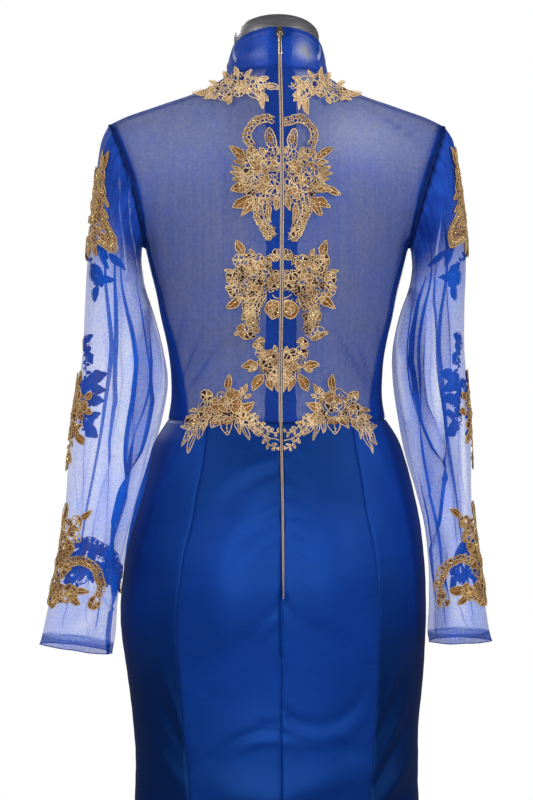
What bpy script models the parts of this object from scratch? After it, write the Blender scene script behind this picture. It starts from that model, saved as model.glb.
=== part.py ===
"""Mermaid gown with sheer net back, long net sleeves and corded lace, on a dress form with a stand.

Metres, +Z up. The gown faces -Y and its zip runs down the back, at +Y. +X is the wearer's left.
"""

import math

import bmesh
import bpy
import numpy as np

for old in list(bpy.data.objects):
    bpy.data.objects.remove(old, do_unlink=True)

# ---- sizes ---------------------------------------------------------------
WAIST_Z = 1.060        # waist seam
UNDER_Z = 1.262        # underarm
HEM_Z = 0.015          # hem, just clear of the floor
NET_T = 0.0010         # net wall
SATIN_T = 0.0012       # satin wall
COLLAR_T = 0.0016      # doubled net
GAP = 0.0003           # between pieces at a seam
ZIP_HALF = 0.0023      # half the width of the zip's chain
TAPE_W = 0.0180        # reach of each zip tape from the centre
TAPE_OUT = -0.0021     # tape's outer face, under the cloth
FORM_IN = 0.0056       # form's skin under the outer face of the cloth
LACE_OUT = 0.0009      # lace's underside above the cloth
LACE_T = 0.0010
ZIP_END_Z = 0.862      # bottom of the zip
POLE_R = 0.0140
BASE_R = 0.175

# torso and skirt sections: height, half width, reach to the front, reach to the back, shift to +X
SECTIONS = (
    # z      hx      front   back    cx
    (1.262, 0.1560, 0.1180, 0.0980, 0.000),
    (1.236, 0.1500, 0.1200, 0.0970, 0.000),
    (1.218, 0.1450, 0.1185, 0.0950, 0.000),
    (1.183, 0.1382, 0.1100, 0.0890, 0.000),
    (1.154, 0.1315, 0.1010, 0.0825, 0.000),
    (1.127, 0.1270, 0.0940, 0.0770, 0.000),
    (1.099, 0.1252, 0.0900, 0.0740, 0.000),
    (1.081, 0.1257, 0.0905, 0.0745, 0.000),
    (1.060, 0.1290, 0.0930, 0.0790, 0.000),
    (1.034, 0.1445, 0.0980, 0.0890, 0.000),
    (1.003, 0.1548, 0.1040, 0.1010, 0.000),
    (0.962, 0.1662, 0.1090, 0.1120, 0.001),
    (0.927, 0.1737, 0.1120, 0.1180, 0.002),
    (0.879, 0.1795, 0.1130, 0.1220, 0.003),
    (0.843, 0.1818, 0.1120, 0.1200, 0.004),
    (0.815, 0.1818, 0.1100, 0.1160, 0.004),
    (0.766, 0.1777, 0.1060, 0.1080, 0.002),
    (0.736, 0.1745, 0.1030, 0.1030, 0.001),
    (0.700, 0.1708, 0.1010, 0.1000, 0.001),
    (0.665, 0.1690, 0.1000, 0.0980, 0.000),
    (0.605, 0.1700, 0.1010, 0.0990, 0.000),
    (0.550, 0.1745, 0.1060, 0.1040, 0.000),
    (0.500, 0.1840, 0.1150, 0.1150, 0.000),
    (0.440, 0.2030, 0.1320, 0.1380, 0.000),
    (0.370, 0.2340, 0.1600, 0.1760, 0.000),
    (0.300, 0.2680, 0.1920, 0.2200, 0.000),
    (0.220, 0.3060, 0.2280, 0.2720, 0.000),
    (0.140, 0.3400, 0.2610, 0.3230, 0.000),
    (0.070, 0.3640, 0.2850, 0.3620, 0.000),
    (0.015, 0.3780, 0.2990, 0.3860, 0.000),
)
# soft swellings of the general figure: x, z, side (+1 back, -1 front), height, half width, half height
SWELLINGS = (
    (0.070, 0.880, +1, 0.010, 0.050, 0.070),
    (-0.070, 0.880, +1, 0.010, 0.050, 0.070),
    (0.085, 1.240, -1, 0.020, 0.045, 0.045),
    (-0.085, 1.240, -1, 0.020, 0.045, 0.045),
    (0.080, 1.330, +1, 0.004, 0.045, 0.050),
    (-0.080, 1.330, +1, 0.004, 0.045, 0.050),
    (0.000, 1.180, +1, -0.004, 0.022, 0.090),
)
# flutes of the flare: degrees from the centre back towards +X, half width, rise at the hem, height where it starts
FLUTES = (
    (4, 17, 0.026, 0.52),
    (41, 18, 0.034, 0.56),
    (79, 16, 0.024, 0.50),
    (112, 17, 0.030, 0.54),
    (147, 18, 0.022, 0.49),
    (181, 16, 0.027, 0.51),
    (214, 17, 0.021, 0.50),
    (249, 18, 0.031, 0.55),
    (285, 17, 0.023, 0.52),
    (322, 18, 0.036, 0.57),
)
# profiles of the upper torso: height, reach
BACK_PROFILE = ((1.262, 0.0980), (1.300, 0.1005), (1.340, 0.0990), (1.380, 0.0930),
                (1.420, 0.0825), (1.450, 0.0700), (1.468, 0.0595))
FRONT_PROFILE = ((1.262, 0.1180), (1.300, 0.1080), (1.340, 0.0960), (1.380, 0.0820),
                 (1.410, 0.0710), (1.425, 0.0645))
SHOULDER = ((0.0595, 1.4610), (0.0780, 1.4500), (0.1000, 1.4405), (0.1400, 1.4270),
            (0.1773, 1.4140), (0.1970, 1.4045))    # x, z from neck to tip
NECK_U = 0.30          # share of the top edge that is neckline
ARM_B = 0.0550         # half depth of the armhole
ARM_DIP = 0.0070       # how far its back and front curve in
# princess seams on the back: height, distance from the centre
PRINCESS = ((1.060, 0.0850), (1.034, 0.0877), (0.992, 0.0945), (0.962, 0.1000), (0.909, 0.1110),
            (0.843, 0.1170), (0.790, 0.1165), (0.700, 0.1120), (0.605, 0.1050), (0.500, 0.1120),
            (0.370, 0.1480), (0.220, 0.2000), (0.015, 0.2500))
# sleeve rings, armhole to hem: outer x, z, inner x, z, half depth, middle y
SLEEVE_L = (
    (0.1976, 1.4052, 0.1576, 1.2640, 0.0550, 0.000),
    (0.2060, 1.3860, 0.1590, 1.2590, 0.0560, 0.001),
    (0.2110, 1.3560, 0.1592, 1.2535, 0.0560, 0.002),
    (0.2160, 1.3180, 0.1592, 1.2450, 0.0555, 0.003),
    (0.2210, 1.2780, 0.1580, 1.2330, 0.0540, 0.005),
    (0.2240, 1.2350, 0.1545, 1.2120, 0.0510, 0.008),
    (0.2262, 1.1900, 0.1440, 1.1800, 0.0470, 0.012),
    (0.2285, 1.1440, 0.1335, 1.1400, 0.0430, 0.018),
    (0.2335, 1.1040, 0.1280, 1.1030, 0.0400, 0.026),
    (0.2395, 1.0620, 0.1345, 1.0620, 0.0370, 0.036),
    (0.2445, 1.0210, 0.1460, 1.0210, 0.0350, 0.044),
    (0.2475, 0.9750, 0.1565, 0.9750, 0.0330, 0.050),
    (0.2510, 0.9330, 0.1695, 0.9320, 0.0310, 0.050),
    (0.2580, 0.8910, 0.1800, 0.8890, 0.0290, 0.046),
    (0.2680, 0.8480, 0.1875, 0.8450, 0.0270, 0.042),
    (0.2740, 0.8190, 0.1905, 0.8130, 0.0250, 0.040),
    (0.2770, 0.8000, 0.1935, 0.7880, 0.0240, 0.040),
)
SLEEVE_R = (
    (0.1976, 1.4052, 0.1576, 1.2640, 0.0550, 0.000),
    (0.2080, 1.3860, 0.1590, 1.2590, 0.0560, 0.001),
    (0.2130, 1.3520, 0.1594, 1.2540, 0.0560, 0.002),
    (0.2180, 1.3150, 0.1595, 1.2460, 0.0555, 0.003),
    (0.2225, 1.2750, 0.1588, 1.2330, 0.0540, 0.004),
    (0.2235, 1.2320, 0.1545, 1.2120, 0.0510, 0.006),
    (0.2215, 1.1900, 0.1430, 1.1800, 0.0470, 0.012),
    (0.2200, 1.1440, 0.1350, 1.1400, 0.0430, 0.018),
    (0.2215, 1.1040, 0.1350, 1.1030, 0.0400, 0.026),
    (0.2235, 1.0620, 0.1395, 1.0620, 0.0375, 0.036),
    (0.2245, 1.0210, 0.1460, 1.0210, 0.0355, 0.044),
    (0.2250, 0.9750, 0.1580, 0.9750, 0.0335, 0.050),
    (0.2280, 0.9330, 0.1680, 0.9320, 0.0320, 0.052),
    (0.2345, 0.8910, 0.1725, 0.8890, 0.0300, 0.050),
    (0.2410, 0.8480, 0.1745, 0.8450, 0.0285, 0.048),
    (0.2450, 0.8190, 0.1745, 0.8150, 0.0275, 0.046),
    (0.2475, 0.8005, 0.1755, 0.8000, 0.0270, 0.046),
)
SLEEVE_SIDES = 14
# lengthwise folds of the sleeves: degrees round from the outer edge towards the back, half width, depth
SLEEVE_FOLDS = ((68, 20, 0.0050), (118, 18, 0.0045), (160, 16, 0.0020), (205, 18, 0.0030),
                (252, 20, 0.0050), (300, 20, 0.0040))
# lace motifs on the back, one side: columns of distance from the centre, foot, head
LACE_BACK = {
    "upper": ((0.0042, 1.268, 1.404), (0.014, 1.272, 1.408), (0.025, 1.290, 1.400), (0.036, 1.303, 1.372),
              (0.046, 1.306, 1.350), (0.055, 1.306, 1.330)),
    "mid": ((0.0042, 1.176, 1.262), (0.016, 1.170, 1.260), (0.028, 1.156, 1.250), (0.040, 1.170, 1.238),
            (0.052, 1.190, 1.222)),
    "low": ((0.0042, 1.104, 1.140), (0.013, 1.096, 1.144), (0.023, 1.098, 1.138), (0.032, 1.104, 1.126)),
    "waist": ((0.0042, 1.034, 1.064), (0.018, 1.036, 1.070), (0.032, 1.044, 1.088), (0.046, 1.046, 1.104),
              (0.058, 1.040, 1.108), (0.070, 1.032, 1.092), (0.081, 1.030, 1.070), (0.091, 1.030, 1.056)),
}
# the shoulder motif, by the net's own columns, which bend sharply there: column, foot, head
LACE_SHOULDER = ((0.17, 1.424, 1.462), (1, 1.432, 1.460), (2, 1.430, 1.455), (3, 1.421, 1.449),
                 (4, 1.419, 1.438), (4.6, 1.420, 1.432))
# lace motifs on the sleeves: first and last ring, first and last side (sides count from the outer edge to the back)
LACE_SLEEVE = {
    "top": (1, 5, -1, 3),
    "mid": (8, 10, -1, 2),
    "cuff": (12, 15, -1, 2),
}

# ---- materials -----------------------------------------------------------


def material(name, colour, rough, metal=0.0, alpha=1.0):
    made = bpy.data.materials.new(name)
    made.use_nodes = True
    shader = made.node_tree.nodes["Principled BSDF"]
    shader.inputs["Base Color"].default_value = (*colour, 1)
    shader.inputs["Roughness"].default_value = rough
    shader.inputs["Metallic"].default_value = metal
    made.diffuse_color = (*colour, 1)
    return made


SATIN = (0.008, 0.050, 0.270)
NET = (0.060, 0.110, 0.400)
GOLD = (0.560, 0.380, 0.200)
ZIPMETAL = (0.620, 0.550, 0.440)
STEEL = (0.600, 0.600, 0.610)
FORM = (0.780, 0.780, 0.790)


# ---- the figure's surface ------------------------------------------------


def smooth_table(table, column, z):
    """The column's value at height z, by a cubic through the table's rows."""
    rows = sorted(table)
    zs = [row[0] for row in rows]
    vs = [row[column] for row in rows]
    if z <= zs[0]:
        return vs[0]
    if z >= zs[-1]:
        return vs[-1]
    i = max(k for k in range(len(zs) - 1) if zs[k] <= z)

    def slope(k):
        if k == 0 or k == len(zs) - 1:
            j = min(k, len(zs) - 2)
            return (vs[j + 1] - vs[j]) / (zs[j + 1] - zs[j])
        return (vs[k + 1] - vs[k - 1]) / (zs[k + 1] - zs[k - 1])

    h = zs[i + 1] - zs[i]
    t = (z - zs[i]) / h
    return ((2 * t**3 - 3 * t**2 + 1) * vs[i] + (t**3 - 2 * t**2 + t) * h * slope(i)
            + (-2 * t**3 + 3 * t**2) * vs[i + 1] + (t**3 - t**2) * h * slope(i + 1))


def swell(p):
    x, y, z = p
    for x0, z0, side, rise, wide, high in SWELLINGS:
        if side * y > 0:
            share = min(1.0, abs(y) / 0.05)
            y += side * share * rise * math.exp(-((x - x0) / wide) ** 2 - ((z - z0) / high) ** 2)
    return np.array((x, y, z))


def figure(deg, z):
    """Point of the torso or skirt, deg round from the centre back towards +X."""
    a = math.radians(deg)
    hx, front, back, cx = (smooth_table(SECTIONS, k, z) for k in (1, 2, 3, 4))
    x = hx * math.sin(a)
    y = (back if math.cos(a) > 0 else front) * math.cos(a)
    rise = 0.0
    for at, wide, high, start in FLUTES:
        if z < start:
            off = (deg - at + 180) % 360 - 180
            if abs(off) < 2 * wide:
                down = (start - z) / (start - HEM_Z)
                rise += high * down**1.25 * (math.cos(math.pi * off / (2 * wide)) ** 2 - 0.25)
    r = math.hypot(x, y)
    return swell((x * (1 + rise / r) + cx, y * (1 + rise / r), z))


def polyline(points, share):
    """Point at a share of the length of a polyline."""
    points = [np.array(p, float) for p in points]
    steps = [np.linalg.norm(b - a) for a, b in zip(points, points[1:])]
    left = share * sum(steps)
    for a, b, step in zip(points, points[1:], steps):
        if left <= step or b is points[-1]:
            return a + (b - a) * (left / step)
        left -= step


def armhole(turn, side):
    """Armhole edge: turn 0 at the shoulder tip, 180 at the underarm; side +1 back, -1 front."""
    a = math.radians(turn)
    tip, pit = np.array((0.1970, 0.0, 1.4045)), np.array((0.1560, 0.0, UNDER_Z))
    p = (tip + pit) / 2 + (tip - pit) / 2 * math.cos(a)
    p[1] = side * ARM_B * math.sin(a)
    p[0] -= ARM_DIP * math.sin(a) ** 2
    return p


def neckline(turn):
    """Neck base ring: turn 0 at the centre back, 90 at the side, 180 at the centre front."""
    a = math.radians(turn)
    y = 0.0595 * math.cos(a) if turn <= 90 else 0.0645 * math.cos(a)
    if turn <= 90:
        z = 1.4610 + 0.0070 * math.cos(a) ** 1.5
    else:
        z = 1.4610 - 0.0360 * (-math.cos(a)) ** 1.3
    return np.array((0.0595 * math.sin(a), y, z))


def top_edge(u, side):
    """Neckline, then shoulder seam, for a back (+1) or front (-1) half panel."""
    if u <= NECK_U:
        return neckline(90 * u / NECK_U if side > 0 else 180 - 90 * u / NECK_U)
    return polyline([(x, 0.0, z) for x, z in SHOULDER], (u - NECK_U) / (1 - NECK_U))


def angle_of(u, side):
    turn = 90 * u**1.08
    return turn if side > 0 else 180 - turn


def upper(u, v, side):
    """Upper torso between the underarm section and the neck and shoulder, a patch between its four edges."""
    profile = BACK_PROFILE if side > 0 else FRONT_PROFILE
    low = figure(angle_of(u, side), UNDER_Z)
    high = top_edge(u, side)
    inner = polyline([swell((0.0, side * y, z)) for z, y in profile], v)
    outer = armhole(180 * (1 - v), side)
    c00, c10 = figure(angle_of(0, side), UNDER_Z), outer * 0 + armhole(180, side)
    c01, c11 = top_edge(0, side), top_edge(1, side)
    return ((1 - v) * low + v * high + (1 - u) * inner + u * outer
            - ((1 - u) * (1 - v) * c00 + u * (1 - v) * c10 + (1 - u) * v * c01 + u * v * c11))


LOW_ROWS = (1.060, 1.080, 1.100, 1.125, 1.152, 1.180, 1.208, 1.235, 1.262)
UPPER_ROWS = (0.17, 0.34, 0.51, 0.68, 0.84, 1.0)
HALF_COLUMNS = (0, 0.1, 0.2, 0.3, 0.41, 0.53, 0.65, 0.77, 0.89, 1.0)


def half_net(side):
    """Points of a +X half of the back or front, rows from the waist up, columns from the centre out."""
    rows = [[figure(angle_of(u, side), z) for u in HALF_COLUMNS] for z in LOW_ROWS]
    rows += [[upper(u, v, side) for u in HALF_COLUMNS] for v in UPPER_ROWS]
    net = np.array(rows)
    for _ in range(6):
        inner = net.copy()
        mean = (net[2:, 1:-1] + net[:-2, 1:-1] + net[1:-1, 2:] + net[1:-1, :-2]) / 4
        first = len(LOW_ROWS) - 3
        inner[first:-1, 1:-1] += 0.35 * (mean - net[1:-1, 1:-1])[first - 1:]
        net = inner
    return net


def mirrored(net):
    return net[:, ::-1] * (-1, 1, 1)


BACK_L = half_net(+1)
FRONT_L = half_net(-1)
BACK_R = mirrored(BACK_L)                                   # side to centre
FRONT_R = mirrored(FRONT_L)                                 # side to centre, from the right side
# All run anticlockwise seen from above when the columns go -theta; faces are turned by wall().
FRONT = np.concatenate([FRONT_L[:, ::-1], FRONT_R[:, ::-1][:, 1:]], axis=1)   # left side, centre, right side
NORMALS = {}


def key(p):
    return tuple(np.round(np.array(p) * 1e5).astype(int))


def add_normals(net):
    """Adds each face's direction to its corners, keyed by place, so that neighbours share theirs."""
    for i in range(net.shape[0] - 1):
        for j in range(net.shape[1] - 1):
            a, b, c, d = net[i, j], net[i, j + 1], net[i + 1, j + 1], net[i + 1, j]
            n = np.cross(c - a, d - b)
            middle = (a + b + c + d) / 4
            if np.dot(n, middle - (0, 0, middle[2] - 0.03 * (middle[2] > 1.30))) < 0:
                n = -n
            for p in (a, b, c, d):
                NORMALS[key(p)] = NORMALS.get(key(p), 0) + n


def normals_of(net):
    out = np.array([[NORMALS[key(p)] for p in row] for row in net])
    return out / np.linalg.norm(out, axis=2, keepdims=True)


for piece in (BACK_L, BACK_R, FRONT):
    add_normals(piece)


def grid_normals(net, closed=False):
    """Unit normals of a grid, pointing away from the upright axis through its middle."""
    if closed:
        du = np.roll(net, -1, 1) - np.roll(net, 1, 1)
    else:
        du = np.gradient(net, axis=1)
    dv = np.gradient(net, axis=0)
    n = np.cross(du, dv)
    n /= np.linalg.norm(n, axis=2, keepdims=True)
    return n


# ---- building meshes -----------------------------------------------------


def make(name, verts, faces, mat, smooth=True, origin=None):
    mesh = bpy.data.meshes.new(name)
    verts = np.array(verts, float)
    if origin is not None:
        verts = verts - np.array(origin)
    mesh.from_pydata([tuple(v) for v in verts], [], faces)
    mesh.validate()
    work = bmesh.new()
    work.from_mesh(mesh)
    bmesh.ops.recalc_face_normals(work, faces=work.faces)
    if work.calc_volume(signed=True) < 0:
        bmesh.ops.reverse_faces(work, faces=work.faces)
    work.to_mesh(mesh)
    work.free()
    mesh.shade_smooth() if smooth else None
    mesh.materials.append(mat)
    obj = bpy.data.objects.new(name, mesh)
    if origin is not None:
        obj.location = origin
    bpy.context.scene.collection.objects.link(obj)
    return obj


def wall(name, net, normals, out, thick, mat, closed=False, edge=GAP / 2, edges="lrtb"):
    """A cloth wall: the net moved out along its normals, and again less its thickness, closed at the edges."""
    net = net.copy()
    if not closed:
        def pull(line, inner):
            step = inner - line
            return line + step * (edge / np.linalg.norm(step, axis=-1, keepdims=True))
        if "l" in edges:
            net[:, 0] = pull(net[:, 0], net[:, 1])
        if "r" in edges:
            net[:, -1] = pull(net[:, -1], net[:, -2])
    if "b" in edges:
        step = net[1] - net[0]
        net[0] = net[0] + step * (edge / np.linalg.norm(step, axis=-1, keepdims=True))
    if "t" in edges:
        step = net[-2] - net[-1]
        net[-1] = net[-1] + step * (edge / np.linalg.norm(step, axis=-1, keepdims=True))
    out = np.broadcast_to(np.asarray(out, float), net.shape[:2])[..., None]
    face = net + normals * out
    back = net + normals * (out - thick)
    rows, cols = net.shape[:2]
    verts = np.concatenate([face.reshape(-1, 3), back.reshape(-1, 3)])
    n = rows * cols

    def at(i, j, side):
        return side * n + i * cols + j % cols

    faces = []
    last = cols if closed else cols - 1
    for i in range(rows - 1):
        for j in range(last):
            # one diagonal throughout, so that layers of the same cloth bend alike
            faces.append((at(i, j, 0), at(i, j + 1, 0), at(i + 1, j + 1, 0)))
            faces.append((at(i, j, 0), at(i + 1, j + 1, 0), at(i + 1, j, 0)))
            faces.append((at(i, j, 1), at(i + 1, j + 1, 1), at(i, j + 1, 1)))
            faces.append((at(i, j, 1), at(i + 1, j, 1), at(i + 1, j + 1, 1)))
    for j in range(last):
        faces.append((at(0, j, 0), at(0, j, 1), at(0, j + 1, 1), at(0, j + 1, 0)))
        faces.append((at(rows - 1, j, 0), at(rows - 1, j + 1, 0), at(rows - 1, j + 1, 1), at(rows - 1, j, 1)))
    if not closed:
        for i in range(rows - 1):
            faces.append((at(i, 0, 0), at(i + 1, 0, 0), at(i + 1, 0, 1), at(i, 0, 1)))
            faces.append((at(i, cols - 1, 0), at(i, cols - 1, 1), at(i + 1, cols - 1, 1), at(i + 1, cols - 1, 0)))
    return make(name, verts, faces, mat)


def rings(name, loops, mat, caps=(True, True), smooth=True):
    """A closed body through rings of equal count."""
    count = len(loops[0])
    verts = [p for loop in loops for p in loop]
    faces = []
    for i in range(len(loops) - 1):
        for j in range(count):
            k = (j + 1) % count
            faces.append((i * count + j, i * count + k, (i + 1) * count + k, (i + 1) * count + j))
    for cap, i in zip(caps, (0, len(loops) - 1)):
        if cap:
            verts.append(np.mean(np.array(loops[i]), axis=0))
            middle = len(verts) - 1
            for j in range(count):
                faces.append((i * count + j, i * count + (j + 1) % count, middle))
    return make(name, verts, faces, mat, smooth)


def circle(r, z, count=32, centre=(0, 0)):
    return [(centre[0] + r * math.sin(2 * math.pi * k / count),
             centre[1] + r * math.cos(2 * math.pi * k / count), z) for k in range(count)]


# ---- bodice and collar ---------------------------------------------------

net_mat = material("net_mat", NET, 0.7)
satin_mat = material("satin_mat", SATIN, 0.35)
lace_mat = material("lace_mat", GOLD, 0.45)


def shift_first(net, first_x):
    """Moves the centre column of a half panel out to the zip's edge, and spreads the next ones after it."""
    net = net.copy()
    for i in range(len(net)):
        line = net[i].copy()
        side = 1 if line[-1][0] > 0 else -1
        xs = np.abs(line[:, 0])
        if first_x < xs[1]:
            t = (first_x - xs[0]) / (xs[1] - xs[0])
            net[i, 0] = line[0] + (line[1] - line[0]) * t
            net[i, 0, 0] = side * first_x
    return net


CENTRE_EDGE = ZIP_HALF + GAP
back_normals = normals_of(BACK_L)
flip = np.array((-1, 1, 1))
back_l = shift_first(BACK_L, CENTRE_EDGE)
wall("back_mesh_l", back_l, back_normals, 0, NET_T, material("net_back_l", NET, 0.7), edges="rtb")
wall("back_mesh_r", back_l * flip, back_normals * flip, 0, NET_T, material("net_back_r", NET, 0.7), edges="rtb")

front_normals = normals_of(FRONT)
CUT = len(LOW_ROWS) + 1                                      # row of the satin's top edge
C = len(HALF_COLUMNS) - 1                                    # centre front column
P = 4                                                        # princess column, from the centre
wall("front_yoke", FRONT[CUT:], front_normals[CUT:], 0, NET_T, material("net_yoke", NET, 0.7))
wall("bodice_cf", FRONT[:CUT + 1, C - P:C + P + 1], front_normals[:CUT + 1, C - P:C + P + 1], 0, SATIN_T,
     material("satin_cf", SATIN, 0.35))
wall("bodice_sf_l", FRONT[:CUT + 1, :C - P + 1], front_normals[:CUT + 1, :C - P + 1], 0, SATIN_T,
     material("satin_sf_l", SATIN, 0.35))
wall("bodice_sf_r", FRONT[:CUT + 1, C + P:], front_normals[:CUT + 1, C + P:], 0, SATIN_T,
     material("satin_sf_r", SATIN, 0.35))

# satin side backs under the net: three columns in from the side, narrowing upwards
UNDER_ROWS = 8
under = []
under_n = []
for i in range(UNDER_ROWS):
    share = i / (UNDER_ROWS - 1)
    reach = 2.6 * (1 - share) ** 0.8 + 0.35                # in columns of the half panel
    row, row_n = [], []
    for k in range(4):
        at = C - reach * (1 - k / 3)
        j = min(int(at), C - 1)
        t = at - j
        row.append(BACK_L[i, j] * (1 - t) + BACK_L[i, j + 1] * t)
        row_n.append(back_normals[i, j] * (1 - t) + back_normals[i, j + 1] * t)
    under.append(row)
    under_n.append(row_n)
under, under_n = np.array(under), np.array(under_n)
under_n /= np.linalg.norm(under_n, axis=2, keepdims=True)
wall("underback_l", under, under_n, -0.0017, NET_T, material("satin_under_l", SATIN, 0.35), edges="rb")
wall("underback_r", under * flip, under_n * flip, -0.0017, NET_T, material("satin_under_r", SATIN, 0.35), edges="rb")

# collar
COLLAR_TURNS = [3] + list(range(15, 346, 15)) + [357]


def collar_point(turn, share):
    side = 1 if turn <= 180 else -1
    t = turn if turn <= 180 else 360 - turn
    step = 30 * int(t / 30)                                  # the net's edge runs straight between its columns
    base = neckline(step) + (neckline(min(180, step + 30)) - neckline(step)) * ((t - step) / 30)
    a = math.radians(t)
    top = np.array((0.0540 * math.sin(a), (0.0525 if t <= 90 else 0.0590) * math.cos(a) - 0.0030,
                    1.4905 + 0.0240 * math.cos(a)))
    p = base + (top - base) * share
    bow = 0.0016 * math.sin(math.pi * share)
    p += np.array((math.sin(a), math.cos(a), 0)) * bow
    return p * (side, 1, 1)


def collar_net(shares):
    net = np.array([[collar_point(t, s) for t in COLLAR_TURNS] for s in shares])
    net[:, 0, 0], net[:, -1, 0] = CENTRE_EDGE, -CENTRE_EDGE
    return net


collar = collar_net((0.006, 0.35, 0.70, 1.0))
collar_n = grid_normals(collar)
if np.dot(collar_n[1, 0], (0, 1, 0)) < 0:
    collar_n = -collar_n
wall("collar", collar, collar_n, 0, COLLAR_T, material("net_collar", NET, 0.7), edges="")

# ---- skirt ---------------------------------------------------------------

SKIRT_ROWS = (1.060, 1.034, 1.003, 0.962, 0.920, 0.888, 0.862, 0.812, 0.760, 0.700, 0.640, 0.570,
              0.500, 0.430, 0.350, 0.265, 0.180, 0.095, 0.015)


def seam_angle(z):
    rows = sorted(PRINCESS)
    x = float(np.interp(z, [r[0] for r in rows], [r[1] for r in rows]))
    return math.degrees(math.asin(x / smooth_table(SECTIONS, 1, z)))


def gore(first, last, count):
    """Grid between two edges, each a function of the height that gives degrees."""
    net, normals = [], []
    for z in SKIRT_ROWS:
        row, row_n = [], []
        a, b = first(z), last(z)
        for k in range(count + 1):
            deg = a + (b - a) * k / count
            p = figure(deg, z)
            du = figure(deg + 0.5, z) - figure(deg - 0.5, z)
            up, down = min(z + 0.004, 1.060), max(z - 0.004, HEM_Z)
            dv = figure(deg, up) - figure(deg, down)
            n = np.cross(du, dv)
            n /= np.linalg.norm(n)
            if n[0] * p[0] + n[1] * p[1] < 0:
                n = -n
            row.append(p)
            row_n.append(n)
        net.append(row)
        normals.append(row_n)
    return np.array(net), np.array(normals)


def side_angle(z):
    return 90.0


GORES = (
    ("skirt_cb_l", lambda z: 0.0, seam_angle, 5),
    ("skirt_sb_l", seam_angle, side_angle, 5),
    ("skirt_sf_l", side_angle, lambda z: 180 - seam_angle(z), 5),
    ("skirt_cf", lambda z: 180 - seam_angle(z), lambda z: 180 + seam_angle(z), 7),
    ("skirt_sf_r", lambda z: 180 + seam_angle(z), lambda z: 270.0, 5),
    ("skirt_sb_r", lambda z: 270.0, lambda z: 360 - seam_angle(z), 5),
    ("skirt_cb_r", lambda z: 360 - seam_angle(z), lambda z: 360.0, 5),
)
for name, first, last, count in GORES:
    net, normals = gore(first, last, count)
    edges = "lrtb"
    for column, sign in ((0, 1), (-1, -1)):
        if name == ("skirt_cb_l", "skirt_cb_r")[column]:
            for i, z in enumerate(SKIRT_ROWS):
                edge = CENTRE_EDGE if z > ZIP_END_Z - 0.001 else GAP / 2
                inner = net[i, 1 if column == 0 else -2]
                line = net[i, column]
                t = edge / abs(inner[0] - line[0])
                net[i, column] = line + (inner - line) * t
                net[i, column, 0] = sign * edge
            edges = "rtb" if column == 0 else "ltb"
    # rows run down from the waist, so the waist edge is the first
    wall(name, net, normals, 0, SATIN_T, material("satin_" + name, SATIN, 0.35), edges=edges.replace("t", ""))

def back_point(x, z):
    """The +X back surface at x and z, and its outward direction: the skirt's below the waist, the net's above."""
    if z <= WAIST_Z:
        cx, hx = smooth_table(SECTIONS, 4, z), smooth_table(SECTIONS, 1, z)
        deg = math.degrees(math.asin(min(1, (x - cx) / hx)))
        n = np.cross(figure(deg + 1, z) - figure(deg - 1, z), figure(deg, z) - figure(deg, z - 0.004))
        return np.array((x, figure(deg, z)[1], z)), (n if n[1] > 0 else -n) / np.linalg.norm(n)
    both = np.concatenate([BACK_L, back_normals], axis=2)
    rows = np.array([[np.interp(x, row[:, 0], row[:, k]) for k in range(6)] for row in both])
    found = np.array([np.interp(z, rows[:, 2], rows[:, k]) for k in range(6)])
    return found[:3], found[3:] / np.linalg.norm(found[3:])


# ---- zip -----------------------------------------------------------------


def centre_back():
    """The centre back line from the zip's end up to the collar's top, with its outward directions."""
    line = [figure(0, z) for z in (0.862, 0.888, 0.920, 0.962, 1.003, 1.034, 1.060)]
    line += [BACK_L[i, 0] for i in range(1, len(BACK_L) - 1)]
    line += [collar_point(0, s) for s in (0.0, 0.35, 0.70, 1.0)]
    line = np.array(line)
    line[:, 0] = 0
    tangent = np.gradient(line, axis=0)
    tangent /= np.linalg.norm(tangent, axis=1, keepdims=True)
    outward = np.stack([np.zeros(len(line)), tangent[:, 2], -tangent[:, 1]], axis=1)
    return line, tangent, outward


line, tangent, outward = centre_back()


def strip(x0, x1, extra=0.0):
    net = np.stack([line * (0, 1, 1) + (x0, 0, 0), line * (0, 1, 1) + (x1, 0, 0)], axis=1)
    return net, np.stack([outward, outward], axis=1)


chain, chain_n = strip(-ZIP_HALF, ZIP_HALF)
wall("zip_chain", chain, chain_n, 0.0006, 0.0022, material("zip_metal", ZIPMETAL, 0.35, 1.0), edges="b")
# each tape lies under the cloth's own points, at two distances from the centre
tape_rows, tape_normals = [], []
collar_rows = collar_net((0.0, 0.35, 0.70, 1.0))
collar_rows_n = grid_normals(collar_rows)
collar_rows_n *= np.sign(collar_rows_n[1, 0, 1])
for z in SKIRT_ROWS[6::-1]:
    found = [back_point(x, min(z, WAIST_Z)) for x in (CENTRE_EDGE, TAPE_W)]
    tape_rows.append([f[0] for f in found])
    tape_normals.append([f[1] for f in found])
for rows, rows_n in ((BACK_L[1:-1], back_normals[1:-1]), (collar_rows, collar_rows_n)):
    for row, row_n in zip(rows, rows_n):
        order = np.argsort(row[:5, 0])
        both = np.concatenate([row[:5][order], row_n[:5][order]], axis=1)
        found = [[np.interp(x, both[:, 0], both[:, k]) for k in range(6)] for x in (CENTRE_EDGE, TAPE_W)]
        tape_rows.append([f[:3] for f in found])
        tape_normals.append([f[3:] for f in found])
tape_rows, tape_normals = np.array(tape_rows), np.array(tape_normals)
tape_rows[:, 0, 0], tape_normals[:, 0, 0] = CENTRE_EDGE, 0
tape_normals /= np.linalg.norm(tape_normals, axis=2, keepdims=True)
for name, f in (("zip_tape_l", np.array((1, 1, 1))), ("zip_tape_r", flip)):
    wall(name, tape_rows * f, tape_normals * f, TAPE_OUT, NET_T, material("tape_" + name, (0.010, 0.035, 0.160), 0.8), edges="")

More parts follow.
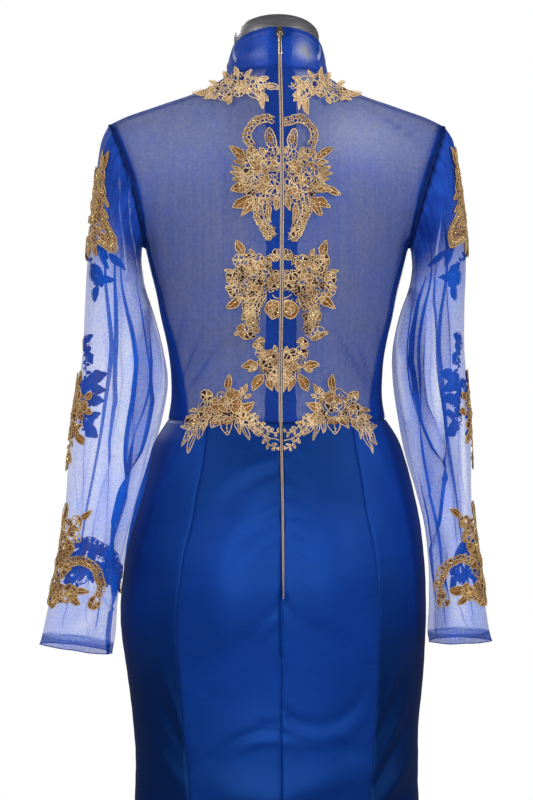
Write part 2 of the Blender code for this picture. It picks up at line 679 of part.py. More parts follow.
zip_at = 1.506                                               # height of the slider's middle
k = int(np.argmin(abs(line[:, 2] - zip_at)))
s_t = (line[-1] - line[-2]) / np.linalg.norm(line[-1] - line[-2])
s_n = np.array((0, s_t[2], -s_t[1]))
s_0 = line[-2] + (line[-1] - line[-2]) * ((zip_at - line[-2][2]) / (line[-1][2] - line[-2][2]))


def local(x, along, out):
    return s_0 + np.array((x, 0, 0)) + s_t * along + s_n * out


def block(name, x0, x1, a0, a1, o0, o1, mat, taper=0.0):
    verts = [local(x * (1 - taper if a > (a0 + a1) / 2 else 1), a, o)
             for a in (a0, a1) for x, o in ((x0, o0), (x1, o0), (x1, o1), (x0, o1))]
    faces = [(0, 1, 2, 3), (4, 7, 6, 5), (0, 4, 5, 1), (1, 5, 6, 2), (2, 6, 7, 3), (3, 7, 4, 0)]
    return make(name, verts, faces, mat, smooth=False)


def union(base, others):
    bpy.context.view_layer.update()
    for other in others:
        cut = base.modifiers.new("join", "BOOLEAN")
        cut.operation = "UNION"
        cut.solver = "EXACT"
        cut.object = other
        other.hide_render = True
        other.display_type = "WIRE"


def rod(name, r, x0, x1, along, out, mat, sides=12):
    loops = [[local(x, along + r * math.cos(2 * math.pi * k / sides), out + r * math.sin(2 * math.pi * k / sides))
              for k in range(sides)] for x in (x0, x1)]
    return rings(name, loops, mat)


slider_mat = material("zip_slider_metal", (0.30, 0.26, 0.21), 0.3, 1.0)
slider = block("zip_slider", -0.0042, 0.0042, -0.0050, 0.0050, 0.0010, 0.0030, slider_mat, taper=0.0)
PIN = (0.0005, 0.0052)                                       # along and out, from the slider's middle
cheeks = [block("cheek_%d" % n, x0, x1, -0.0014, 0.0024, 0.0026, 0.0064, slider_mat)
          for n, (x0, x1) in enumerate(((-0.0034, -0.0023), (0.0023, 0.0034)))]
pin = rod("pin", 0.0006, -0.0030, 0.0030, PIN[0], PIN[1], slider_mat, 10)
union(slider, cheeks + [pin])

# pull: an eye round the pin and a slim tab that lies down the zip
pull_mat = material("zip_pull_metal", (0.66, 0.58, 0.46), 0.28, 1.0)
pin_point = local(0, *PIN)
outline_out = [(0.0019 * math.cos(t), 0.0019 * math.sin(t)) for t in np.radians(np.arange(-62, 243, 30.4))]
# the tab's outline in the along/out plane, from the eye down
EYE_R, HOLE_R, PULL_W, PULL_T, PULL_L = 0.0019, 0.00095, 0.0030, 0.0011, 0.0280
sides = 16
ring_out = [(EYE_R * math.cos(2 * math.pi * k / sides), EYE_R * math.sin(2 * math.pi * k / sides)) for k in range(sides)]
ring_in = [(HOLE_R * math.cos(2 * math.pi * k / sides), HOLE_R * math.sin(2 * math.pi * k / sides)) for k in range(sides)]
verts, faces = [], []
for x in (-0.0018, 0.0018):
    for loop in (ring_out, ring_in):
        verts += [local(x, PIN[0] + a, PIN[1] + o) for a, o in loop]
for k in range(sides):
    j = (k + 1) % sides
    faces += [(k, j, sides + j, sides + k),
              (2 * sides + k, 3 * sides + k, 3 * sides + j, 2 * sides + j),
              (k, 2 * sides + k, 2 * sides + j, j),
              (sides + k, sides + j, 3 * sides + j, 3 * sides + k)]
pull = make("zip_pull", verts, faces, pull_mat, smooth=False, origin=pin_point)
tab_rows = ((-0.0014, 0.0026), (-0.0040, 0.0030), (-0.0200, 0.0036), (-0.0262, 0.0038), (-0.0280, 0.0026))
loops = []
for along, wide in tab_rows:
    w = wide / 2
    t = PULL_T / 2
    loops.append([local(x, PIN[0] + along, PIN[1] + o) for x, o in
                  ((-w, -t * 0.5), (-w * 0.7, -t), (w * 0.7, -t), (w, -t * 0.5), (w, t * 0.5), (w * 0.7, t),
                   (-w * 0.7, t), (-w, t * 0.5))])
tab = rings("tab", loops, pull_mat)
union(pull, [tab])
for name, x0, x1 in (("zip_stop_l", 0.0002, 0.0023), ("zip_stop_r", -0.0023, -0.0002)):
    block(name, x0, x1, 0.0055, 0.0085, 0.0009, 0.0026, material(name + "_metal", ZIPMETAL, 0.3, 1.0))

# ---- sleeves -------------------------------------------------------------


def sleeve_net(table, sign):
    table = np.array(table)
    net = []
    rows = len(table)
    for i, (ox, oz, ix, iz, depth, ym) in enumerate(table):
        outer, inner = np.array((ox, 0, oz)), np.array((ix, 0, iz))
        ring = []
        ramp = min(1.0, max(0.0, (i - 0.5) / 3)) * (1 - 0.45 * max(0, i - 12) / 4)
        for k in range(SLEEVE_SIDES):
            deg = 360 * k / SLEEVE_SIDES
            a = math.radians(deg)
            p = (outer + inner) / 2 + (outer - inner) / 2 * math.cos(a)
            p[1] = ym + depth * math.sin(a)
            if i == 0:
                p[0] -= ARM_DIP * math.sin(a) ** 2
            elif i == 1:
                p[0] -= 0.5 * ARM_DIP * math.sin(a) ** 2
            middle = np.array(((ox + ix) / 2, ym, (oz + iz) / 2))
            dent = 0.0
            for at, wide, deep in SLEEVE_FOLDS:
                wander = at + 10 * math.sin(0.55 * i + at)
                off = (deg - wander + 180) % 360 - 180
                dent += deep * math.exp(-((off / wide) ** 2))
            away = middle - p
            p = p + away / np.linalg.norm(away) * dent * ramp
            ring.append(p * (sign, 1, 1))
        net.append(ring)
    net = np.array(net)
    normals = grid_normals(net, closed=True)
    middle = net.mean(axis=1, keepdims=True)
    turn = np.sign(((net - middle) * normals).sum(axis=2).mean())
    return net, normals * turn


for name, table, sign in (("sleeve_l", SLEEVE_L, 1), ("sleeve_r", SLEEVE_R, -1)):
    net, normals = sleeve_net(table, sign)
    wall(name, net, normals, 0, NET_T, material("net_" + name, NET, 0.7), closed=True, edge=0.0004, edges="b")
    side = name[-1]
    for motif, (i0, i1, k0, k1) in LACE_SLEEVE.items():
        ks = [k % SLEEVE_SIDES for k in range(k0, k1 + 1)]
        patch = net[i0:i1 + 1][:, ks].copy()
        patch_n = normals[i0:i1 + 1][:, ks].copy()
        # the corners are drawn in, so that the motif ends in points
        for row, inner in ((0, 1), (-1, -2)):
            for col in (0, -1):
                patch[row, col] = patch[row, col] + (patch[inner, col] - patch[row, col]) * 0.55
        wall("lace_sleeve_%s_%s" % (motif, side), patch, patch_n, LACE_OUT + LACE_T, LACE_T,
             material("lace_%s_%s" % (motif, side), GOLD, 0.45), edges="")

# ---- lace on the back ----------------------------------------------------

def column_point(column, z):
    """The +X net at a place along its columns and a height, and its outward direction."""
    both = np.concatenate([BACK_L, back_normals], axis=2)
    j = min(int(column), len(HALF_COLUMNS) - 2)
    line = both[:, j] + (both[:, j + 1] - both[:, j]) * (column - j)
    found = np.array([np.interp(z, line[:, 2], line[:, k]) for k in range(6)])
    return found[:3], found[3:] / np.linalg.norm(found[3:])


ROWS = 7
both = np.array([[np.concatenate(column_point(c, low + (high - low) * i / (ROWS - 1))) for c, low, high in LACE_SHOULDER]
                 for i in range(ROWS)])
for side, f in (("l", np.array((1, 1, 1))), ("r", flip)):
    wall("lace_shoulder_" + side, both[..., :3] * f, both[..., 3:] * f, LACE_OUT + LACE_T, LACE_T,
         material("lace_shoulder_" + side, GOLD, 0.45), edges="")

for motif, columns in LACE_BACK.items():
    rows = max(3, int(max(c[2] - c[1] for c in columns) / 0.018) + 2)
    both = np.array([[np.concatenate(back_point(x, low + (high - low) * i / (rows - 1))) for x, low, high in columns]
                     for i in range(rows)])
    net, normals = both[..., :3], both[..., 3:]
    for side, f in (("l", np.array((1, 1, 1))), ("r", flip)):
        wall("lace_%s_%s" % (motif, side), net * f, normals * f, LACE_OUT + LACE_T, LACE_T,
             material("lace_%s_%s" % (motif, side), GOLD, 0.45), edges="")

# ---- dress form ----------------------------------------------------------

form_mat = material("form_cloth", FORM, 0.75)
steel_mat = material("brushed_steel", STEEL, 0.32, 1.0)
pole_mat = material("pole_steel", STEEL, 0.30, 1.0)
base_mat = material("base_steel", STEEL, 0.34, 1.0)

bm = bmesh.new()
places = {}


def vert(p, inward):
    k = key(p)
    if k not in places:
        places[k] = bm.verts.new(tuple(np.array(p) - inward * FORM_IN))
    return places[k]


for net, normals in ((BACK_L, back_normals), (BACK_L * flip, back_normals * flip), (FRONT, front_normals)):
    for i in range(net.shape[0] - 1):
        for j in range(net.shape[1] - 1):
            a, b, c, d = [vert(net[k], normals[k]) for k in ((i, j), (i, j + 1), (i + 1, j + 1), (i + 1, j))]
            bm.faces.new((a, b, c))
            bm.faces.new((a, c, d))
# armholes: a flat plate drawn in
for sign in (1, -1):
    front_half = FRONT[:, 0] if sign > 0 else FRONT[:, -1]
    back_half = BACK_L[:, -1] if sign > 0 else BACK_R[:, 0]
    start = len(LOW_ROWS) - 1
    loop = list(front_half[start:]) + list(back_half[start:-1][::-1][:-1])
    around = []
    for p in loop:
        v = places[key(p)]
        if v not in around:
            around.append(v)
    centre = np.mean([v.co for v in around], axis=0)
    for v in around:
        v.co.x -= sign * 0.004
    middle = bm.verts.new(tuple(centre - np.array((sign * 0.003, 0, 0))))
    for a, b in zip(around, around[1:] + around[:1]):
        bm.faces.new((a, b, middle))
# neck: rings from the neckline up to the cap
neck_keys = [key(p) for p in list(BACK_L[-1, :4]) + list(FRONT_L[-1, :4][::-1][1:])
             + list(FRONT_R[-1, ::-1][:4][1:]) + list(BACK_R[-1, ::-1][:4][::-1][1:-1])]
ring = [places[k] for k in neck_keys]
CAP_TILT = math.radians(25)
CAP_MID = np.array((0, -0.0025, 1.4870))                      # middle of the neck's cut


def neck_ring(r_x, r_y, lift, points):
    loop = []
    for v in points:
        a = math.atan2(v.co.x / 0.054, (v.co.y + 0.002) / 0.057)
        p = CAP_MID + np.array((r_x * math.sin(a), r_y * math.cos(a) * math.cos(CAP_TILT),
                                r_y * math.cos(a) * math.sin(CAP_TILT)))
        p += np.array((0, -math.sin(CAP_TILT), math.cos(CAP_TILT))) * lift
        loop.append(p)
    return loop


base_ring = list(ring)
previous = base_ring
for r, lift in ((0.0478, -0.006), (0.0474, 0.006)):
    new = [bm.verts.new(tuple(p)) for p in neck_ring(r, r, lift, base_ring)]
    for j in range(len(new)):
        k = (j + 1) % len(new)
        bm.faces.new((previous[j], previous[k], new[k], new[j]))
    previous = new
middle = bm.verts.new(tuple(np.mean([v.co for v in previous], axis=0)))
for j in range(len(previous)):
    bm.faces.new((previous[j], previous[(j + 1) % len(previous)], middle))
# hips: rings below the waist, then the underside with the pole's socket
waist_loop = [places[key(p)] for p in list(BACK_L[0]) + list(FRONT[0][1:]) + list(BACK_R[0][1:-1])]
angles = [math.degrees(math.atan2(v.co.x / 0.125, v.co.y / 0.08)) for v in waist_loop]
previous = waist_loop
for z, inset in ((1.034, FORM_IN), (1.003, FORM_IN), (0.962, FORM_IN), (0.920, FORM_IN), (0.879, FORM_IN + 0.001),
                 (0.845, FORM_IN + 0.002), (0.815, 0.010), (0.798, 0.018), (0.790, 0.032)):
    new = []
    for deg in angles:
        p = figure(deg, z)
        q = np.array((p[0], p[1], 0))
        new.append(bm.verts.new(tuple(p - q / np.linalg.norm(q) * inset)))
    for j in range(len(new)):
        k = (j + 1) % len(new)
        bm.faces.new((previous[j], previous[k], new[k], new[j]))
    previous = new
for r, z in ((0.040, 0.788), (POLE_R + GAP, 0.788), (POLE_R + GAP, 0.858)):
    new = [bm.verts.new((r * math.sin(math.radians(d)), r * math.cos(math.radians(d)), z)) for d in angles]
    for j in range(len(new)):
        k = (j + 1) % len(new)
        bm.faces.new((previous[j], previous[k], new[k], new[j]))
    previous = new
middle = bm.verts.new((0, 0, 0.858))
for j in range(len(previous)):
    bm.faces.new((previous[j], previous[(j + 1) % len(previous)], middle))
bmesh.ops.recalc_face_normals(bm, faces=bm.faces)
if bm.calc_volume(signed=True) < 0:
    bmesh.ops.reverse_faces(bm, faces=bm.faces)
mesh = bpy.data.meshes.new("form_torso")
bm.to_mesh(mesh)
bm.free()
mesh.shade_smooth()
mesh.materials.append(form_mat)
bpy.context.scene.collection.objects.link(bpy.data.objects.new("form_torso", mesh))

# steel neck cap on the neck's cut
cap_loops = []
for r, lift in ((0.0480, 0.0065), (0.0500, 0.0070), (0.0502, 0.0080), (0.0502, 0.0240), (0.0496, 0.0262), (0.0478, 0.0272)):
    loop = []
    for k in range(36):
        a = 2 * math.pi * k / 36
        p = CAP_MID + np.array((r * math.sin(a), r * math.cos(a) * math.cos(CAP_TILT), r * math.cos(a) * math.sin(CAP_TILT)))
        p += np.array((0, -math.sin(CAP_TILT), math.cos(CAP_TILT))) * lift
        loop.append(p)
    cap_loops.append(loop)
rings("neck_cap", cap_loops, steel_mat)

rings("stand_pole", [circle(POLE_R, z, 20) for z in (0.0083, 0.400, 0.8575)], pole_mat)
rings("stand_base", [circle(BASE_R - 0.004, 0.0, 32), circle(BASE_R, 0.002, 32), circle(BASE_R, 0.010, 32),
                     circle(BASE_R - 0.003, 0.0125, 32), circle(0.060, 0.0150, 32), circle(0.032, 0.0190, 32),
                     circle(0.026, 0.0450, 32), circle(0.023, 0.0480, 32), circle(POLE_R + GAP, 0.0480, 32),
                     circle(POLE_R + GAP, 0.0080, 32)], base_mat)
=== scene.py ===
"""The looks of the mermaid gown and its dress form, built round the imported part.

Metres, +Z up. The gown faces -Y and its zip runs down the back, at +Y. +X is the wearer's left.
"""

import math

import bmesh
import bpy
import numpy as np
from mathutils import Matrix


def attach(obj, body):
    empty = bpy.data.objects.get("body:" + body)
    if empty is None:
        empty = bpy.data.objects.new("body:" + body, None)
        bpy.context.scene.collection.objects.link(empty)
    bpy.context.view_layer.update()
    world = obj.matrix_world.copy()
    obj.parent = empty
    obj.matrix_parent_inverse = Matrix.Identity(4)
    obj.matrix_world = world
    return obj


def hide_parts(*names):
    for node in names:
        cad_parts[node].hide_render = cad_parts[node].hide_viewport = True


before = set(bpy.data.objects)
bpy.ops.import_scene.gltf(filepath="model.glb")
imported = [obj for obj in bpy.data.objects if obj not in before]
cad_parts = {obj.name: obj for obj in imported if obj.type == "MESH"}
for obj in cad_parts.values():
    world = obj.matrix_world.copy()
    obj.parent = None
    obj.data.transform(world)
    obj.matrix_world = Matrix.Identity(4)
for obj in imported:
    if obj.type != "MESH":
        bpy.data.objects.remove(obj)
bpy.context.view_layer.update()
rng = np.random.default_rng(7)

# ---- sizes ---------------------------------------------------------------
WAIST_Z = 1.060        # waist seam
UNDER_Z = 1.262        # underarm
HEM_Z = 0.015          # hem, just clear of the floor
NET_T = 0.0010         # net wall
SATIN_T = 0.0012       # satin wall
COLLAR_T = 0.0016      # doubled net
GAP = 0.0003           # between pieces at a seam
ZIP_HALF = 0.0023      # half the width of the zip's chain
TAPE_W = 0.0180        # reach of each zip tape from the centre
TAPE_OUT = -0.0021     # tape's outer face, under the cloth
FORM_IN = 0.0056       # form's skin under the outer face of the cloth
LACE_OUT = 0.0009      # lace's underside above the cloth
LACE_T = 0.0010
ZIP_END_Z = 0.862      # bottom of the zip
POLE_R = 0.0140
BASE_R = 0.175

# torso and skirt sections: height, half width, reach to the front, reach to the back, shift to +X
SECTIONS = (
    # z      hx      front   back    cx
    (1.262, 0.1560, 0.1180, 0.0980, 0.000),
    (1.236, 0.1500, 0.1200, 0.0970, 0.000),
    (1.218, 0.1450, 0.1185, 0.0950, 0.000),
    (1.183, 0.1382, 0.1100, 0.0890, 0.000),
    (1.154, 0.1315, 0.1010, 0.0825, 0.000),
    (1.127, 0.1270, 0.0940, 0.0770, 0.000),
    (1.099, 0.1252, 0.0900, 0.0740, 0.000),
    (1.081, 0.1257, 0.0905, 0.0745, 0.000),
    (1.060, 0.1290, 0.0930, 0.0790, 0.000),
    (1.034, 0.1445, 0.0980, 0.0890, 0.000),
    (1.003, 0.1548, 0.1040, 0.1010, 0.000),
    (0.962, 0.1662, 0.1090, 0.1120, 0.001),
    (0.927, 0.1737, 0.1120, 0.1180, 0.002),
    (0.879, 0.1795, 0.1130, 0.1220, 0.003),
    (0.843, 0.1818, 0.1120, 0.1200, 0.004),
    (0.815, 0.1818, 0.1100, 0.1160, 0.004),
    (0.766, 0.1777, 0.1060, 0.1080, 0.002),
    (0.736, 0.1745, 0.1030, 0.1030, 0.001),
    (0.700, 0.1708, 0.1010, 0.1000, 0.001),
    (0.665, 0.1690, 0.1000, 0.0980, 0.000),
    (0.605, 0.1700, 0.1010, 0.0990, 0.000),
    (0.550, 0.1745, 0.1060, 0.1040, 0.000),
    (0.500, 0.1840, 0.1150, 0.1150, 0.000),
    (0.440, 0.2030, 0.1320, 0.1380, 0.000),
    (0.370, 0.2340, 0.1600, 0.1760, 0.000),
    (0.300, 0.2680, 0.1920, 0.2200, 0.000),
    (0.220, 0.3060, 0.2280, 0.2720, 0.000),
    (0.140, 0.3400, 0.2610, 0.3230, 0.000),
    (0.070, 0.3640, 0.2850, 0.3620, 0.000),
    (0.015, 0.3780, 0.2990, 0.3860, 0.000),
)
# soft swellings of the general figure: x, z, side (+1 back, -1 front), height, half width, half height
SWELLINGS = (
    (0.070, 0.880, +1, 0.010, 0.050, 0.070),
    (-0.070, 0.880, +1, 0.010, 0.050, 0.070),
    (0.085, 1.240, -1, 0.020, 0.045, 0.045),
    (-0.085, 1.240, -1, 0.020, 0.045, 0.045),
    (0.080, 1.330, +1, 0.004, 0.045, 0.050),
    (-0.080, 1.330, +1, 0.004, 0.045, 0.050),
    (0.000, 1.180, +1, -0.004, 0.022, 0.090),
)
# flutes of the flare: degrees from the centre back towards +X, half width, rise at the hem, height where it starts
FLUTES = (
    (4, 17, 0.026, 0.52),
    (41, 18, 0.034, 0.56),
    (79, 16, 0.024, 0.50),
    (112, 17, 0.030, 0.54),
    (147, 18, 0.022, 0.49),
    (181, 16, 0.027, 0.51),
    (214, 17, 0.021, 0.50),
    (249, 18, 0.031, 0.55),
    (285, 17, 0.023, 0.52),
    (322, 18, 0.036, 0.57),
)
# profiles of the upper torso: height, reach
BACK_PROFILE = ((1.262, 0.0980), (1.300, 0.1005), (1.340, 0.0990), (1.380, 0.0930),
                (1.420, 0.0825), (1.450, 0.0700), (1.468, 0.0595))
FRONT_PROFILE = ((1.262, 0.1180), (1.300, 0.1080), (1.340, 0.0960), (1.380, 0.0820),
                 (1.410, 0.0710), (1.425, 0.0645))
SHOULDER = ((0.0595, 1.4610), (0.0780, 1.4500), (0.1000, 1.4405), (0.1400, 1.4270),
            (0.1773, 1.4140), (0.1970, 1.4045))    # x, z from neck to tip
NECK_U = 0.30          # share of the top edge that is neckline
ARM_B = 0.0550         # half depth of the armhole
ARM_DIP = 0.0070       # how far its back and front curve in
# princess seams on the back: height, distance from the centre
PRINCESS = ((1.060, 0.0850), (1.034, 0.0877), (0.992, 0.0945), (0.962, 0.1000), (0.909, 0.1110),
            (0.843, 0.1170), (0.790, 0.1165), (0.700, 0.1120), (0.605, 0.1050), (0.500, 0.1120),
            (0.370, 0.1480), (0.220, 0.2000), (0.015, 0.2500))
# sleeve rings, armhole to hem: outer x, z, inner x, z, half depth, middle y
SLEEVE_L = (
    (0.1976, 1.4052, 0.1576, 1.2640, 0.0550, 0.000),
    (0.2060, 1.3860, 0.1590, 1.2590, 0.0560, 0.001),
    (0.2110, 1.3560, 0.1592, 1.2535, 0.0560, 0.002),
    (0.2160, 1.3180, 0.1592, 1.2450, 0.0555, 0.003),
    (0.2210, 1.2780, 0.1580, 1.2330, 0.0540, 0.005),
    (0.2240, 1.2350, 0.1545, 1.2120, 0.0510, 0.008),
    (0.2262, 1.1900, 0.1440, 1.1800, 0.0470, 0.012),
    (0.2285, 1.1440, 0.1335, 1.1400, 0.0430, 0.018),
    (0.2335, 1.1040, 0.1280, 1.1030, 0.0400, 0.026),
    (0.2395, 1.0620, 0.1345, 1.0620, 0.0370, 0.036),
    (0.2445, 1.0210, 0.1460, 1.0210, 0.0350, 0.044),
    (0.2475, 0.9750, 0.1565, 0.9750, 0.0330, 0.050),
    (0.2510, 0.9330, 0.1695, 0.9320, 0.0310, 0.050),
    (0.2580, 0.8910, 0.1800, 0.8890, 0.0290, 0.046),
    (0.2680, 0.8480, 0.1875, 0.8450, 0.0270, 0.042),
    (0.2740, 0.8190, 0.1905, 0.8130, 0.0250, 0.040),
    (0.2770, 0.8000, 0.1935, 0.7880, 0.0240, 0.040),
)
SLEEVE_R = (
    (0.1976, 1.4052, 0.1576, 1.2640, 0.0550, 0.000),
    (0.2080, 1.3860, 0.1590, 1.2590, 0.0560, 0.001),
    (0.2130, 1.3520, 0.1594, 1.2540, 0.0560, 0.002),
    (0.2180, 1.3150, 0.1595, 1.2460, 0.0555, 0.003),
    (0.2225, 1.2750, 0.1588, 1.2330, 0.0540, 0.004),
    (0.2235, 1.2320, 0.1545, 1.2120, 0.0510, 0.006),
    (0.2215, 1.1900, 0.1430, 1.1800, 0.0470, 0.012),
    (0.2200, 1.1440, 0.1350, 1.1400, 0.0430, 0.018),
    (0.2215, 1.1040, 0.1350, 1.1030, 0.0400, 0.026),
    (0.2235, 1.0620, 0.1395, 1.0620, 0.0375, 0.036),
    (0.2245, 1.0210, 0.1460, 1.0210, 0.0355, 0.044),
    (0.2250, 0.9750, 0.1580, 0.9750, 0.0335, 0.050),
    (0.2280, 0.9330, 0.1680, 0.9320, 0.0320, 0.052),
    (0.2345, 0.8910, 0.1725, 0.8890, 0.0300, 0.050),
    (0.2410, 0.8480, 0.1745, 0.8450, 0.0285, 0.048),
    (0.2450, 0.8190, 0.1745, 0.8150, 0.0275, 0.046),
    (0.2475, 0.8005, 0.1755, 0.8000, 0.0270, 0.046),
)
SLEEVE_SIDES = 14
# lengthwise folds of the sleeves: degrees round from the outer edge towards the back, half width, depth
SLEEVE_FOLDS = ((68, 20, 0.0050), (118, 18, 0.0045), (160, 16, 0.0020), (205, 18, 0.0030),
                (252, 20, 0.0050), (300, 20, 0.0040))
# lace motifs on the back, one side: columns of distance from the centre, foot, head
LACE_BACK = {
    "upper": ((0.0042, 1.268, 1.404), (0.014, 1.272, 1.408), (0.025, 1.290, 1.400), (0.036, 1.303, 1.372),
              (0.046, 1.306, 1.350), (0.055, 1.306, 1.330)),
    "mid": ((0.0042, 1.176, 1.262), (0.016, 1.170, 1.260), (0.028, 1.156, 1.250), (0.040, 1.170, 1.238),
            (0.052, 1.190, 1.222)),
    "low": ((0.0042, 1.104, 1.140), (0.013, 1.096, 1.144), (0.023, 1.098, 1.138), (0.032, 1.104, 1.126)),
    "waist": ((0.0042, 1.034, 1.064), (0.018, 1.036, 1.070), (0.032, 1.044, 1.088), (0.046, 1.046, 1.104),
              (0.058, 1.040, 1.108), (0.070, 1.032, 1.092), (0.081, 1.030, 1.070), (0.091, 1.030, 1.056)),
}
# the shoulder motif, by the net's own columns, which bend sharply there: column, foot, head
LACE_SHOULDER = ((0.17, 1.424, 1.462), (1, 1.432, 1.460), (2, 1.430, 1.455), (3, 1.421, 1.449),
                 (4, 1.419, 1.438), (4.6, 1.420, 1.432))
# lace motifs on the sleeves: first and last ring, first and last side (sides count from the outer edge to the back)
LACE_SLEEVE = {
    "top": (1, 5, -1, 3),
    "mid": (8, 10, -1, 2),
    "cuff": (12, 15, -1, 2),
}


# ---- the figure's surface ------------------------------------------------


def smooth_table(table, column, z):
    """The column's value at height z, by a cubic through the table's rows."""
    rows = sorted(table)
    zs = [row[0] for row in rows]
    vs = [row[column] for row in rows]
    if z <= zs[0]:
        return vs[0]
    if z >= zs[-1]:
        return vs[-1]
    i = max(k for k in range(len(zs) - 1) if zs[k] <= z)

    def slope(k):
        if k == 0 or k == len(zs) - 1:
            j = min(k, len(zs) - 2)
            return (vs[j + 1] - vs[j]) / (zs[j + 1] - zs[j])
        return (vs[k + 1] - vs[k - 1]) / (zs[k + 1] - zs[k - 1])

    h = zs[i + 1] - zs[i]
    t = (z - zs[i]) / h
    return ((2 * t**3 - 3 * t**2 + 1) * vs[i] + (t**3 - 2 * t**2 + t) * h * slope(i)
            + (-2 * t**3 + 3 * t**2) * vs[i + 1] + (t**3 - t**2) * h * slope(i + 1))


def swell(p):
    x, y, z = p
    for x0, z0, side, rise, wide, high in SWELLINGS:
        if side * y > 0:
            share = min(1.0, abs(y) / 0.05)
            y += side * share * rise * math.exp(-((x - x0) / wide) ** 2 - ((z - z0) / high) ** 2)
    return np.array((x, y, z))


def figure(deg, z):
    """Point of the torso or skirt, deg round from the centre back towards +X."""
    a = math.radians(deg)
    hx, front, back, cx = (smooth_table(SECTIONS, k, z) for k in (1, 2, 3, 4))
    x = hx * math.sin(a)
    y = (back if math.cos(a) > 0 else front) * math.cos(a)
    rise = 0.0
    for at, wide, high, start in FLUTES:
        if z < start:
            off = (deg - at + 180) % 360 - 180
            if abs(off) < 2 * wide:
                down = (start - z) / (start - HEM_Z)
                rise += high * down**1.25 * (math.cos(math.pi * off / (2 * wide)) ** 2 - 0.25)
    r = math.hypot(x, y)
    return swell((x * (1 + rise / r) + cx, y * (1 + rise / r), z))


def polyline(points, share):
    """Point at a share of the length of a polyline."""
    points = [np.array(p, float) for p in points]
    steps = [np.linalg.norm(b - a) for a, b in zip(points, points[1:])]
    left = share * sum(steps)
    for a, b, step in zip(points, points[1:], steps):
        if left <= step or b is points[-1]:
            return a + (b - a) * (left / step)
        left -= step


def armhole(turn, side):
    """Armhole edge: turn 0 at the shoulder tip, 180 at the underarm; side +1 back, -1 front."""
    a = math.radians(turn)
    tip, pit = np.array((0.1970, 0.0, 1.4045)), np.array((0.1560, 0.0, UNDER_Z))
    p = (tip + pit) / 2 + (tip - pit) / 2 * math.cos(a)
    p[1] = side * ARM_B * math.sin(a)
    p[0] -= ARM_DIP * math.sin(a) ** 2
    return p


def neckline(turn):
    """Neck base ring: turn 0 at the centre back, 90 at the side, 180 at the centre front."""
    a = math.radians(turn)
    y = 0.0595 * math.cos(a) if turn <= 90 else 0.0645 * math.cos(a)
    if turn <= 90:
        z = 1.4610 + 0.0070 * math.cos(a) ** 1.5
    else:
        z = 1.4610 - 0.0360 * (-math.cos(a)) ** 1.3
    return np.array((0.0595 * math.sin(a), y, z))


def top_edge(u, side):
    """Neckline, then shoulder seam, for a back (+1) or front (-1) half panel."""
    if u <= NECK_U:
        return neckline(90 * u / NECK_U if side > 0 else 180 - 90 * u / NECK_U)
    return polyline([(x, 0.0, z) for x, z in SHOULDER], (u - NECK_U) / (1 - NECK_U))


def angle_of(u, side):
    turn = 90 * u**1.08
    return turn if side > 0 else 180 - turn


def upper(u, v, side):
    """Upper torso between the underarm section and the neck and shoulder, a patch between its four edges."""
    profile = BACK_PROFILE if side > 0 else FRONT_PROFILE
    low = figure(angle_of(u, side), UNDER_Z)
    high = top_edge(u, side)
    inner = polyline([swell((0.0, side * y, z)) for z, y in profile], v)
    outer = armhole(180 * (1 - v), side)
    c00, c10 = figure(angle_of(0, side), UNDER_Z), outer * 0 + armhole(180, side)
    c01, c11 = top_edge(0, side), top_edge(1, side)
    return ((1 - v) * low + v * high + (1 - u) * inner + u * outer
            - ((1 - u) * (1 - v) * c00 + u * (1 - v) * c10 + (1 - u) * v * c01 + u * v * c11))


LOW_ROWS = (1.060, 1.080, 1.100, 1.125, 1.152, 1.180, 1.208, 1.235, 1.262)
UPPER_ROWS = (0.17, 0.34, 0.51, 0.68, 0.84, 1.0)
HALF_COLUMNS = (0, 0.1, 0.2, 0.3, 0.41, 0.53, 0.65, 0.77, 0.89, 1.0)


def half_net(side):
    """Points of a +X half of the back or front, rows from the waist up, columns from the centre out."""
    rows = [[figure(angle_of(u, side), z) for u in HALF_COLUMNS] for z in LOW_ROWS]
    rows += [[upper(u, v, side) for u in HALF_COLUMNS] for v in UPPER_ROWS]
    net = np.array(rows)
    for _ in range(6):
        inner = net.copy()
        mean = (net[2:, 1:-1] + net[:-2, 1:-1] + net[1:-1, 2:] + net[1:-1, :-2]) / 4
        first = len(LOW_ROWS) - 3
        inner[first:-1, 1:-1] += 0.35 * (mean - net[1:-1, 1:-1])[first - 1:]
        net = inner
    return net


def mirrored(net):
    return net[:, ::-1] * (-1, 1, 1)


BACK_L = half_net(+1)
FRONT_L = half_net(-1)
BACK_R = mirrored(BACK_L)                                   # side to centre
FRONT_R = mirrored(FRONT_L)                                 # side to centre, from the right side
# All run anticlockwise seen from above when the columns go -theta; faces are turned by wall().
FRONT = np.concatenate([FRONT_L[:, ::-1], FRONT_R[:, ::-1][:, 1:]], axis=1)   # left side, centre, right side
NORMALS = {}


def key(p):
    return tuple(np.round(np.array(p) * 1e5).astype(int))


def add_normals(net):
    """Adds each face's direction to its corners, keyed by place, so that neighbours share theirs."""
    for i in range(net.shape[0] - 1):
        for j in range(net.shape[1] - 1):
            a, b, c, d = net[i, j], net[i, j + 1], net[i + 1, j + 1], net[i + 1, j]
            n = np.cross(c - a, d - b)
            middle = (a + b + c + d) / 4
            if np.dot(n, middle - (0, 0, middle[2] - 0.03 * (middle[2] > 1.30))) < 0:
                n = -n
            for p in (a, b, c, d):
                NORMALS[key(p)] = NORMALS.get(key(p), 0) + n


def normals_of(net):
    out = np.array([[NORMALS[key(p)] for p in row] for row in net])
    return out / np.linalg.norm(out, axis=2, keepdims=True)


for piece in (BACK_L, BACK_R, FRONT):
    add_normals(piece)


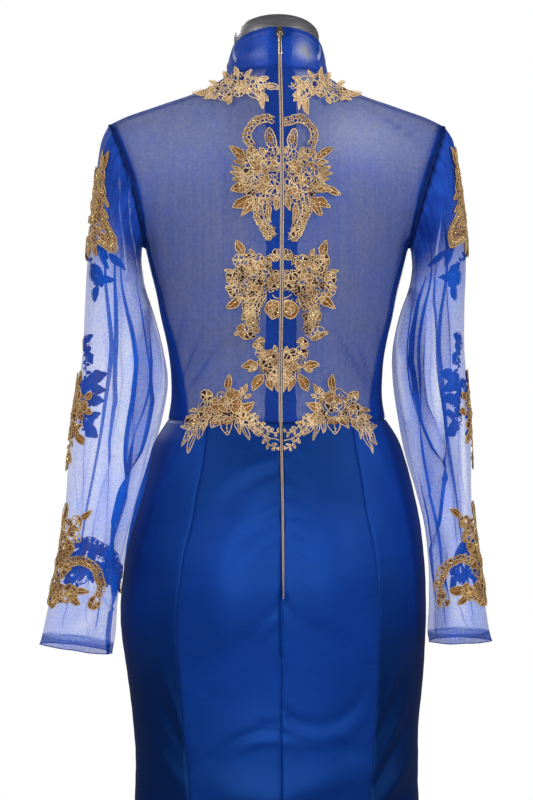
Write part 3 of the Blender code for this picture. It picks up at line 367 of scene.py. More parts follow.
def grid_normals(net, closed=False):
    """Unit normals of a grid, by the cross of its steps; the caller turns them outward."""
    if closed:
        du = np.roll(net, -1, 1) - np.roll(net, 1, 1)
    else:
        du = np.gradient(net, axis=1)
    dv = np.gradient(net, axis=0)
    n = np.cross(du, dv)
    n /= np.linalg.norm(n, axis=2, keepdims=True)
    return n



CENTRE_EDGE = ZIP_HALF + GAP
flip = np.array((-1, 1, 1))
back_normals = normals_of(BACK_L)
front_normals = normals_of(FRONT)
CUT = len(LOW_ROWS) + 1                                      # row of the satin's top edge
C = len(HALF_COLUMNS) - 1                                    # centre front column
P = 4                                                        # princess column, from the centre

COLLAR_TURNS = [3] + list(range(15, 346, 15)) + [357]


def collar_point(turn, share):
    side = 1 if turn <= 180 else -1
    t = turn if turn <= 180 else 360 - turn
    step = 30 * int(t / 30)                                  # the net's edge runs straight between its columns
    base = neckline(step) + (neckline(min(180, step + 30)) - neckline(step)) * ((t - step) / 30)
    a = math.radians(t)
    top = np.array((0.0540 * math.sin(a), (0.0525 if t <= 90 else 0.0590) * math.cos(a) - 0.0030,
                    1.4905 + 0.0240 * math.cos(a)))
    p = base + (top - base) * share
    bow = 0.0016 * math.sin(math.pi * share)
    p += np.array((math.sin(a), math.cos(a), 0)) * bow
    return p * (side, 1, 1)


def collar_net(shares):
    net = np.array([[collar_point(t, s) for t in COLLAR_TURNS] for s in shares])
    net[:, 0, 0], net[:, -1, 0] = CENTRE_EDGE, -CENTRE_EDGE
    return net


# ---- skirt ---------------------------------------------------------------

SKIRT_ROWS = (1.060, 1.034, 1.003, 0.962, 0.920, 0.888, 0.862, 0.812, 0.760, 0.700, 0.640, 0.570,
              0.500, 0.430, 0.350, 0.265, 0.180, 0.095, 0.015)


def seam_angle(z):
    rows = sorted(PRINCESS)
    x = float(np.interp(z, [r[0] for r in rows], [r[1] for r in rows]))
    return math.degrees(math.asin(x / smooth_table(SECTIONS, 1, z)))

def side_angle(z):
    return 90.0


GORES = (
    ("skirt_cb_l", lambda z: 0.0, seam_angle, 5),
    ("skirt_sb_l", seam_angle, side_angle, 5),
    ("skirt_sf_l", side_angle, lambda z: 180 - seam_angle(z), 5),
    ("skirt_cf", lambda z: 180 - seam_angle(z), lambda z: 180 + seam_angle(z), 7),
    ("skirt_sf_r", lambda z: 180 + seam_angle(z), lambda z: 270.0, 5),
    ("skirt_sb_r", lambda z: 270.0, lambda z: 360 - seam_angle(z), 5),
    ("skirt_cb_r", lambda z: 360 - seam_angle(z), lambda z: 360.0, 5),
)

def back_point(x, z):
    """The +X back surface at x and z, and its outward direction: the skirt's below the waist, the net's above."""
    if z <= WAIST_Z:
        cx, hx = smooth_table(SECTIONS, 4, z), smooth_table(SECTIONS, 1, z)
        deg = math.degrees(math.asin(min(1, (x - cx) / hx)))
        n = np.cross(figure(deg + 1, z) - figure(deg - 1, z), figure(deg, z) - figure(deg, z - 0.004))
        return np.array((x, figure(deg, z)[1], z)), (n if n[1] > 0 else -n) / np.linalg.norm(n)
    both = np.concatenate([BACK_L, back_normals], axis=2)
    rows = np.array([[np.interp(x, row[:, 0], row[:, k]) for k in range(6)] for row in both])
    found = np.array([np.interp(z, rows[:, 2], rows[:, k]) for k in range(6)])
    return found[:3], found[3:] / np.linalg.norm(found[3:])


def centre_back():
    """The centre back line from the zip's end up to the collar's top, with its outward directions."""
    line = [figure(0, z) for z in (0.862, 0.888, 0.920, 0.962, 1.003, 1.034, 1.060)]
    line += [BACK_L[i, 0] for i in range(1, len(BACK_L) - 1)]
    line += [collar_point(0, s) for s in (0.0, 0.35, 0.70, 1.0)]
    line = np.array(line)
    line[:, 0] = 0
    tangent = np.gradient(line, axis=0)
    tangent /= np.linalg.norm(tangent, axis=1, keepdims=True)
    outward = np.stack([np.zeros(len(line)), tangent[:, 2], -tangent[:, 1]], axis=1)
    return line, tangent, outward


line, tangent, outward = centre_back()


def strip(x0, x1, extra=0.0):
    net = np.stack([line * (0, 1, 1) + (x0, 0, 0), line * (0, 1, 1) + (x1, 0, 0)], axis=1)
    return net, np.stack([outward, outward], axis=1)


zip_at = 1.506                                               # height of the slider's middle
s_t = (line[-1] - line[-2]) / np.linalg.norm(line[-1] - line[-2])
s_n = np.array((0, s_t[2], -s_t[1]))
s_0 = line[-2] + (line[-1] - line[-2]) * ((zip_at - line[-2][2]) / (line[-1][2] - line[-2][2]))


def local(x, along, out):
    return s_0 + np.array((x, 0, 0)) + s_t * along + s_n * out


def sleeve_net(table, sign):
    table = np.array(table)
    net = []
    rows = len(table)
    for i, (ox, oz, ix, iz, depth, ym) in enumerate(table):
        outer, inner = np.array((ox, 0, oz)), np.array((ix, 0, iz))
        ring = []
        ramp = min(1.0, max(0.0, (i - 0.5) / 3)) * (1 - 0.45 * max(0, i - 12) / 4)
        for k in range(SLEEVE_SIDES):
            deg = 360 * k / SLEEVE_SIDES
            a = math.radians(deg)
            p = (outer + inner) / 2 + (outer - inner) / 2 * math.cos(a)
            p[1] = ym + depth * math.sin(a)
            if i == 0:
                p[0] -= ARM_DIP * math.sin(a) ** 2
            elif i == 1:
                p[0] -= 0.5 * ARM_DIP * math.sin(a) ** 2
            middle = np.array(((ox + ix) / 2, ym, (oz + iz) / 2))
            dent = 0.0
            for at, wide, deep in SLEEVE_FOLDS:
                wander = at + 10 * math.sin(0.55 * i + at)
                off = (deg - wander + 180) % 360 - 180
                dent += deep * math.exp(-((off / wide) ** 2))
            away = middle - p
            p = p + away / np.linalg.norm(away) * dent * ramp
            ring.append(p * (sign, 1, 1))
        net.append(ring)
    net = np.array(net)
    normals = grid_normals(net, closed=True)
    middle = net.mean(axis=1, keepdims=True)
    turn = np.sign(((net - middle) * normals).sum(axis=2).mean())
    return net, normals * turn


def column_point(column, z):
    """The +X net at a place along its columns and a height, and its outward direction."""
    both = np.concatenate([BACK_L, back_normals], axis=2)
    j = min(int(column), len(HALF_COLUMNS) - 2)
    line = both[:, j] + (both[:, j + 1] - both[:, j]) * (column - j)
    found = np.array([np.interp(z, line[:, 2], line[:, k]) for k in range(6)])
    return found[:3], found[3:] / np.linalg.norm(found[3:])

# ---- mesh helpers ----------------------------------------------------------


def finer(net, n, axis=0, closed=False):
    """The net with n steps for each of its own along an axis, on a smooth curve through its points."""
    p = np.moveaxis(np.asarray(net, float), axis, 0)
    if closed:
        ext, count = np.concatenate([p[-1:], p, p[:2]]), len(p)
    else:
        ext = np.concatenate([(2 * p[0] - p[1])[None], p, (2 * p[-1] - p[-2])[None]])
        count = len(p) - 1
    out = []
    for s in range(count):
        a, b, c, d = ext[s:s + 4]
        for k in range(n):
            t = k / n
            out.append(0.5 * (2 * b + (c - a) * t + (2 * a - 5 * b + 4 * c - d) * t**2 + (3 * b - a - 3 * c + d) * t**3))
    if not closed:
        out.append(p[-1])
    return np.moveaxis(np.array(out), 0, axis)


def outward_normals(net, closed=False, middle=None):
    """Unit normals of a fine grid, turned away from its middle line."""
    du = np.roll(net, -1, 1) - np.roll(net, 1, 1) if closed else np.gradient(net, axis=1)
    n = np.cross(du, np.gradient(net, axis=0))
    n /= np.maximum(np.linalg.norm(n, axis=2, keepdims=True), 1e-12)
    if middle is None:
        middle = net.mean(axis=1, keepdims=True) if closed else np.zeros(3) + (0, 0, 1)
    away = net - middle
    if not closed:
        away = away * (1, 1, 0)
    return n * np.sign((away * n).sum(axis=2).mean())


def mesh_object(name, verts, faces, mat, smooth=True, values=None, mats=None, face_mats=None):
    mesh = bpy.data.meshes.new(name)
    mesh.from_pydata(np.asarray(verts, float).tolist(), [], faces)
    for key_, numbers in (values or {}).items():
        mesh.attributes.new(key_, "FLOAT", "POINT").data.foreach_set("value", np.asarray(numbers, np.float32).ravel())
    for m in mats or [mat]:
        mesh.materials.append(m)
    if face_mats is not None:
        mesh.polygons.foreach_set("material_index", np.asarray(face_mats, np.int32))
    mesh.update()
    mesh.shade_smooth() if smooth else mesh.shade_flat()
    obj = bpy.data.objects.new(name, mesh)
    bpy.context.scene.collection.objects.link(obj)
    return obj


def quads(rows, cols, closed=False, turn=False, start=0):
    i, j = np.meshgrid(np.arange(rows - 1), np.arange(cols if closed else cols - 1), indexing="ij")
    k = (j + 1) % cols
    f = np.stack([i * cols + j, i * cols + k, (i + 1) * cols + k, (i + 1) * cols + j], axis=-1).reshape(-1, 4)
    return ((f[:, ::-1] if turn else f) + start).tolist()


def facing(net, normals, closed=False):
    """True where quads() of the grid face along its normals."""
    du = np.roll(net, -1, 1) - net if closed else np.gradient(net, axis=1)
    n = np.cross(du, np.gradient(net, axis=0))
    return (n * normals).sum() > 0


def sheet_mesh(name, net, normals, mat, closed=False, values=None):
    """One layer of sheer cloth."""
    rows, cols = net.shape[:2]
    return mesh_object(name, net.reshape(-1, 3), quads(rows, cols, closed, not facing(net, normals, closed)), mat,
                       values=values)


def shell_mesh(name, net, normals, thick, mat, closed=False, values=None):
    """Cloth with a face, a back and turned edges."""
    rows, cols = net.shape[:2]
    n = rows * cols
    turn = not facing(net, normals, closed)
    verts = np.concatenate([net.reshape(-1, 3), (net - normals * thick).reshape(-1, 3)])
    faces = quads(rows, cols, closed, turn) + quads(rows, cols, closed, not turn, n)
    last = cols if closed else cols - 1
    border = []
    for j in range(last):
        k = (j + 1) % cols
        border += [(j, n + j, n + k, k), ((rows - 1) * cols + j, (rows - 1) * cols + k, n + (rows - 1) * cols + k,
                                         n + (rows - 1) * cols + j)]
    if not closed:
        for i in range(rows - 1):
            a, b = i * cols, (i + 1) * cols
            border += [(a, b, n + b, n + a), (a + cols - 1, n + a + cols - 1, n + b + cols - 1, b + cols - 1)]
    faces += [f[::-1] for f in border] if turn else border
    if values:
        values = {k: np.concatenate([np.ravel(v), np.ravel(v)]) for k, v in values.items()}
    return mesh_object(name, verts, faces, mat, values=values)


class Heap:
    """Many small shapes joined in one mesh, each face with its own material."""

    def __init__(self):
        self.verts, self.faces, self.mats, self.count = [], [], [], 0

    def add(self, verts, faces, mat=0):
        verts = np.asarray(verts, float).reshape(-1, 3)
        self.verts.append(verts)
        self.faces += [tuple(int(i) + self.count for i in f) for f in faces]
        self.mats += [mat] * len(faces)
        self.count += len(verts)

    def tube(self, path, radius, mat=0, sides=5, closed=False, flat=1.0, up=None):
        """A cord along a path. up is a direction for each point, along which it is flat times as thick."""
        path = np.asarray(path, float)
        n = len(path)
        if n < 2:
            return
        t = np.roll(path, -1, 0) - np.roll(path, 1, 0) if closed else np.gradient(path, axis=0)
        t /= np.maximum(np.linalg.norm(t, axis=1, keepdims=True), 1e-12)
        if up is None:
            up = np.zeros_like(path) + (0.0, 1.0, 0.02)
        b = np.cross(t, up)
        b /= np.maximum(np.linalg.norm(b, axis=1, keepdims=True), 1e-12)
        c = np.cross(b, t)
        r = np.broadcast_to(np.asarray(radius, float), (n,))[:, None]
        loops = [path + b * r * math.cos(2 * math.pi * s / sides) + c * r * flat * math.sin(2 * math.pi * s / sides)
                 for s in range(sides)]
        verts = np.stack(loops, axis=1).reshape(-1, 3)
        faces = quads(n, sides, True)
        if closed:
            faces += [((n - 1) * sides + s, (n - 1) * sides + (s + 1) % sides, (s + 1) % sides, s) for s in range(sides)]
        else:
            faces += [tuple(range(sides)), tuple((n - 1) * sides + s for s in range(sides))[::-1]]
        self.add(verts, faces, mat)

    def bead(self, at, up, radius, mat=0, high=0.8, rings=4, sides=8):
        up = np.asarray(up, float)
        u = np.cross(up, (0.3, 0.1, 1.0))
        u /= np.linalg.norm(u)
        v = np.cross(up, u)
        verts = [at + up * radius * high]
        for i in range(1, rings):
            a = math.pi * i / rings
            for s in range(sides):
                w = 2 * math.pi * s / sides
                verts.append(at + up * radius * high * math.cos(a) + (u * math.cos(w) + v * math.sin(w)) * radius * math.sin(a))
        verts.append(at - up * radius * high)
        faces = [(0, 1 + s, 1 + (s + 1) % sides) for s in range(sides)]
        for i in range(rings - 2):
            faces += [(1 + i * sides + s, 1 + (i + 1) * sides + s, 1 + (i + 1) * sides + (s + 1) % sides,
                       1 + i * sides + (s + 1) % sides) for s in range(sides)]
        end = len(verts) - 1
        faces += [(end, 1 + (rings - 2) * sides + (s + 1) % sides, 1 + (rings - 2) * sides + s) for s in range(sides)]
        self.add(verts, faces, mat)

    def make(self, name, mats, smooth=True):
        return mesh_object(name, np.concatenate(self.verts), self.faces, None, smooth, mats=mats, face_mats=self.mats)


def lathe(name, profile, mat, sides=96, place=None, smooth=True):
    """A turned body through (radius, height) pairs, closed at both ends on the axis."""
    verts, count = [], len(profile)
    for r, z in profile:
        for s in range(sides):
            a = 2 * math.pi * s / sides
            verts.append((r * math.sin(a), r * math.cos(a), z))
    faces = quads(count, sides, True, turn=True)
    for at, first in ((profile[0], 0), (profile[-1], (count - 1) * sides)):
        verts.append((0, 0, at[1]))
        ring = [first + s for s in range(sides)]
        faces += [(a, b, len(verts) - 1) if first else (b, a, len(verts) - 1) for a, b in zip(ring, ring[1:] + ring[:1])]
    verts = np.array(verts, float)
    if place is not None:
        verts = place(verts)
    obj = mesh_object(name, verts, faces, mat)
    work = bmesh.new()
    work.from_mesh(obj.data)
    bmesh.ops.recalc_face_normals(work, faces=work.faces)
    work.to_mesh(obj.data)
    work.free()
    obj.data.shade_smooth()
    obj.data.set_sharp_from_angle(angle=math.radians(38))
    return obj


def body(obj, slot, *nodes, rides="gown_and_form"):
    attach(obj, rides)
    if nodes:
        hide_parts(*nodes)
    return obj


def area_of(net, closed=False):
    a = net[:-1, :-1], net[:-1, 1:], net[1:, 1:], net[1:, :-1]
    total = (np.linalg.norm(np.cross(a[1] - a[0], a[2] - a[0]), axis=2) + np.linalg.norm(np.cross(a[2] - a[0], a[3] - a[0]), axis=2)).sum() / 2
    if closed:
        b = net[:-1, -1], net[:-1, 0], net[1:, 0], net[1:, -1]
        total += (np.linalg.norm(np.cross(b[1] - b[0], b[2] - b[0]), axis=1) + np.linalg.norm(np.cross(b[2] - b[0], b[3] - b[0]), axis=1)).sum() / 2
    return float(total)


# ---- material helpers -------------------------------------------------------


class Finish:
    """A procedural material, built node by node."""

    def __init__(self, name, **sockets):
        self.mat = bpy.data.materials.new(name)
        self.mat.use_nodes = True
        self.tree = self.mat.node_tree
        self.shader = self.tree.nodes["Principled BSDF"]
        for socket, value in sockets.items():
            self.shader.inputs[socket.replace("_", " ")].default_value = (*value, 1) if isinstance(value, tuple) else value
        self.coords = self.tree.nodes.new("ShaderNodeTexCoord").outputs["Object"]

    def link(self, a, b):
        self.tree.links.new(a, b)

    def stretch(self, scale, turn=(0, 0, 0)):
        n = self.tree.nodes.new("ShaderNodeMapping")
        n.inputs["Scale"].default_value = scale
        n.inputs["Rotation"].default_value = turn
        self.link(self.coords, n.inputs["Vector"])
        return n.outputs[0]

    def noise(self, scale, detail=2.0, rough=0.5, vector=None):
        n = self.tree.nodes.new("ShaderNodeTexNoise")
        n.inputs["Scale"].default_value, n.inputs["Detail"].default_value = scale, detail
        n.inputs["Roughness"].default_value = rough
        self.link(vector or self.coords, n.inputs["Vector"])
        return n.outputs["Fac"]

    def wave(self, scale, direction="Z", distortion=0.0, vector=None):
        n = self.tree.nodes.new("ShaderNodeTexWave")
        n.bands_direction = direction
        n.inputs["Scale"].default_value, n.inputs["Distortion"].default_value = scale, distortion
        n.inputs["Detail Scale"].default_value = 2.0
        self.link(vector or self.coords, n.inputs["Vector"])
        return n.outputs["Fac"]

    def value(self, name):
        n = self.tree.nodes.new("ShaderNodeAttribute")
        n.attribute_name = name
        return n.outputs["Fac"]

    def math(self, how, a, b=0.0, clamp=False):
        n = self.tree.nodes.new("ShaderNodeMath")
        n.operation, n.use_clamp = how, clamp
        for k, v in enumerate((a, b)):
            if isinstance(v, (int, float)):
                n.inputs[k].default_value = v
            else:
                self.link(v, n.inputs[k])
        return n.outputs[0]

    def span(self, fac, low, high, a=0.0, b=1.0):
        n = self.tree.nodes.new("ShaderNodeMapRange")
        for k, v in zip(("From Min", "From Max", "To Min", "To Max"), (low, high, a, b)):
            n.inputs[k].default_value = v
        self.link(fac, n.inputs["Value"])
        return n.outputs["Result"]

    def mix(self, fac, a, b):
        n = self.tree.nodes.new("ShaderNodeMix")
        n.data_type = "RGBA"
        self.link(fac, n.inputs["Factor"]) if not isinstance(fac, (int, float)) else setattr(n.inputs["Factor"], "default_value", fac)
        for k, v in ((6, a), (7, b)):
            if isinstance(v, tuple):
                n.inputs[k].default_value = (*v, 1)
            else:
                self.link(v, n.inputs[k])
        return n.outputs[2]

    def bump(self, height, strength, distance):
        n = self.tree.nodes.new("ShaderNodeBump")
        n.inputs["Strength"].default_value, n.inputs["Distance"].default_value = strength, distance
        self.link(height, n.inputs["Height"])
        self.link(n.outputs["Normal"], self.shader.inputs["Normal"])

    def to(self, socket, output):
        self.link(output, self.shader.inputs[socket])
        return self


def linear(r, g, b):
    """A colour given as it looks on a screen, 0 to 255, as light."""
    return tuple(((c / 255 + 0.055) / 1.055) ** 2.4 if c > 10 else c / 255 / 12.92 for c in (r, g, b))


# ---- finishes ---------------------------------------------------------------

satin = Finish("satin_blue", Roughness=0.47, Specular_IOR_Level=0.7, Specular_Tint=(0.07, 0.29, 1.0), Sheen_Weight=0.05,
               Sheen_Roughness=0.35, Sheen_Tint=(0.15, 0.30, 0.90))
broad = satin.noise(5.0, 3.0, 0.55)
slub = satin.noise(60.0, 3.0, 0.6, satin.stretch((1.0, 1.0, 7.0)))
tone = satin.math("ADD", satin.math("MULTIPLY", broad, 0.8), satin.math("MULTIPLY", slub, 0.2))
face_blue = satin.mix(satin.span(tone, 0.30, 0.70), linear(7, 38, 106), linear(16, 60, 150))
# painted shade: the satin's colour turns to a deep navy by the value named grain, on the side panels towards the hem
# and on the centre panels at the waist and low down, where less light falls
satin.to("Base Color", satin.mix(satin.value("grain"), face_blue, linear(1, 20, 58)))
satin.to("Roughness", satin.span(slub, 0.2, 0.8, 0.43, 0.51))
warp = satin.wave(520.0, "X", 0.6)
weft = satin.wave(760.0, "Z", 0.6)
satin.bump(satin.math("ADD", satin.math("MULTIPLY", satin.math("ADD", warp, weft), 0.5), satin.math("MULTIPLY", slub, 0.9)), 0.28, 0.00022)

jersey = Finish("form_jersey", Roughness=0.85, Specular_IOR_Level=0.2, Sheen_Weight=0.15)
knit = jersey.math("ADD", jersey.wave(420.0, "X", 1.0), jersey.wave(330.0, "Z", 1.5))
pile = jersey.noise(240.0, 3.0)
jersey.to("Base Color", jersey.mix(jersey.span(pile, 0.3, 0.7), linear(150, 152, 160), linear(172, 174, 182)))
jersey.bump(jersey.math("ADD", knit, jersey.math("MULTIPLY", pile, 1.5)), 0.25, 0.0003)


def steel(name, dark, light, rough, along="Z"):
    made = Finish(name, Metallic=1.0, Roughness=rough, Anisotropic=0.4)
    scratch = made.noise(90.0, 4.0, 0.6, made.stretch((0.4, 0.4, 14.0) if along == "Z" else (14.0, 14.0, 0.4)))
    cloud = made.noise(9.0, 2.0)
    made.to("Base Color", made.mix(made.span(made.math("ADD", made.math("MULTIPLY", scratch, 0.7), made.math("MULTIPLY", cloud, 0.3)), 0.3, 0.7), dark, light))
    made.to("Roughness", made.span(scratch, 0.25, 0.75, rough - 0.06, rough + 0.10))
    made.bump(scratch, 0.12, 0.0002)
    return made.mat


cap_steel = steel("cap_brushed_steel", linear(172, 170, 176), linear(226, 226, 230), 0.26)
stand_steel = steel("stand_brushed_steel", linear(176, 176, 180), linear(214, 214, 218), 0.30)

# ---- smooth nets of the bodice ------------------------------------------------

FINE = 5
BACK_FINE = finer(finer(BACK_L, FINE, 0), FINE, 1)
BACK_FINE_N = finer(finer(back_normals, FINE, 0), FINE, 1)
BACK_FINE_N /= np.linalg.norm(BACK_FINE_N, axis=2, keepdims=True)
FRONT_FINE = finer(finer(FRONT, FINE, 0), FINE, 1)
FRONT_FINE_N = finer(finer(front_normals, FINE, 0), FINE, 1)
FRONT_FINE_N /= np.linalg.norm(FRONT_FINE_N, axis=2, keepdims=True)
MID = C * FINE


def welded(name, grids, mat, distance=0.0004):
    verts, faces = [], []
    for grid, extra in grids:
        start = len(verts)
        if extra is None:
            verts += list(grid.reshape(-1, 3))
            faces += quads(grid.shape[0], grid.shape[1], False, False, start)
        else:
            verts += list(np.asarray(grid).reshape(-1, 3))
            faces += [tuple(start + i for i in f) for f in extra]
    obj = mesh_object(name, np.array(verts), faces, mat)
    work = bmesh.new()
    work.from_mesh(obj.data)
    bmesh.ops.remove_doubles(work, verts=work.verts, dist=distance)
    bmesh.ops.dissolve_degenerate(work, dist=1e-6, edges=work.edges)
    bmesh.ops.recalc_face_normals(work, faces=work.faces)
    if work.calc_volume(signed=True) < 0:
        bmesh.ops.reverse_faces(work, faces=work.faces)
    work.to_mesh(obj.data)
    work.free()
    obj.data.shade_smooth()
    return obj


# ---- dress form -----------------------------------------------------------------

CAP_TILT = math.radians(25)
CAP_MID = np.array((0, -0.0025, 1.4870))


def tilted(r, turn, lift):
    """Points of a ring on the neck's slanting cut."""
    p = CAP_MID + np.stack([r * np.sin(turn), r * np.cos(turn) * math.cos(CAP_TILT), r * np.cos(turn) * math.sin(CAP_TILT)], axis=-1)
    return p + np.array((0, -math.sin(CAP_TILT), math.cos(CAP_TILT))) * lift


def skin_inset(rows, columns, near_neck):
    """How far the form lies under the cloth: the net rests on the shoulders."""
    top = np.clip((np.arange(rows) - (rows - 1 - 2.2 * FINE)) / (2.2 * FINE), 0, 1)[:, None]
    out = np.clip((near_neck - 3 * FINE) / (2 * FINE), 0, 1)[None, :]
    return (FORM_IN * (1 - 0.74 * top**1.5 * out))[..., None] * np.ones((rows, columns, 1))


form_back = BACK_FINE - BACK_FINE_N * skin_inset(*BACK_FINE.shape[:2], np.arange(BACK_FINE.shape[1]))
form_front = FRONT_FINE - FRONT_FINE_N * skin_inset(*FRONT_FINE.shape[:2], abs(np.arange(FRONT_FINE.shape[1]) - MID))
grids = [(form_back, None), (form_back * flip, None), (form_front, None)]
neck = NECK_COLUMN = 3 * FINE
ring = np.concatenate([form_back[-1, :neck + 1], form_front[-1, MID - neck:MID + neck + 1][1:], (form_back[-1] * flip)[:neck + 1][::-1][1:-1]])
turns = np.arctan2(ring[:, 0] / 0.054, (ring[:, 1] + 0.002) / 0.057)
neck_rows = [ring]
low_ring = tilted(0.0478, turns, -0.006)
for t in (0.25, 0.5, 0.75, 1.0):
    s = t * t * (3 - 2 * t) * 0.35 + t * 0.65
    neck_rows.append(ring * (1 - s) + low_ring * s)
neck_rows += [tilted(0.0476, turns, 0.0), tilted(0.0474, turns, 0.006)]
loops = np.array([np.concatenate([r, r[:1]]) for r in neck_rows])
grids.append((loops, None))
top = tilted(0.0474, turns, 0.006)
grids.append((np.concatenate([top, top.mean(axis=0)[None]]), [(i, (i + 1) % len(top), len(top)) for i in range(len(top))]))
for sign in (1, -1):
    start = (len(LOW_ROWS) - 1) * FINE
    front_edge = form_front[start:, 0 if sign > 0 else -1]
    back_edge = (form_back if sign > 0 else form_back * flip)[start:, -1]
    loop = np.concatenate([front_edge, back_edge[::-1][1:-1]])
    centre = loop.mean(axis=0)
    plate = [loop]
    for share, push in ((0.97, 0.0022), (0.90, 0.0040), (0.60, 0.0052), (0.30, 0.0056)):
        plate.append(centre + (loop - centre) * share - (sign * push, 0, 0))
    grids.append((np.array([np.concatenate([r, r[:1]]) for r in plate]), None))
    grids.append((np.concatenate([plate[-1], (plate[-1].mean(axis=0))[None]]), [(i, (i + 1) % len(loop), len(loop)) for i in range(len(loop))]))
waist_loop = np.concatenate([form_back[0], form_front[0][1:], (form_back * flip)[0][::-1][1:-1]])
degs = np.degrees(np.arctan2(waist_loop[:, 0] / 0.125, waist_loop[:, 1] / 0.08))
hips = [waist_loop]
for z, inset in ((1.047, FORM_IN), (1.034, FORM_IN), (1.018, FORM_IN), (1.003, FORM_IN), (0.982, FORM_IN), (0.962, FORM_IN), (0.920, FORM_IN),
                 (0.879, FORM_IN + 0.001), (0.845, FORM_IN + 0.002), (0.815, 0.010), (0.798, 0.018), (0.790, 0.032)):
    row = np.array([figure(d, z) for d in degs])
    away = row * (1, 1, 0)
    hips.append(row - away / np.linalg.norm(away, axis=1, keepdims=True) * inset)
hips.append(np.stack([0.040 * np.sin(np.radians(degs)), 0.040 * np.cos(np.radians(degs)), degs * 0 + 0.788], axis=1))
hips = np.array([np.concatenate([r, r[:1]]) for r in hips])
grids.append((hips, None))
grids.append((np.concatenate([hips[-1][:-1], [(0, 0, 0.788)]]), [(i, (i + 1) % len(degs), len(degs)) for i in range(len(degs))]))
form = welded("form_skin", grids, jersey.mat)
body(form, "form_cloth", "form_torso")

# seams of the form's jersey cover: centre back and centre front
seam_heap = Heap()
for path, normal in ((form_back[:-1, 0], BACK_FINE_N[:-1, 0]), (form_front[:-1, MID], FRONT_FINE_N[:-1, MID])):
    seam_heap.tube(path + normal * 0.0001, 0.0007, 0, 6, up=normal)
body(seam_heap.make("form_seams", [jersey.mat]), "form_cloth")

cap = lathe("cap_turned", ((0.0472, 0.0065), (0.0492, 0.0067), (0.0500, 0.0074), (0.0502, 0.0086), (0.0502, 0.0236), (0.0499, 0.0252),
                           (0.0491, 0.0264), (0.0478, 0.0270), (0.0462, 0.0272), (0.0300, 0.0272), (0.0100, 0.0272)), cap_steel, 128,
            lambda v: CAP_MID + np.stack([v[:, 0], v[:, 1] * math.cos(CAP_TILT) - math.sin(CAP_TILT) * v[:, 2],
                                          v[:, 1] * math.sin(CAP_TILT) + math.cos(CAP_TILT) * v[:, 2]], axis=1))
body(cap, "cap_steel", "neck_cap")
pole = lathe("pole_turned", ((POLE_R, 0.0083), (POLE_R, 0.200), (POLE_R, 0.500), (POLE_R, 0.8575)), stand_steel, 64)
body(pole, "stand_steel", "stand_pole")
base = lathe("base_turned", ((BASE_R - 0.004, 0.0), (BASE_R - 0.001, 0.0006), (BASE_R, 0.002), (BASE_R, 0.010), (BASE_R - 0.0008, 0.0118),
                             (BASE_R - 0.003, 0.0127), (0.110, 0.0136), (0.060, 0.0150), (0.040, 0.0166), (0.032, 0.0192), (0.0284, 0.026),
                             (0.0262, 0.038), (0.0256, 0.0455), (0.0248, 0.0474), (0.0230, 0.0480), (0.0155, 0.0480)), stand_steel, 128)
body(base, "stand_steel", "stand_base")


# ---- satin ------------------------------------------------------------------------

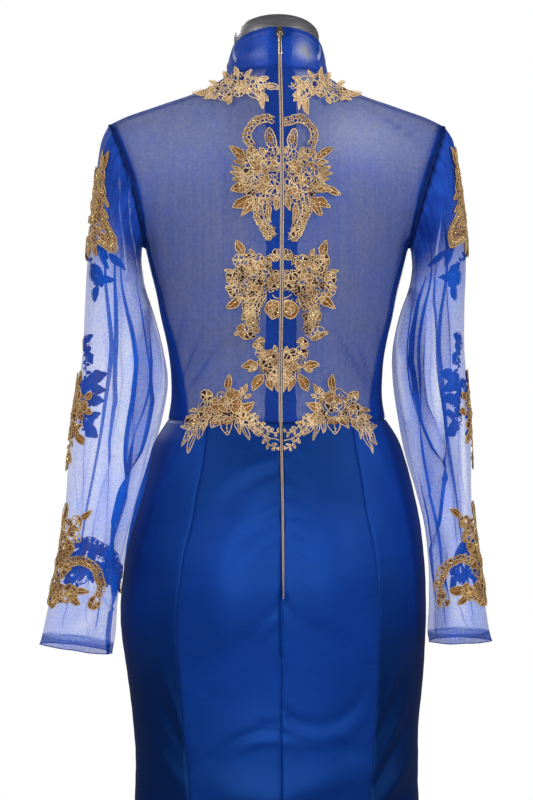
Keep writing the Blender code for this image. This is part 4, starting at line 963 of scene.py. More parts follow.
# creases of the satin: x, z, degrees from +X towards +Z, half length, half width, height (below 0 is a trough), bend
BACK_CREASES = (
    # by the zip, on the wearer's right
    (-0.0150, 0.9860, 22, 0.011, 0.0030, 0.0013, 0.0), (-0.0145, 0.9450, 28, 0.012, 0.0032, 0.0016, 0.0),
    (-0.0190, 0.9270, 34, 0.014, 0.0034, 0.0015, 0.1), (-0.0230, 0.9070, 40, 0.014, 0.0034, 0.0014, 0.1),
    (-0.0250, 0.8810, 46, 0.016, 0.0040, 0.0013, 0.1), (-0.0160, 0.9350, 30, 0.012, 0.0030, -0.0014, 0.0),
    (-0.0200, 0.9160, 36, 0.013, 0.0030, -0.0013, 0.1), (-0.0230, 0.8950, 42, 0.014, 0.0036, -0.0014, 0.1),
    (-0.0350, 1.0080, 20, 0.030, 0.0090, -0.0016, 0.1), (-0.0420, 0.9720, 30, 0.040, 0.0120, -0.0020, 0.2),
    # by the zip, on the wearer's left
    (0.0210, 1.0140, -16, 0.026, 0.0060, 0.0013, -0.1), (0.0240, 0.9990, -22, 0.034, 0.0060, -0.0014, -0.1),
    (0.0150, 0.9580, -32, 0.024, 0.0060, 0.0016, -0.1), (0.0280, 0.9450, -30, 0.036, 0.0075, -0.0019, -0.2),
    (0.0220, 0.9230, -36, 0.026, 0.0070, 0.0012, -0.1), (0.0830, 0.9500, -38, 0.052, 0.0200, -0.0030, 0.2),
    (0.0700, 0.9880, -30, 0.046, 0.0140, 0.0016, 0.2), (-0.0750, 0.9700, 32, 0.050, 0.0180, -0.0020, -0.2),
    # under the zip's end
    (0.0000, 0.8560, 84, 0.013, 0.0050, -0.0013, 0.0), (-0.0080, 0.8510, 62, 0.018, 0.0050, -0.0010, 0.1),
    (-0.0230, 0.8400, 52, 0.026, 0.0090, -0.0010, 0.1), (-0.0160, 0.8490, 55, 0.020, 0.0045, 0.0014, 0.1),
    (-0.0420, 0.8220, 34, 0.034, 0.0120, -0.0009, 0.2), (0.0130, 0.8430, -62, 0.018, 0.0060, -0.0008, 0.0),
    (0.0300, 0.8180, -46, 0.030, 0.0110, -0.0009, -0.2), (0.0180, 0.8280, -52, 0.020, 0.0060, 0.0012, -0.1),
    (0.0100, 0.7600, -10, 0.070, 0.0250, -0.0012, 0.0),
    # low on the thighs
    (0.0340, 0.7020, -17, 0.042, 0.0046, -0.0023, -0.3), (0.0350, 0.6930, -16, 0.040, 0.0062, 0.0020, -0.3),
    (0.0100, 0.7150, -8, 0.020, 0.0040, -0.0015, 0.0), (-0.0150, 0.7150, 38, 0.016, 0.0045, -0.0022, 0.3),
    (-0.0560, 0.7120, -12, 0.042, 0.0085, -0.0024, 0.5), (-0.0580, 0.6960, -10, 0.044, 0.0100, 0.0022, 0.4),
    (-0.0820, 0.6800, 20, 0.030, 0.0090, -0.0016, 0.0), (0.0760, 0.6720, -30, 0.034, 0.0090, -0.0016, 0.1),
    (-0.0480, 0.6420, -14, 0.052, 0.0200, 0.0036, 0.0), (0.0380, 0.6300, 10, 0.050, 0.0180, 0.0034, 0.0),
    (0.0040, 0.6080, -8, 0.060, 0.0140, -0.0026, 0.1), (-0.0250, 0.5650, 14, 0.055, 0.0120, -0.0024, 0.2),
    (0.0420, 0.5420, -20, 0.050, 0.0140, 0.0024, -0.2),
    # side panels
    (-0.1300, 0.7480, -76, 0.034, 0.0045, 0.0024, 0.0), (-0.1240, 0.7180, -68, 0.032, 0.0045, -0.0024, 0.0),
    (-0.1330, 0.6960, -66, 0.034, 0.0050, 0.0026, 0.0), (-0.1260, 0.6620, -58, 0.036, 0.0060, -0.0026, 0.0),
    (-0.1320, 0.6340, -50, 0.034, 0.0090, 0.0034, 0.0), (-0.1280, 0.5980, -40, 0.036, 0.0090, -0.0028, 0.0),
    (0.1290, 0.7500, 74, 0.034, 0.0050, 0.0020, 0.0), (0.1260, 0.7060, 64, 0.036, 0.0060, -0.0020, 0.0),
    (0.1300, 0.6600, 56, 0.034, 0.0080, 0.0022, 0.0), (0.1280, 0.6080, 44, 0.036, 0.0090, -0.0024, 0.0),
    (0.1180, 1.0200, -60, 0.030, 0.0080, 0.0012, 0.0), (-0.1200, 1.0160, 62, 0.030, 0.0080, 0.0012, 0.0),
)
FRONT_CREASES = (
    (0.0540, 1.0200, -30, 0.040, 0.0070, -0.0016, 0.1), (0.0480, 0.9960, -34, 0.036, 0.0060, 0.0013, 0.1),
    (-0.0580, 1.0160, 28, 0.042, 0.0075, -0.0016, -0.1), (-0.0460, 0.9800, 36, 0.032, 0.0060, 0.0012, -0.1),
    (0.0900, 0.9300, -42, 0.050, 0.0160, -0.0022, 0.1), (-0.0960, 0.9400, 46, 0.048, 0.0150, -0.0022, 0.0),
    (0.0100, 0.8400, 6, 0.070, 0.0110, -0.0024, 0.4), (-0.0160, 0.8160, -4, 0.060, 0.0090, 0.0018, 0.3),
    (0.0320, 0.7560, 12, 0.052, 0.0110, -0.0022, 0.2), (-0.0480, 0.7300, -16, 0.048, 0.0090, 0.0018, 0.2),
    (0.0520, 0.6860, 20, 0.050, 0.0090, -0.0024, 0.1), (-0.0300, 0.6560, -10, 0.056, 0.0140, 0.0030, 0.0),
    (0.0200, 0.6200, 8, 0.060, 0.0130, -0.0026, 0.2), (-0.0540, 0.5800, -20, 0.050, 0.0110, -0.0024, 0.1),
    (0.1260, 0.7300, -70, 0.036, 0.0055, 0.0024, 0.0), (0.1300, 0.6800, -62, 0.036, 0.0060, -0.0024, 0.0),
    (0.1280, 0.6200, -48, 0.034, 0.0090, 0.0028, 0.0), (-0.1270, 0.7400, 70, 0.036, 0.0055, 0.0022, 0.0),
    (-0.1310, 0.6860, 60, 0.036, 0.0065, -0.0024, 0.0), (-0.1290, 0.6240, 48, 0.034, 0.0090, 0.0026, 0.0),
)
BODICE_CREASES = (
    (0.0700, 1.1250, -52, 0.036, 0.0060, -0.0012, 0.1), (0.0520, 1.1060, -46, 0.032, 0.0055, 0.0010, 0.1),
    (-0.0720, 1.1320, 50, 0.036, 0.0060, -0.0012, 0.1), (-0.0500, 1.1020, 44, 0.030, 0.0055, 0.0010, 0.1),
    (0.0300, 1.0860, -24, 0.030, 0.0050, -0.0010, 0.0), (-0.0280, 1.0780, 22, 0.030, 0.0050, -0.0010, 0.0),
    (0.0100, 1.1720, 86, 0.040, 0.0080, -0.0014, 0.0), (0.1000, 1.1600, -60, 0.034, 0.0070, 0.0012, 0.0),
    (-0.1020, 1.1500, 62, 0.034, 0.0070, 0.0012, 0.0),
)


def taper(x, low, high):
    """0 at low, 1 at high, smooth between."""
    t = np.clip((x - low) / (high - low), 0, 1)
    return t * t * (3 - 2 * t)


def creases(table, x, z):
    """How far the creases of a table raise the cloth at each x and z."""
    total = np.zeros(np.broadcast(x, z).shape)
    for x0, z0, deg, length, wide, high, bend in table:
        c, s = math.cos(math.radians(deg)), math.sin(math.radians(deg))
        u, v = (x - x0) * c + (z - z0) * s, -(x - x0) * s + (z - z0) * c
        v = v - bend * u * u / length
        near = (abs(u) < 1.6 * length) & (abs(v) < 3.2 * wide)
        total = total + np.where(near, high * np.exp(-(v / wide) ** 2) * np.cos(np.clip(u / (1.6 * length), -1, 1) * math.pi / 2) ** 1.5, 0)
    return total


def ring_points(z, degs):
    """figure() for many angles at one height."""
    a = np.radians(degs)
    hx, front, back, cx = (smooth_table(SECTIONS, k, z) for k in (1, 2, 3, 4))
    x, y = hx * np.sin(a), np.where(np.cos(a) > 0, back, front) * np.cos(a)
    rise = np.zeros(len(degs))
    for at, wide, high, start in FLUTES:
        if z < start:
            off = (degs - at + 180) % 360 - 180
            down = (start - z) / (start - HEM_Z)
            rise += np.where(abs(off) < 2 * wide, high * down**1.25 * (np.cos(math.pi * off / (2 * wide)) ** 2 - 0.25), 0)
    r = np.hypot(x, y)
    x, y = x * (1 + rise / r) + cx, y * (1 + rise / r)
    for x0, z0, side, high, wide, tall in SWELLINGS:
        share = np.minimum(1, abs(y) / 0.05)
        y = y + np.where(side * y > 0, side * share * high * np.exp(-((x - x0) / wide) ** 2 - ((z - z0) / tall) ** 2), 0)
    return np.stack([x, y, np.full(len(degs), z)], axis=1)


def zip_half(z):
    """Half the width of the teeth that show: the cloth closes over them towards the lower end."""
    return float(np.interp(z, (ZIP_END_Z, 0.950, 1.060, 1.110, 1.300), (0.0010, 0.0012, 0.0015, 0.0018, min(ZIP_HALF, 0.0021))))


def edge_angle(fn, z):
    if fn in (seam_angle,):
        return math.degrees(math.asin(smooth_table(PRINCESS, 1, z) / smooth_table(SECTIONS, 1, z)))
    return fn(z)


SEAM_OF = {"skirt_cb_l": (0, 1), "skirt_sb_l": (1, 2), "skirt_sf_l": (2, 3), "skirt_cf": (3, 4), "skirt_sf_r": (4, 5),
           "skirt_sb_r": (5, 6), "skirt_cb_r": (6, 7)}


def seams_at(z):
    s = math.degrees(math.asin(smooth_table(PRINCESS, 1, z) / smooth_table(SECTIONS, 1, z)))
    return (0.0, s, 90.0, 180 - s, 180 + s, 270.0, 360 - s, 360.0)


zs = np.concatenate([np.arange(1.060, 0.60, -0.0045), np.arange(0.60, 0.020, -0.0075), [0.020, HEM_Z]])
GORE_NETS = {}
for name, (a, b) in SEAM_OF.items():
    count = 44 if name == "skirt_cf" else 30
    # columns crowd towards the seams
    t = np.linspace(0, 1, count + 1)
    t = t - 0.11 * np.sin(2 * math.pi * t) / 1.0 * 0.9
    rows = []
    for z in zs:
        s = seams_at(z)
        degs = s[a] + (s[b] - s[a]) * t
        row = ring_points(z, degs)
        if name in ("skirt_cb_l", "skirt_cb_r"):
            gap = zip_half(z) + GAP if z > ZIP_END_Z - 0.001 else GAP / 2
            sign = 1 if name == "skirt_cb_l" else -1
            run = row if sign > 0 else row[::-1]
            width = abs(run[-1, 0] - run[0, 0])
            run[:, 0] += sign * gap * (1 - np.abs(run[:, 0] - run[0, 0]) / width)
            if sign > 0:
                run[0, 0] = gap
            else:
                run[0, 0] = -gap
            row = run if sign > 0 else run[::-1]
        rows.append(row)
    net = np.array(rows)
    normals = outward_normals(net)
    # end columns take the figure's own normals, so that neighbours agree
    du = np.array([(ring_points(z, np.array([s + 0.4 for s in (seams_at(z)[a], seams_at(z)[b])])) - ring_points(z, np.array([s - 0.4 for s in (seams_at(z)[a], seams_at(z)[b])]))) for z in zs])
    for col, k in ((0, 0), (-1, 1)):
        dv = np.gradient(net[:, col], axis=0)
        n = np.cross(du[:, k], dv)
        n /= np.linalg.norm(n, axis=1, keepdims=True)
        n *= np.sign((n * net[:, col] * (1, 1, 0)).sum(axis=1, keepdims=True))
        normals[:, col] = n
    x, z = net[..., 0], net[..., 2]
    raise_ = 1.15 * np.where(net[..., 1] > 0, creases(BACK_CREASES, x, z), creases(FRONT_CREASES, x, z))
    # the seam allowances draw the cloth in along the seams, unevenly
    from_edge = np.minimum(np.linalg.norm(net - net[:, :1], axis=2), np.linalg.norm(net - net[:, -1:], axis=2))
    to_first = np.linalg.norm(net - net[:, :1], axis=2)
    to_last = np.linalg.norm(net - net[:, -1:], axis=2)
    for dist, seam in ((to_first, a), (to_last, b)):
        along = np.sin(z * 2 * math.pi / 0.023 + 2.1 * seam) * 0.5 + np.sin(z * 2 * math.pi / 0.057 + seam) * 0.5
        raise_ = raise_ - 0.0010 * np.exp(-(dist / 0.0022) ** 2) + 0.00035 * along * np.exp(-dist / 0.010)
    # the waist seam and the hem's turned fold
    raise_ = raise_ - 0.0009 * np.exp(-((z - WAIST_Z) / 0.0025) ** 2) - 0.0005 * np.exp(-((z - 0.040) / 0.0016) ** 2)
    net = net + normals * raise_[..., None]
    # seam edges meet their neighbours
    GORE_NETS[name] = net, normals
    # painted shade, carried by the value grain: side panels darker below 0.94 m, centre panels darker at the waist and
    # below 0.80 m
    if name[6:8] in ("sb", "sf"):
        grain = 0.88 * (1 - taper(z, 0.72, 0.94)) + 0.02
    else:
        grain = 0.36 * taper(z, 0.93, 1.00) + 0.42 * (1 - taper(z, 0.62, 0.80))
    obj = shell_mesh("satin_" + name, net, normals, SATIN_T, satin.mat, values={"grain": grain})
    body(obj, "satin", name)
    wide = max(np.linalg.norm(np.diff(row, axis=0), axis=1).sum() for row in net)
    tall = max(np.linalg.norm(np.diff(net[:, j], axis=0), axis=1).sum() for j in (0, count // 2, count))
    min(area_of(net), wide * tall)

# bodice: centre front and side fronts
top_row = CUT * FINE
front_raise = creases(BODICE_CREASES, FRONT_FINE[..., 0], FRONT_FINE[..., 2])
satin_front = FRONT_FINE + FRONT_FINE_N * front_raise[..., None]
for name, c0, c1 in (("bodice_sf_l", 0, MID - P * FINE), ("bodice_cf", MID - P * FINE, MID + P * FINE), ("bodice_sf_r", MID + P * FINE, 2 * MID)):
    net, normals = satin_front[:top_row + 1, c0:c1 + 1].copy(), FRONT_FINE_N[:top_row + 1, c0:c1 + 1]
    for col in (0, -1):
        net[:, col] -= normals[:, col] * 0.0009
        net[:, 1 if col == 0 else -2] += normals[:, col] * 0.0002
    net[0] -= normals[0] * 0.0008
    obj = shell_mesh("satin_" + name, net, normals, SATIN_T, satin.mat)
    body(obj, "satin", name)
    wide = max(np.linalg.norm(np.diff(row, axis=0), axis=1).sum() for row in net)
    tall = max(np.linalg.norm(np.diff(net[:, j], axis=0), axis=1).sum() for j in range(0, net.shape[1], 4))
    min(area_of(net), wide * tall)

# satin under the net at the low sides of the back
UNDER_ROWS = 8
under, under_n = [], []
for i in range(UNDER_ROWS):
    reach = 2.6 * (1 - i / (UNDER_ROWS - 1)) ** 0.8 + 0.35
    row, row_n = [], []
    for m in range(4):
        at = C - reach * (1 - m / 3)
        j = min(int(at), C - 1)
        t = at - j
        row.append(BACK_L[i, j] * (1 - t) + BACK_L[i, j + 1] * t)
        row_n.append(back_normals[i, j] * (1 - t) + back_normals[i, j + 1] * t)
    under.append(row)
    under_n.append(row_n)
under, under_n = finer(finer(np.array(under), 5, 0), 5, 1), finer(finer(np.array(under_n), 5, 0), 5, 1)
under_n /= np.linalg.norm(under_n, axis=2, keepdims=True)
under = under - under_n * 0.0019
for side, f in (("l", np.array((1, 1, 1))), ("r", flip)):
    obj = shell_mesh("satin_underback_" + side, under * f, under_n * f, 0.0008, satin.mat)
    body(obj, "satin", "underback_" + side)
    wide = max(np.linalg.norm(np.diff(row, axis=0), axis=1).sum() for row in under)
    tall = max(np.linalg.norm(np.diff(under[:, j], axis=0), axis=1).sum() for j in (0, 7, 15))
    min(area_of(under), wide * tall)


# ---- net ----------------------------------------------------------------------------


def net_finish(name, cover, dark, light, grain=0.10, stripes=0.0, thread=(0.12, 0.34, 0.95), fold_shade_colours=None):
    """Sheer net: threads that cover a share of the view, more of it where the cloth is folded or doubled. The same
    value also paints light and shade into the colour: darker where it is high, paler where it is below 0.
    """
    made = Finish(name, Roughness=0.62, Specular_IOR_Level=0.12, Specular_Tint=thread, Sheen_Weight=0.12, Sheen_Roughness=0.4,
                  Sheen_Tint=thread)
    fine = made.noise(420.0, 2.0, 0.7)
    cloud = made.noise(16.0, 3.0, 0.6)
    mesh = made.math("MULTIPLY", made.wave(330.0, "X", 0.8), made.wave(330.0, "Z", 0.8))
    plain = made.mix(made.span(made.math("ADD", made.math("MULTIPLY", fine, 0.5), made.math("MULTIPLY", cloud, 0.5)), 0.3, 0.7), dark, light)
    # painted shade: the darker colours of the folded and doubled net
    fold_shade_colours = fold_shade_colours or (tuple(0.34 * c for c in dark), tuple(0.42 * c for c in light))
    deep = made.mix(made.span(cloud, 0.3, 0.7), *fold_shade_colours)
    # painted highlight: a much paler colour where the value is below 0
    plain = made.mix(made.span(made.value("dense_and_painted_light"), -0.45, -0.02), tuple(min(1.0, 1.9 * c + 0.03) for c in light), plain)
    fold_shaded = made.mix(made.span(made.value("dense_and_painted_light"), 0.04, 0.48), plain, deep)
    # painted shade: near-black navy where the value passes 0.95, along the armholes, partly the seam allowance under
    # the net
    made.to("Base Color", made.mix(made.span(made.value("dense_and_painted_light"), 0.95, 1.45), fold_shaded, linear(7, 20, 58)))
    a = made.math("ADD", made.span(fine, 0.25, 0.75, cover - grain, cover + grain), made.span(cloud, 0.3, 0.7, -0.035, 0.035))
    a = made.math("ADD", a, made.math("MULTIPLY", made.math("SUBTRACT", mesh, 0.25), 0.10))
    if stripes:
        line_ = made.noise(55.0, 2.0, 0.5, made.stretch((5.0, 1.0, 0.12)))
        a = made.math("ADD", a, made.span(line_, 0.3, 0.7, -stripes, stripes))
    a = made.math("ADD", a, made.math("MULTIPLY", made.value("dense_and_painted_light"), 1.0), clamp=True)
    made.to("Alpha", a)
    made.bump(made.math("ADD", mesh, fine), 0.25, 0.0002)
    return made


net_back = net_finish("net_back", 0.50, linear(12, 42, 132), linear(30, 78, 184), 0.05, 0.04)
net_sleeve = net_finish("net_sleeve", 0.31, linear(14, 72, 196), linear(28, 118, 248), 0.13, fold_shade_colours=(linear(18, 46, 128), linear(38, 80, 184)))
net_collar = net_finish("net_collar", 0.58, linear(16, 54, 160), linear(42, 92, 206), 0.05, 0.02)
tape = Finish("tape_woven", Roughness=0.75, Specular_IOR_Level=0.15)
rib = tape.wave(300.0, "Z", 0.4)
tape.to("Base Color", tape.mix(tape.span(tape.math("ADD", tape.math("MULTIPLY", rib, 0.5), tape.math("MULTIPLY", tape.noise(120.0, 3.0), 0.5)), 0.2, 0.8), linear(22, 42, 96), linear(36, 60, 124)))
tape.bump(rib, 0.35, 0.0003)


# drag folds of the back net: x, z, degrees, half length, half width, height, bend. The wearer's left, then right
NET_CREASES = (
    (0.1010, 1.1300, 118, 0.040, 0.0060, 0.0016, 0.1), (0.0880, 1.1250, 126, 0.042, 0.0055, -0.0016, 0.1),
    (0.1120, 1.1180, 108, 0.036, 0.0050, -0.0014, 0.0), (0.0760, 1.1450, 130, 0.036, 0.0060, 0.0012, 0.1),
    (0.1200, 1.1600, 100, 0.034, 0.0060, -0.0014, 0.0), (0.1050, 1.1850, 112, 0.040, 0.0080, 0.0014, 0.1),
    (0.0600, 1.0950, 150, 0.030, 0.0060, -0.0010, 0.0), (0.1400, 1.2600, 60, 0.034, 0.0080, -0.0016, 0.0),
    (-0.0860, 1.1250, 56, 0.044, 0.0055, -0.0016, -0.1), (-0.0960, 1.1180, 62, 0.044, 0.0060, 0.0016, -0.1),
    (-0.1090, 1.1230, 70, 0.038, 0.0050, -0.0015, 0.0), (-0.0740, 1.1400, 50, 0.040, 0.0060, 0.0012, -0.1),
    (-0.1210, 1.1560, 80, 0.034, 0.0060, -0.0012, 0.0), (-0.0620, 1.1000, 30, 0.030, 0.0060, -0.0010, 0.0),
    (-0.1380, 1.2550, -60, 0.034, 0.0080, -0.0016, 0.0), (-0.1000, 1.1900, 66, 0.044, 0.0080, 0.0013, 0.0),
    # fullness eased into the shoulder seams
    (0.1250, 1.4180, 150, 0.020, 0.0030, 0.0008, 0.0), (0.1420, 1.4080, 140, 0.022, 0.0030, 0.0008, 0.0),
    (0.1580, 1.3980, 130, 0.022, 0.0032, 0.0008, 0.0), (-0.1200, 1.4180, 28, 0.022, 0.0030, 0.0008, 0.0),
    (-0.1380, 1.4080, 36, 0.024, 0.0030, 0.0009, 0.0), (-0.1560, 1.3980, 46, 0.024, 0.0032, 0.0008, 0.0),
)
NET_FOLDS = (
    # lines where the net is doubled: x, z, degrees, half length, half width, cover
    (0.1060, 1.1240, 112, 0.038, 0.0022, 0.20), (0.0900, 1.1200, 124, 0.034, 0.0020, 0.16), (0.1180, 1.1500, 104, 0.034, 0.0020, 0.16),
    (-0.0880, 1.1240, 58, 0.036, 0.0022, 0.20), (-0.1030, 1.1180, 66, 0.036, 0.0020, 0.18), (-0.1180, 1.1480, 78, 0.034, 0.0020, 0.16),
    (-0.1330, 1.4060, 34, 0.030, 0.0016, 0.12), (-0.1440, 1.3990, 38, 0.030, 0.0016, 0.10),
)


def doubled(table, x, z):
    return creases([(a, b, c, d, e, f, 0.0) for a, b, c, d, e, f in table], x, z)


for side, f in (("l", np.array((1, 1, 1))), ("r", flip)):
    net = BACK_FINE.copy()
    # the centre edge stands at the zip
    for row in net:
        t = np.clip(1 - row[:, 0] / row[2 * FINE, 0], 0, 1)
        row[:, 0] += t * CENTRE_EDGE
    net, normals = net * f, BACK_FINE_N * f
    x, z = net[..., 0], net[..., 2]
    from_arm = np.linalg.norm(net - net[:, -1:], axis=2) + np.where(z < UNDER_Z, 1.0, 0.0)
    rise = creases(NET_CREASES, x, z)
    rise = rise + 0.0007 * np.exp(-from_arm / 0.012) * np.sin(z * 2 * math.pi / 0.017 + 3 * np.sin(z * 40))
    # taut between the centre and the shoulder blades
    net = net + normals * rise[..., None]
    # the net is denser along its doubled folds, its edges and the waist; its colour darkens there as painted shade, and
    # turns near-black along the armhole, where the seam allowance lies under it and shade falls
    dense_and_painted_light = doubled(NET_FOLDS, x, z) + 1.30 * np.exp(-(from_arm / 0.0044) ** 2) + 0.10 * np.exp(-from_arm / 0.012)
    dense_and_painted_light = dense_and_painted_light + 0.25 * np.exp(-(np.abs(z - WAIST_Z) / 0.004) ** 2)
    top_gap = np.linalg.norm(net - net[-1:], axis=2)
    dense_and_painted_light = dense_and_painted_light + 0.28 * np.exp(-(top_gap / 0.0045) ** 2)
    # thinner towards the top of the back, away from the centre, and so paler in colour
    dense_and_painted_light = dense_and_painted_light - 0.10 * taper(z, 1.30, 1.40) * taper(abs(x), 0.02, 0.06)
    # painted light: the net paler and thinner where the light falls on the wearer's right shoulder and by the neck on
    # that side
    dense_and_painted_light = dense_and_painted_light - 0.16 * np.exp(-((x + 0.090) / 0.050) ** 2 - ((z - 1.395) / 0.035) ** 2) - 0.34 * np.exp(-((x + 0.034) / 0.012) ** 2 - ((z - 1.462) / 0.018) ** 2)
    obj = sheet_mesh("net_back_" + side, net, normals, net_back.mat, values={"dense_and_painted_light": dense_and_painted_light})
    body(obj, "net", "back_mesh_" + side)
    wide = max(np.linalg.norm(np.diff(row, axis=0), axis=1).sum() for row in net)
    tall = max(np.linalg.norm(np.diff(net[:, j], axis=0), axis=1).sum() for j in range(0, net.shape[1], 5))
    min(area_of(net), wide * tall)

# front yoke
net, normals = FRONT_FINE[top_row:].copy(), FRONT_FINE_N[top_row:]
x, z = net[..., 0], net[..., 2]
edge = np.minimum(np.linalg.norm(net - net[:, :1], axis=2), np.linalg.norm(net - net[:, -1:], axis=2))
# denser along the side edges and the top and bottom seams, where the net is doubled; its darker colour there is painted
# shade
dense_and_painted_light = 0.30 * np.exp(-(edge / 0.005) ** 2) + 0.16 * np.exp(-edge / 0.014) + 0.28 * np.exp(-(np.linalg.norm(net - net[-1:], axis=2) / 0.0045) ** 2)
dense_and_painted_light = dense_and_painted_light + 0.35 * np.exp(-(np.linalg.norm(net - net[:1], axis=2) / 0.004) ** 2)
net = net + normals * (0.0006 * np.sin(x * 140 + z * 50) * np.exp(-((abs(x) - 0.12) / 0.03) ** 2))[..., None]
obj = sheet_mesh("net_front_yoke", net, normals, net_back.mat, values={"dense_and_painted_light": dense_and_painted_light})
body(obj, "net", "front_yoke")
wide = max(np.linalg.norm(np.diff(row, axis=0), axis=1).sum() for row in net)
tall = max(np.linalg.norm(np.diff(net[:, j], axis=0), axis=1).sum() for j in range(0, net.shape[1], 5))
min(area_of(net), wide * tall)

# ---- collar ----------------------------------------------------------------------------

# wrinkles of the collar: turn in degrees from the centre back, share of the height, slope, half length (deg), half width (share), height
COLLAR_CREASES = ((20, 0.30, 0.004, 16, 0.10, 0.0010), (32, 0.55, -0.004, 18, 0.10, -0.0012), (48, 0.40, 0.006, 20, 0.09, 0.0012),
                  (66, 0.62, -0.003, 18, 0.10, -0.0010), (-16, 0.34, -0.005, 14, 0.09, 0.0011), (-28, 0.60, 0.005, 18, 0.10, -0.0013),
                  (-44, 0.36, -0.004, 20, 0.10, 0.0012), (-60, 0.66, 0.004, 16, 0.09, -0.0010), (95, 0.45, 0.003, 24, 0.10, 0.0010),
                  (-98, 0.50, -0.004, 22, 0.10, -0.0010), (130, 0.55, 0.004, 22, 0.10, -0.0011), (160, 0.35, -0.003, 20, 0.10, 0.0010),
                  (-135, 0.40, 0.003, 24, 0.10, 0.0011), (-165, 0.62, -0.003, 20, 0.09, -0.0010))
shares = np.linspace(0.0, 1.0, 25)
degrees_ = np.concatenate([[2.6], np.arange(4, 357, 2.0), [357.4]])
coarse = finer(collar_net((0.0, 0.35, 0.70, 1.0)), 8, 0)
fine_collar = []
for row in coarse:
    at = np.array(COLLAR_TURNS, float)
    fine_collar.append(finer(row, 6, 0))
collar_fine = np.array(fine_collar)
collar_n = outward_normals(collar_fine, middle=np.array((0, -0.002, 1.48)))
turn_of = finer(np.array(COLLAR_TURNS, float)[:, None], 6, 0)[:, 0]
turn_signed = np.where(turn_of > 180, turn_of - 360, turn_of)
share_of = np.linspace(0, 1, len(collar_fine))
T, S = np.meshgrid(turn_signed, share_of)
rise = np.zeros(T.shape)
for t0, s0, slope, length, wide, high in COLLAR_CREASES:
    u = (T - t0) / length
    rise += np.where(abs(u) < 1.5, high * np.exp(-((S - s0 - slope * (T - t0)) / wide) ** 2) * np.cos(np.clip(u / 1.5, -1, 1) * math.pi / 2) ** 2, 0)
fade = np.minimum(1, abs(T) / 6)
rise = rise * fade - 0.0006 * np.exp(-(S / 0.05) ** 2)
# the folded top edge rolls over
net = collar_fine + collar_n * rise[..., None]
lip = []
for k, (out_, up_) in enumerate(((0.0, 0.0), (-0.0004, 0.0007), (-0.0010, 0.0009), (-0.0015, 0.0006))):
    lip.append(net[-1] + collar_n[-1] * out_ + (0, 0, up_))
inner = net[::-1] - collar_n[::-1] * COLLAR_T
net_all = np.concatenate([net, np.array(lip[1:]), inner])
normals_all = np.concatenate([collar_n, np.repeat(collar_n[-1:], 3, 0), collar_n[::-1]])
# how dense the collar's net is: denser by the neck seam, at the folded top and at the centre back
collar_cover_and_light = 0.16 + 0.22 * np.exp(-(S / 0.05) ** 2) + 0.20 * np.exp(-((1 - S) / 0.10) ** 2) + 0.25 * np.exp(-(T / 7.0) ** 2)
# painted light: two paler, thinner patches on the collar's sides, the one on the wearer's right strong
collar_cover_and_light = collar_cover_and_light - 0.26 * np.exp(-((T - 24) / 13) ** 2 - ((S - 0.45) / 0.3) ** 2) - 0.78 * np.exp(-((T + 32) / 14) ** 2 - ((S - 0.5) / 0.3) ** 2)
# a denser patch to the wearer's right of the centre back near the top; painted shade and highlight: darker in the
# wrinkles' troughs, paler on their ridges
collar_cover_and_light = collar_cover_and_light + 0.45 * np.exp(-((T + 10) / 6) ** 2 - ((S - 0.86) / 0.12) ** 2) - 110 * rise
collar_cover_and_light_all = np.concatenate([collar_cover_and_light, np.repeat(collar_cover_and_light[-1:], 3, 0), 0.5 * collar_cover_and_light[::-1] - 0.30])
obj = sheet_mesh("collar_doubled", net_all, normals_all, net_collar.mat, values={"dense_and_painted_light": collar_cover_and_light_all})
body(obj, "collar_net", "collar")
wide = max(np.linalg.norm(np.diff(row, axis=0), axis=1).sum() for row in net_all)
tall = max(np.linalg.norm(np.diff(net_all[:, j], axis=0), axis=1).sum() for j in range(0, net_all.shape[1], 20))
min(area_of(net_all), wide * tall)

# piping of seams in the net: neckline, shoulders and armholes
seams = Heap()
seam_paths = []
for f in (np.array((1, 1, 1)), flip):
    seam_paths.append((BACK_FINE[-1, 3 * FINE:] * f, (BACK_FINE_N[-1, 3 * FINE:] + FRONT_FINE_N[-1, :MID - 3 * FINE + 1][::-1]) * f, 0.0009))
    arm = np.array([armhole(t, 1) for t in range(0, 181, 4)] + [armhole(t, -1) for t in range(176, 0, -4)]) * f
    out_ = arm - arm.mean(axis=0)
    seam_paths.append((np.concatenate([arm, arm[:1]]), np.concatenate([out_, out_[:1]]), 0.0019))
neck_loop = collar_fine[0]
seam_paths.append((neck_loop, collar_n[0], 0.0010))
for path, up, r in seam_paths:
    up = up / np.linalg.norm(up, axis=1, keepdims=True)
    seams.tube(path + up * 0.0002, r, int(r > 0.0015), 6, flat=0.5, up=up)
thread_blue = Finish("seam_doubled", Roughness=0.7, Specular_IOR_Level=0.1)
twist = thread_blue.noise(300.0, 3.0)
thread_blue.to("Base Color", thread_blue.mix(thread_blue.span(twist, 0.3, 0.7), linear(22, 44, 112), linear(36, 68, 158)))
thread_blue.bump(twist, 0.4, 0.0003)
# the armhole binding, a deep navy darker than the net: partly the seam allowance's own colour, partly painted shade
# along the armhole
bound = Finish("armhole_binding", Roughness=0.75, Specular_IOR_Level=0.08)
bound.to("Base Color", bound.mix(bound.span(bound.noise(220.0, 3.0), 0.3, 0.7), linear(8, 22, 70), linear(18, 40, 104)))
bound.bump(bound.noise(300.0, 3.0), 0.4, 0.0003)
body(seams.make("net_seams", [thread_blue.mat, bound.mat]), "net")


# ---- sleeves ---------------------------------------------------------------------------

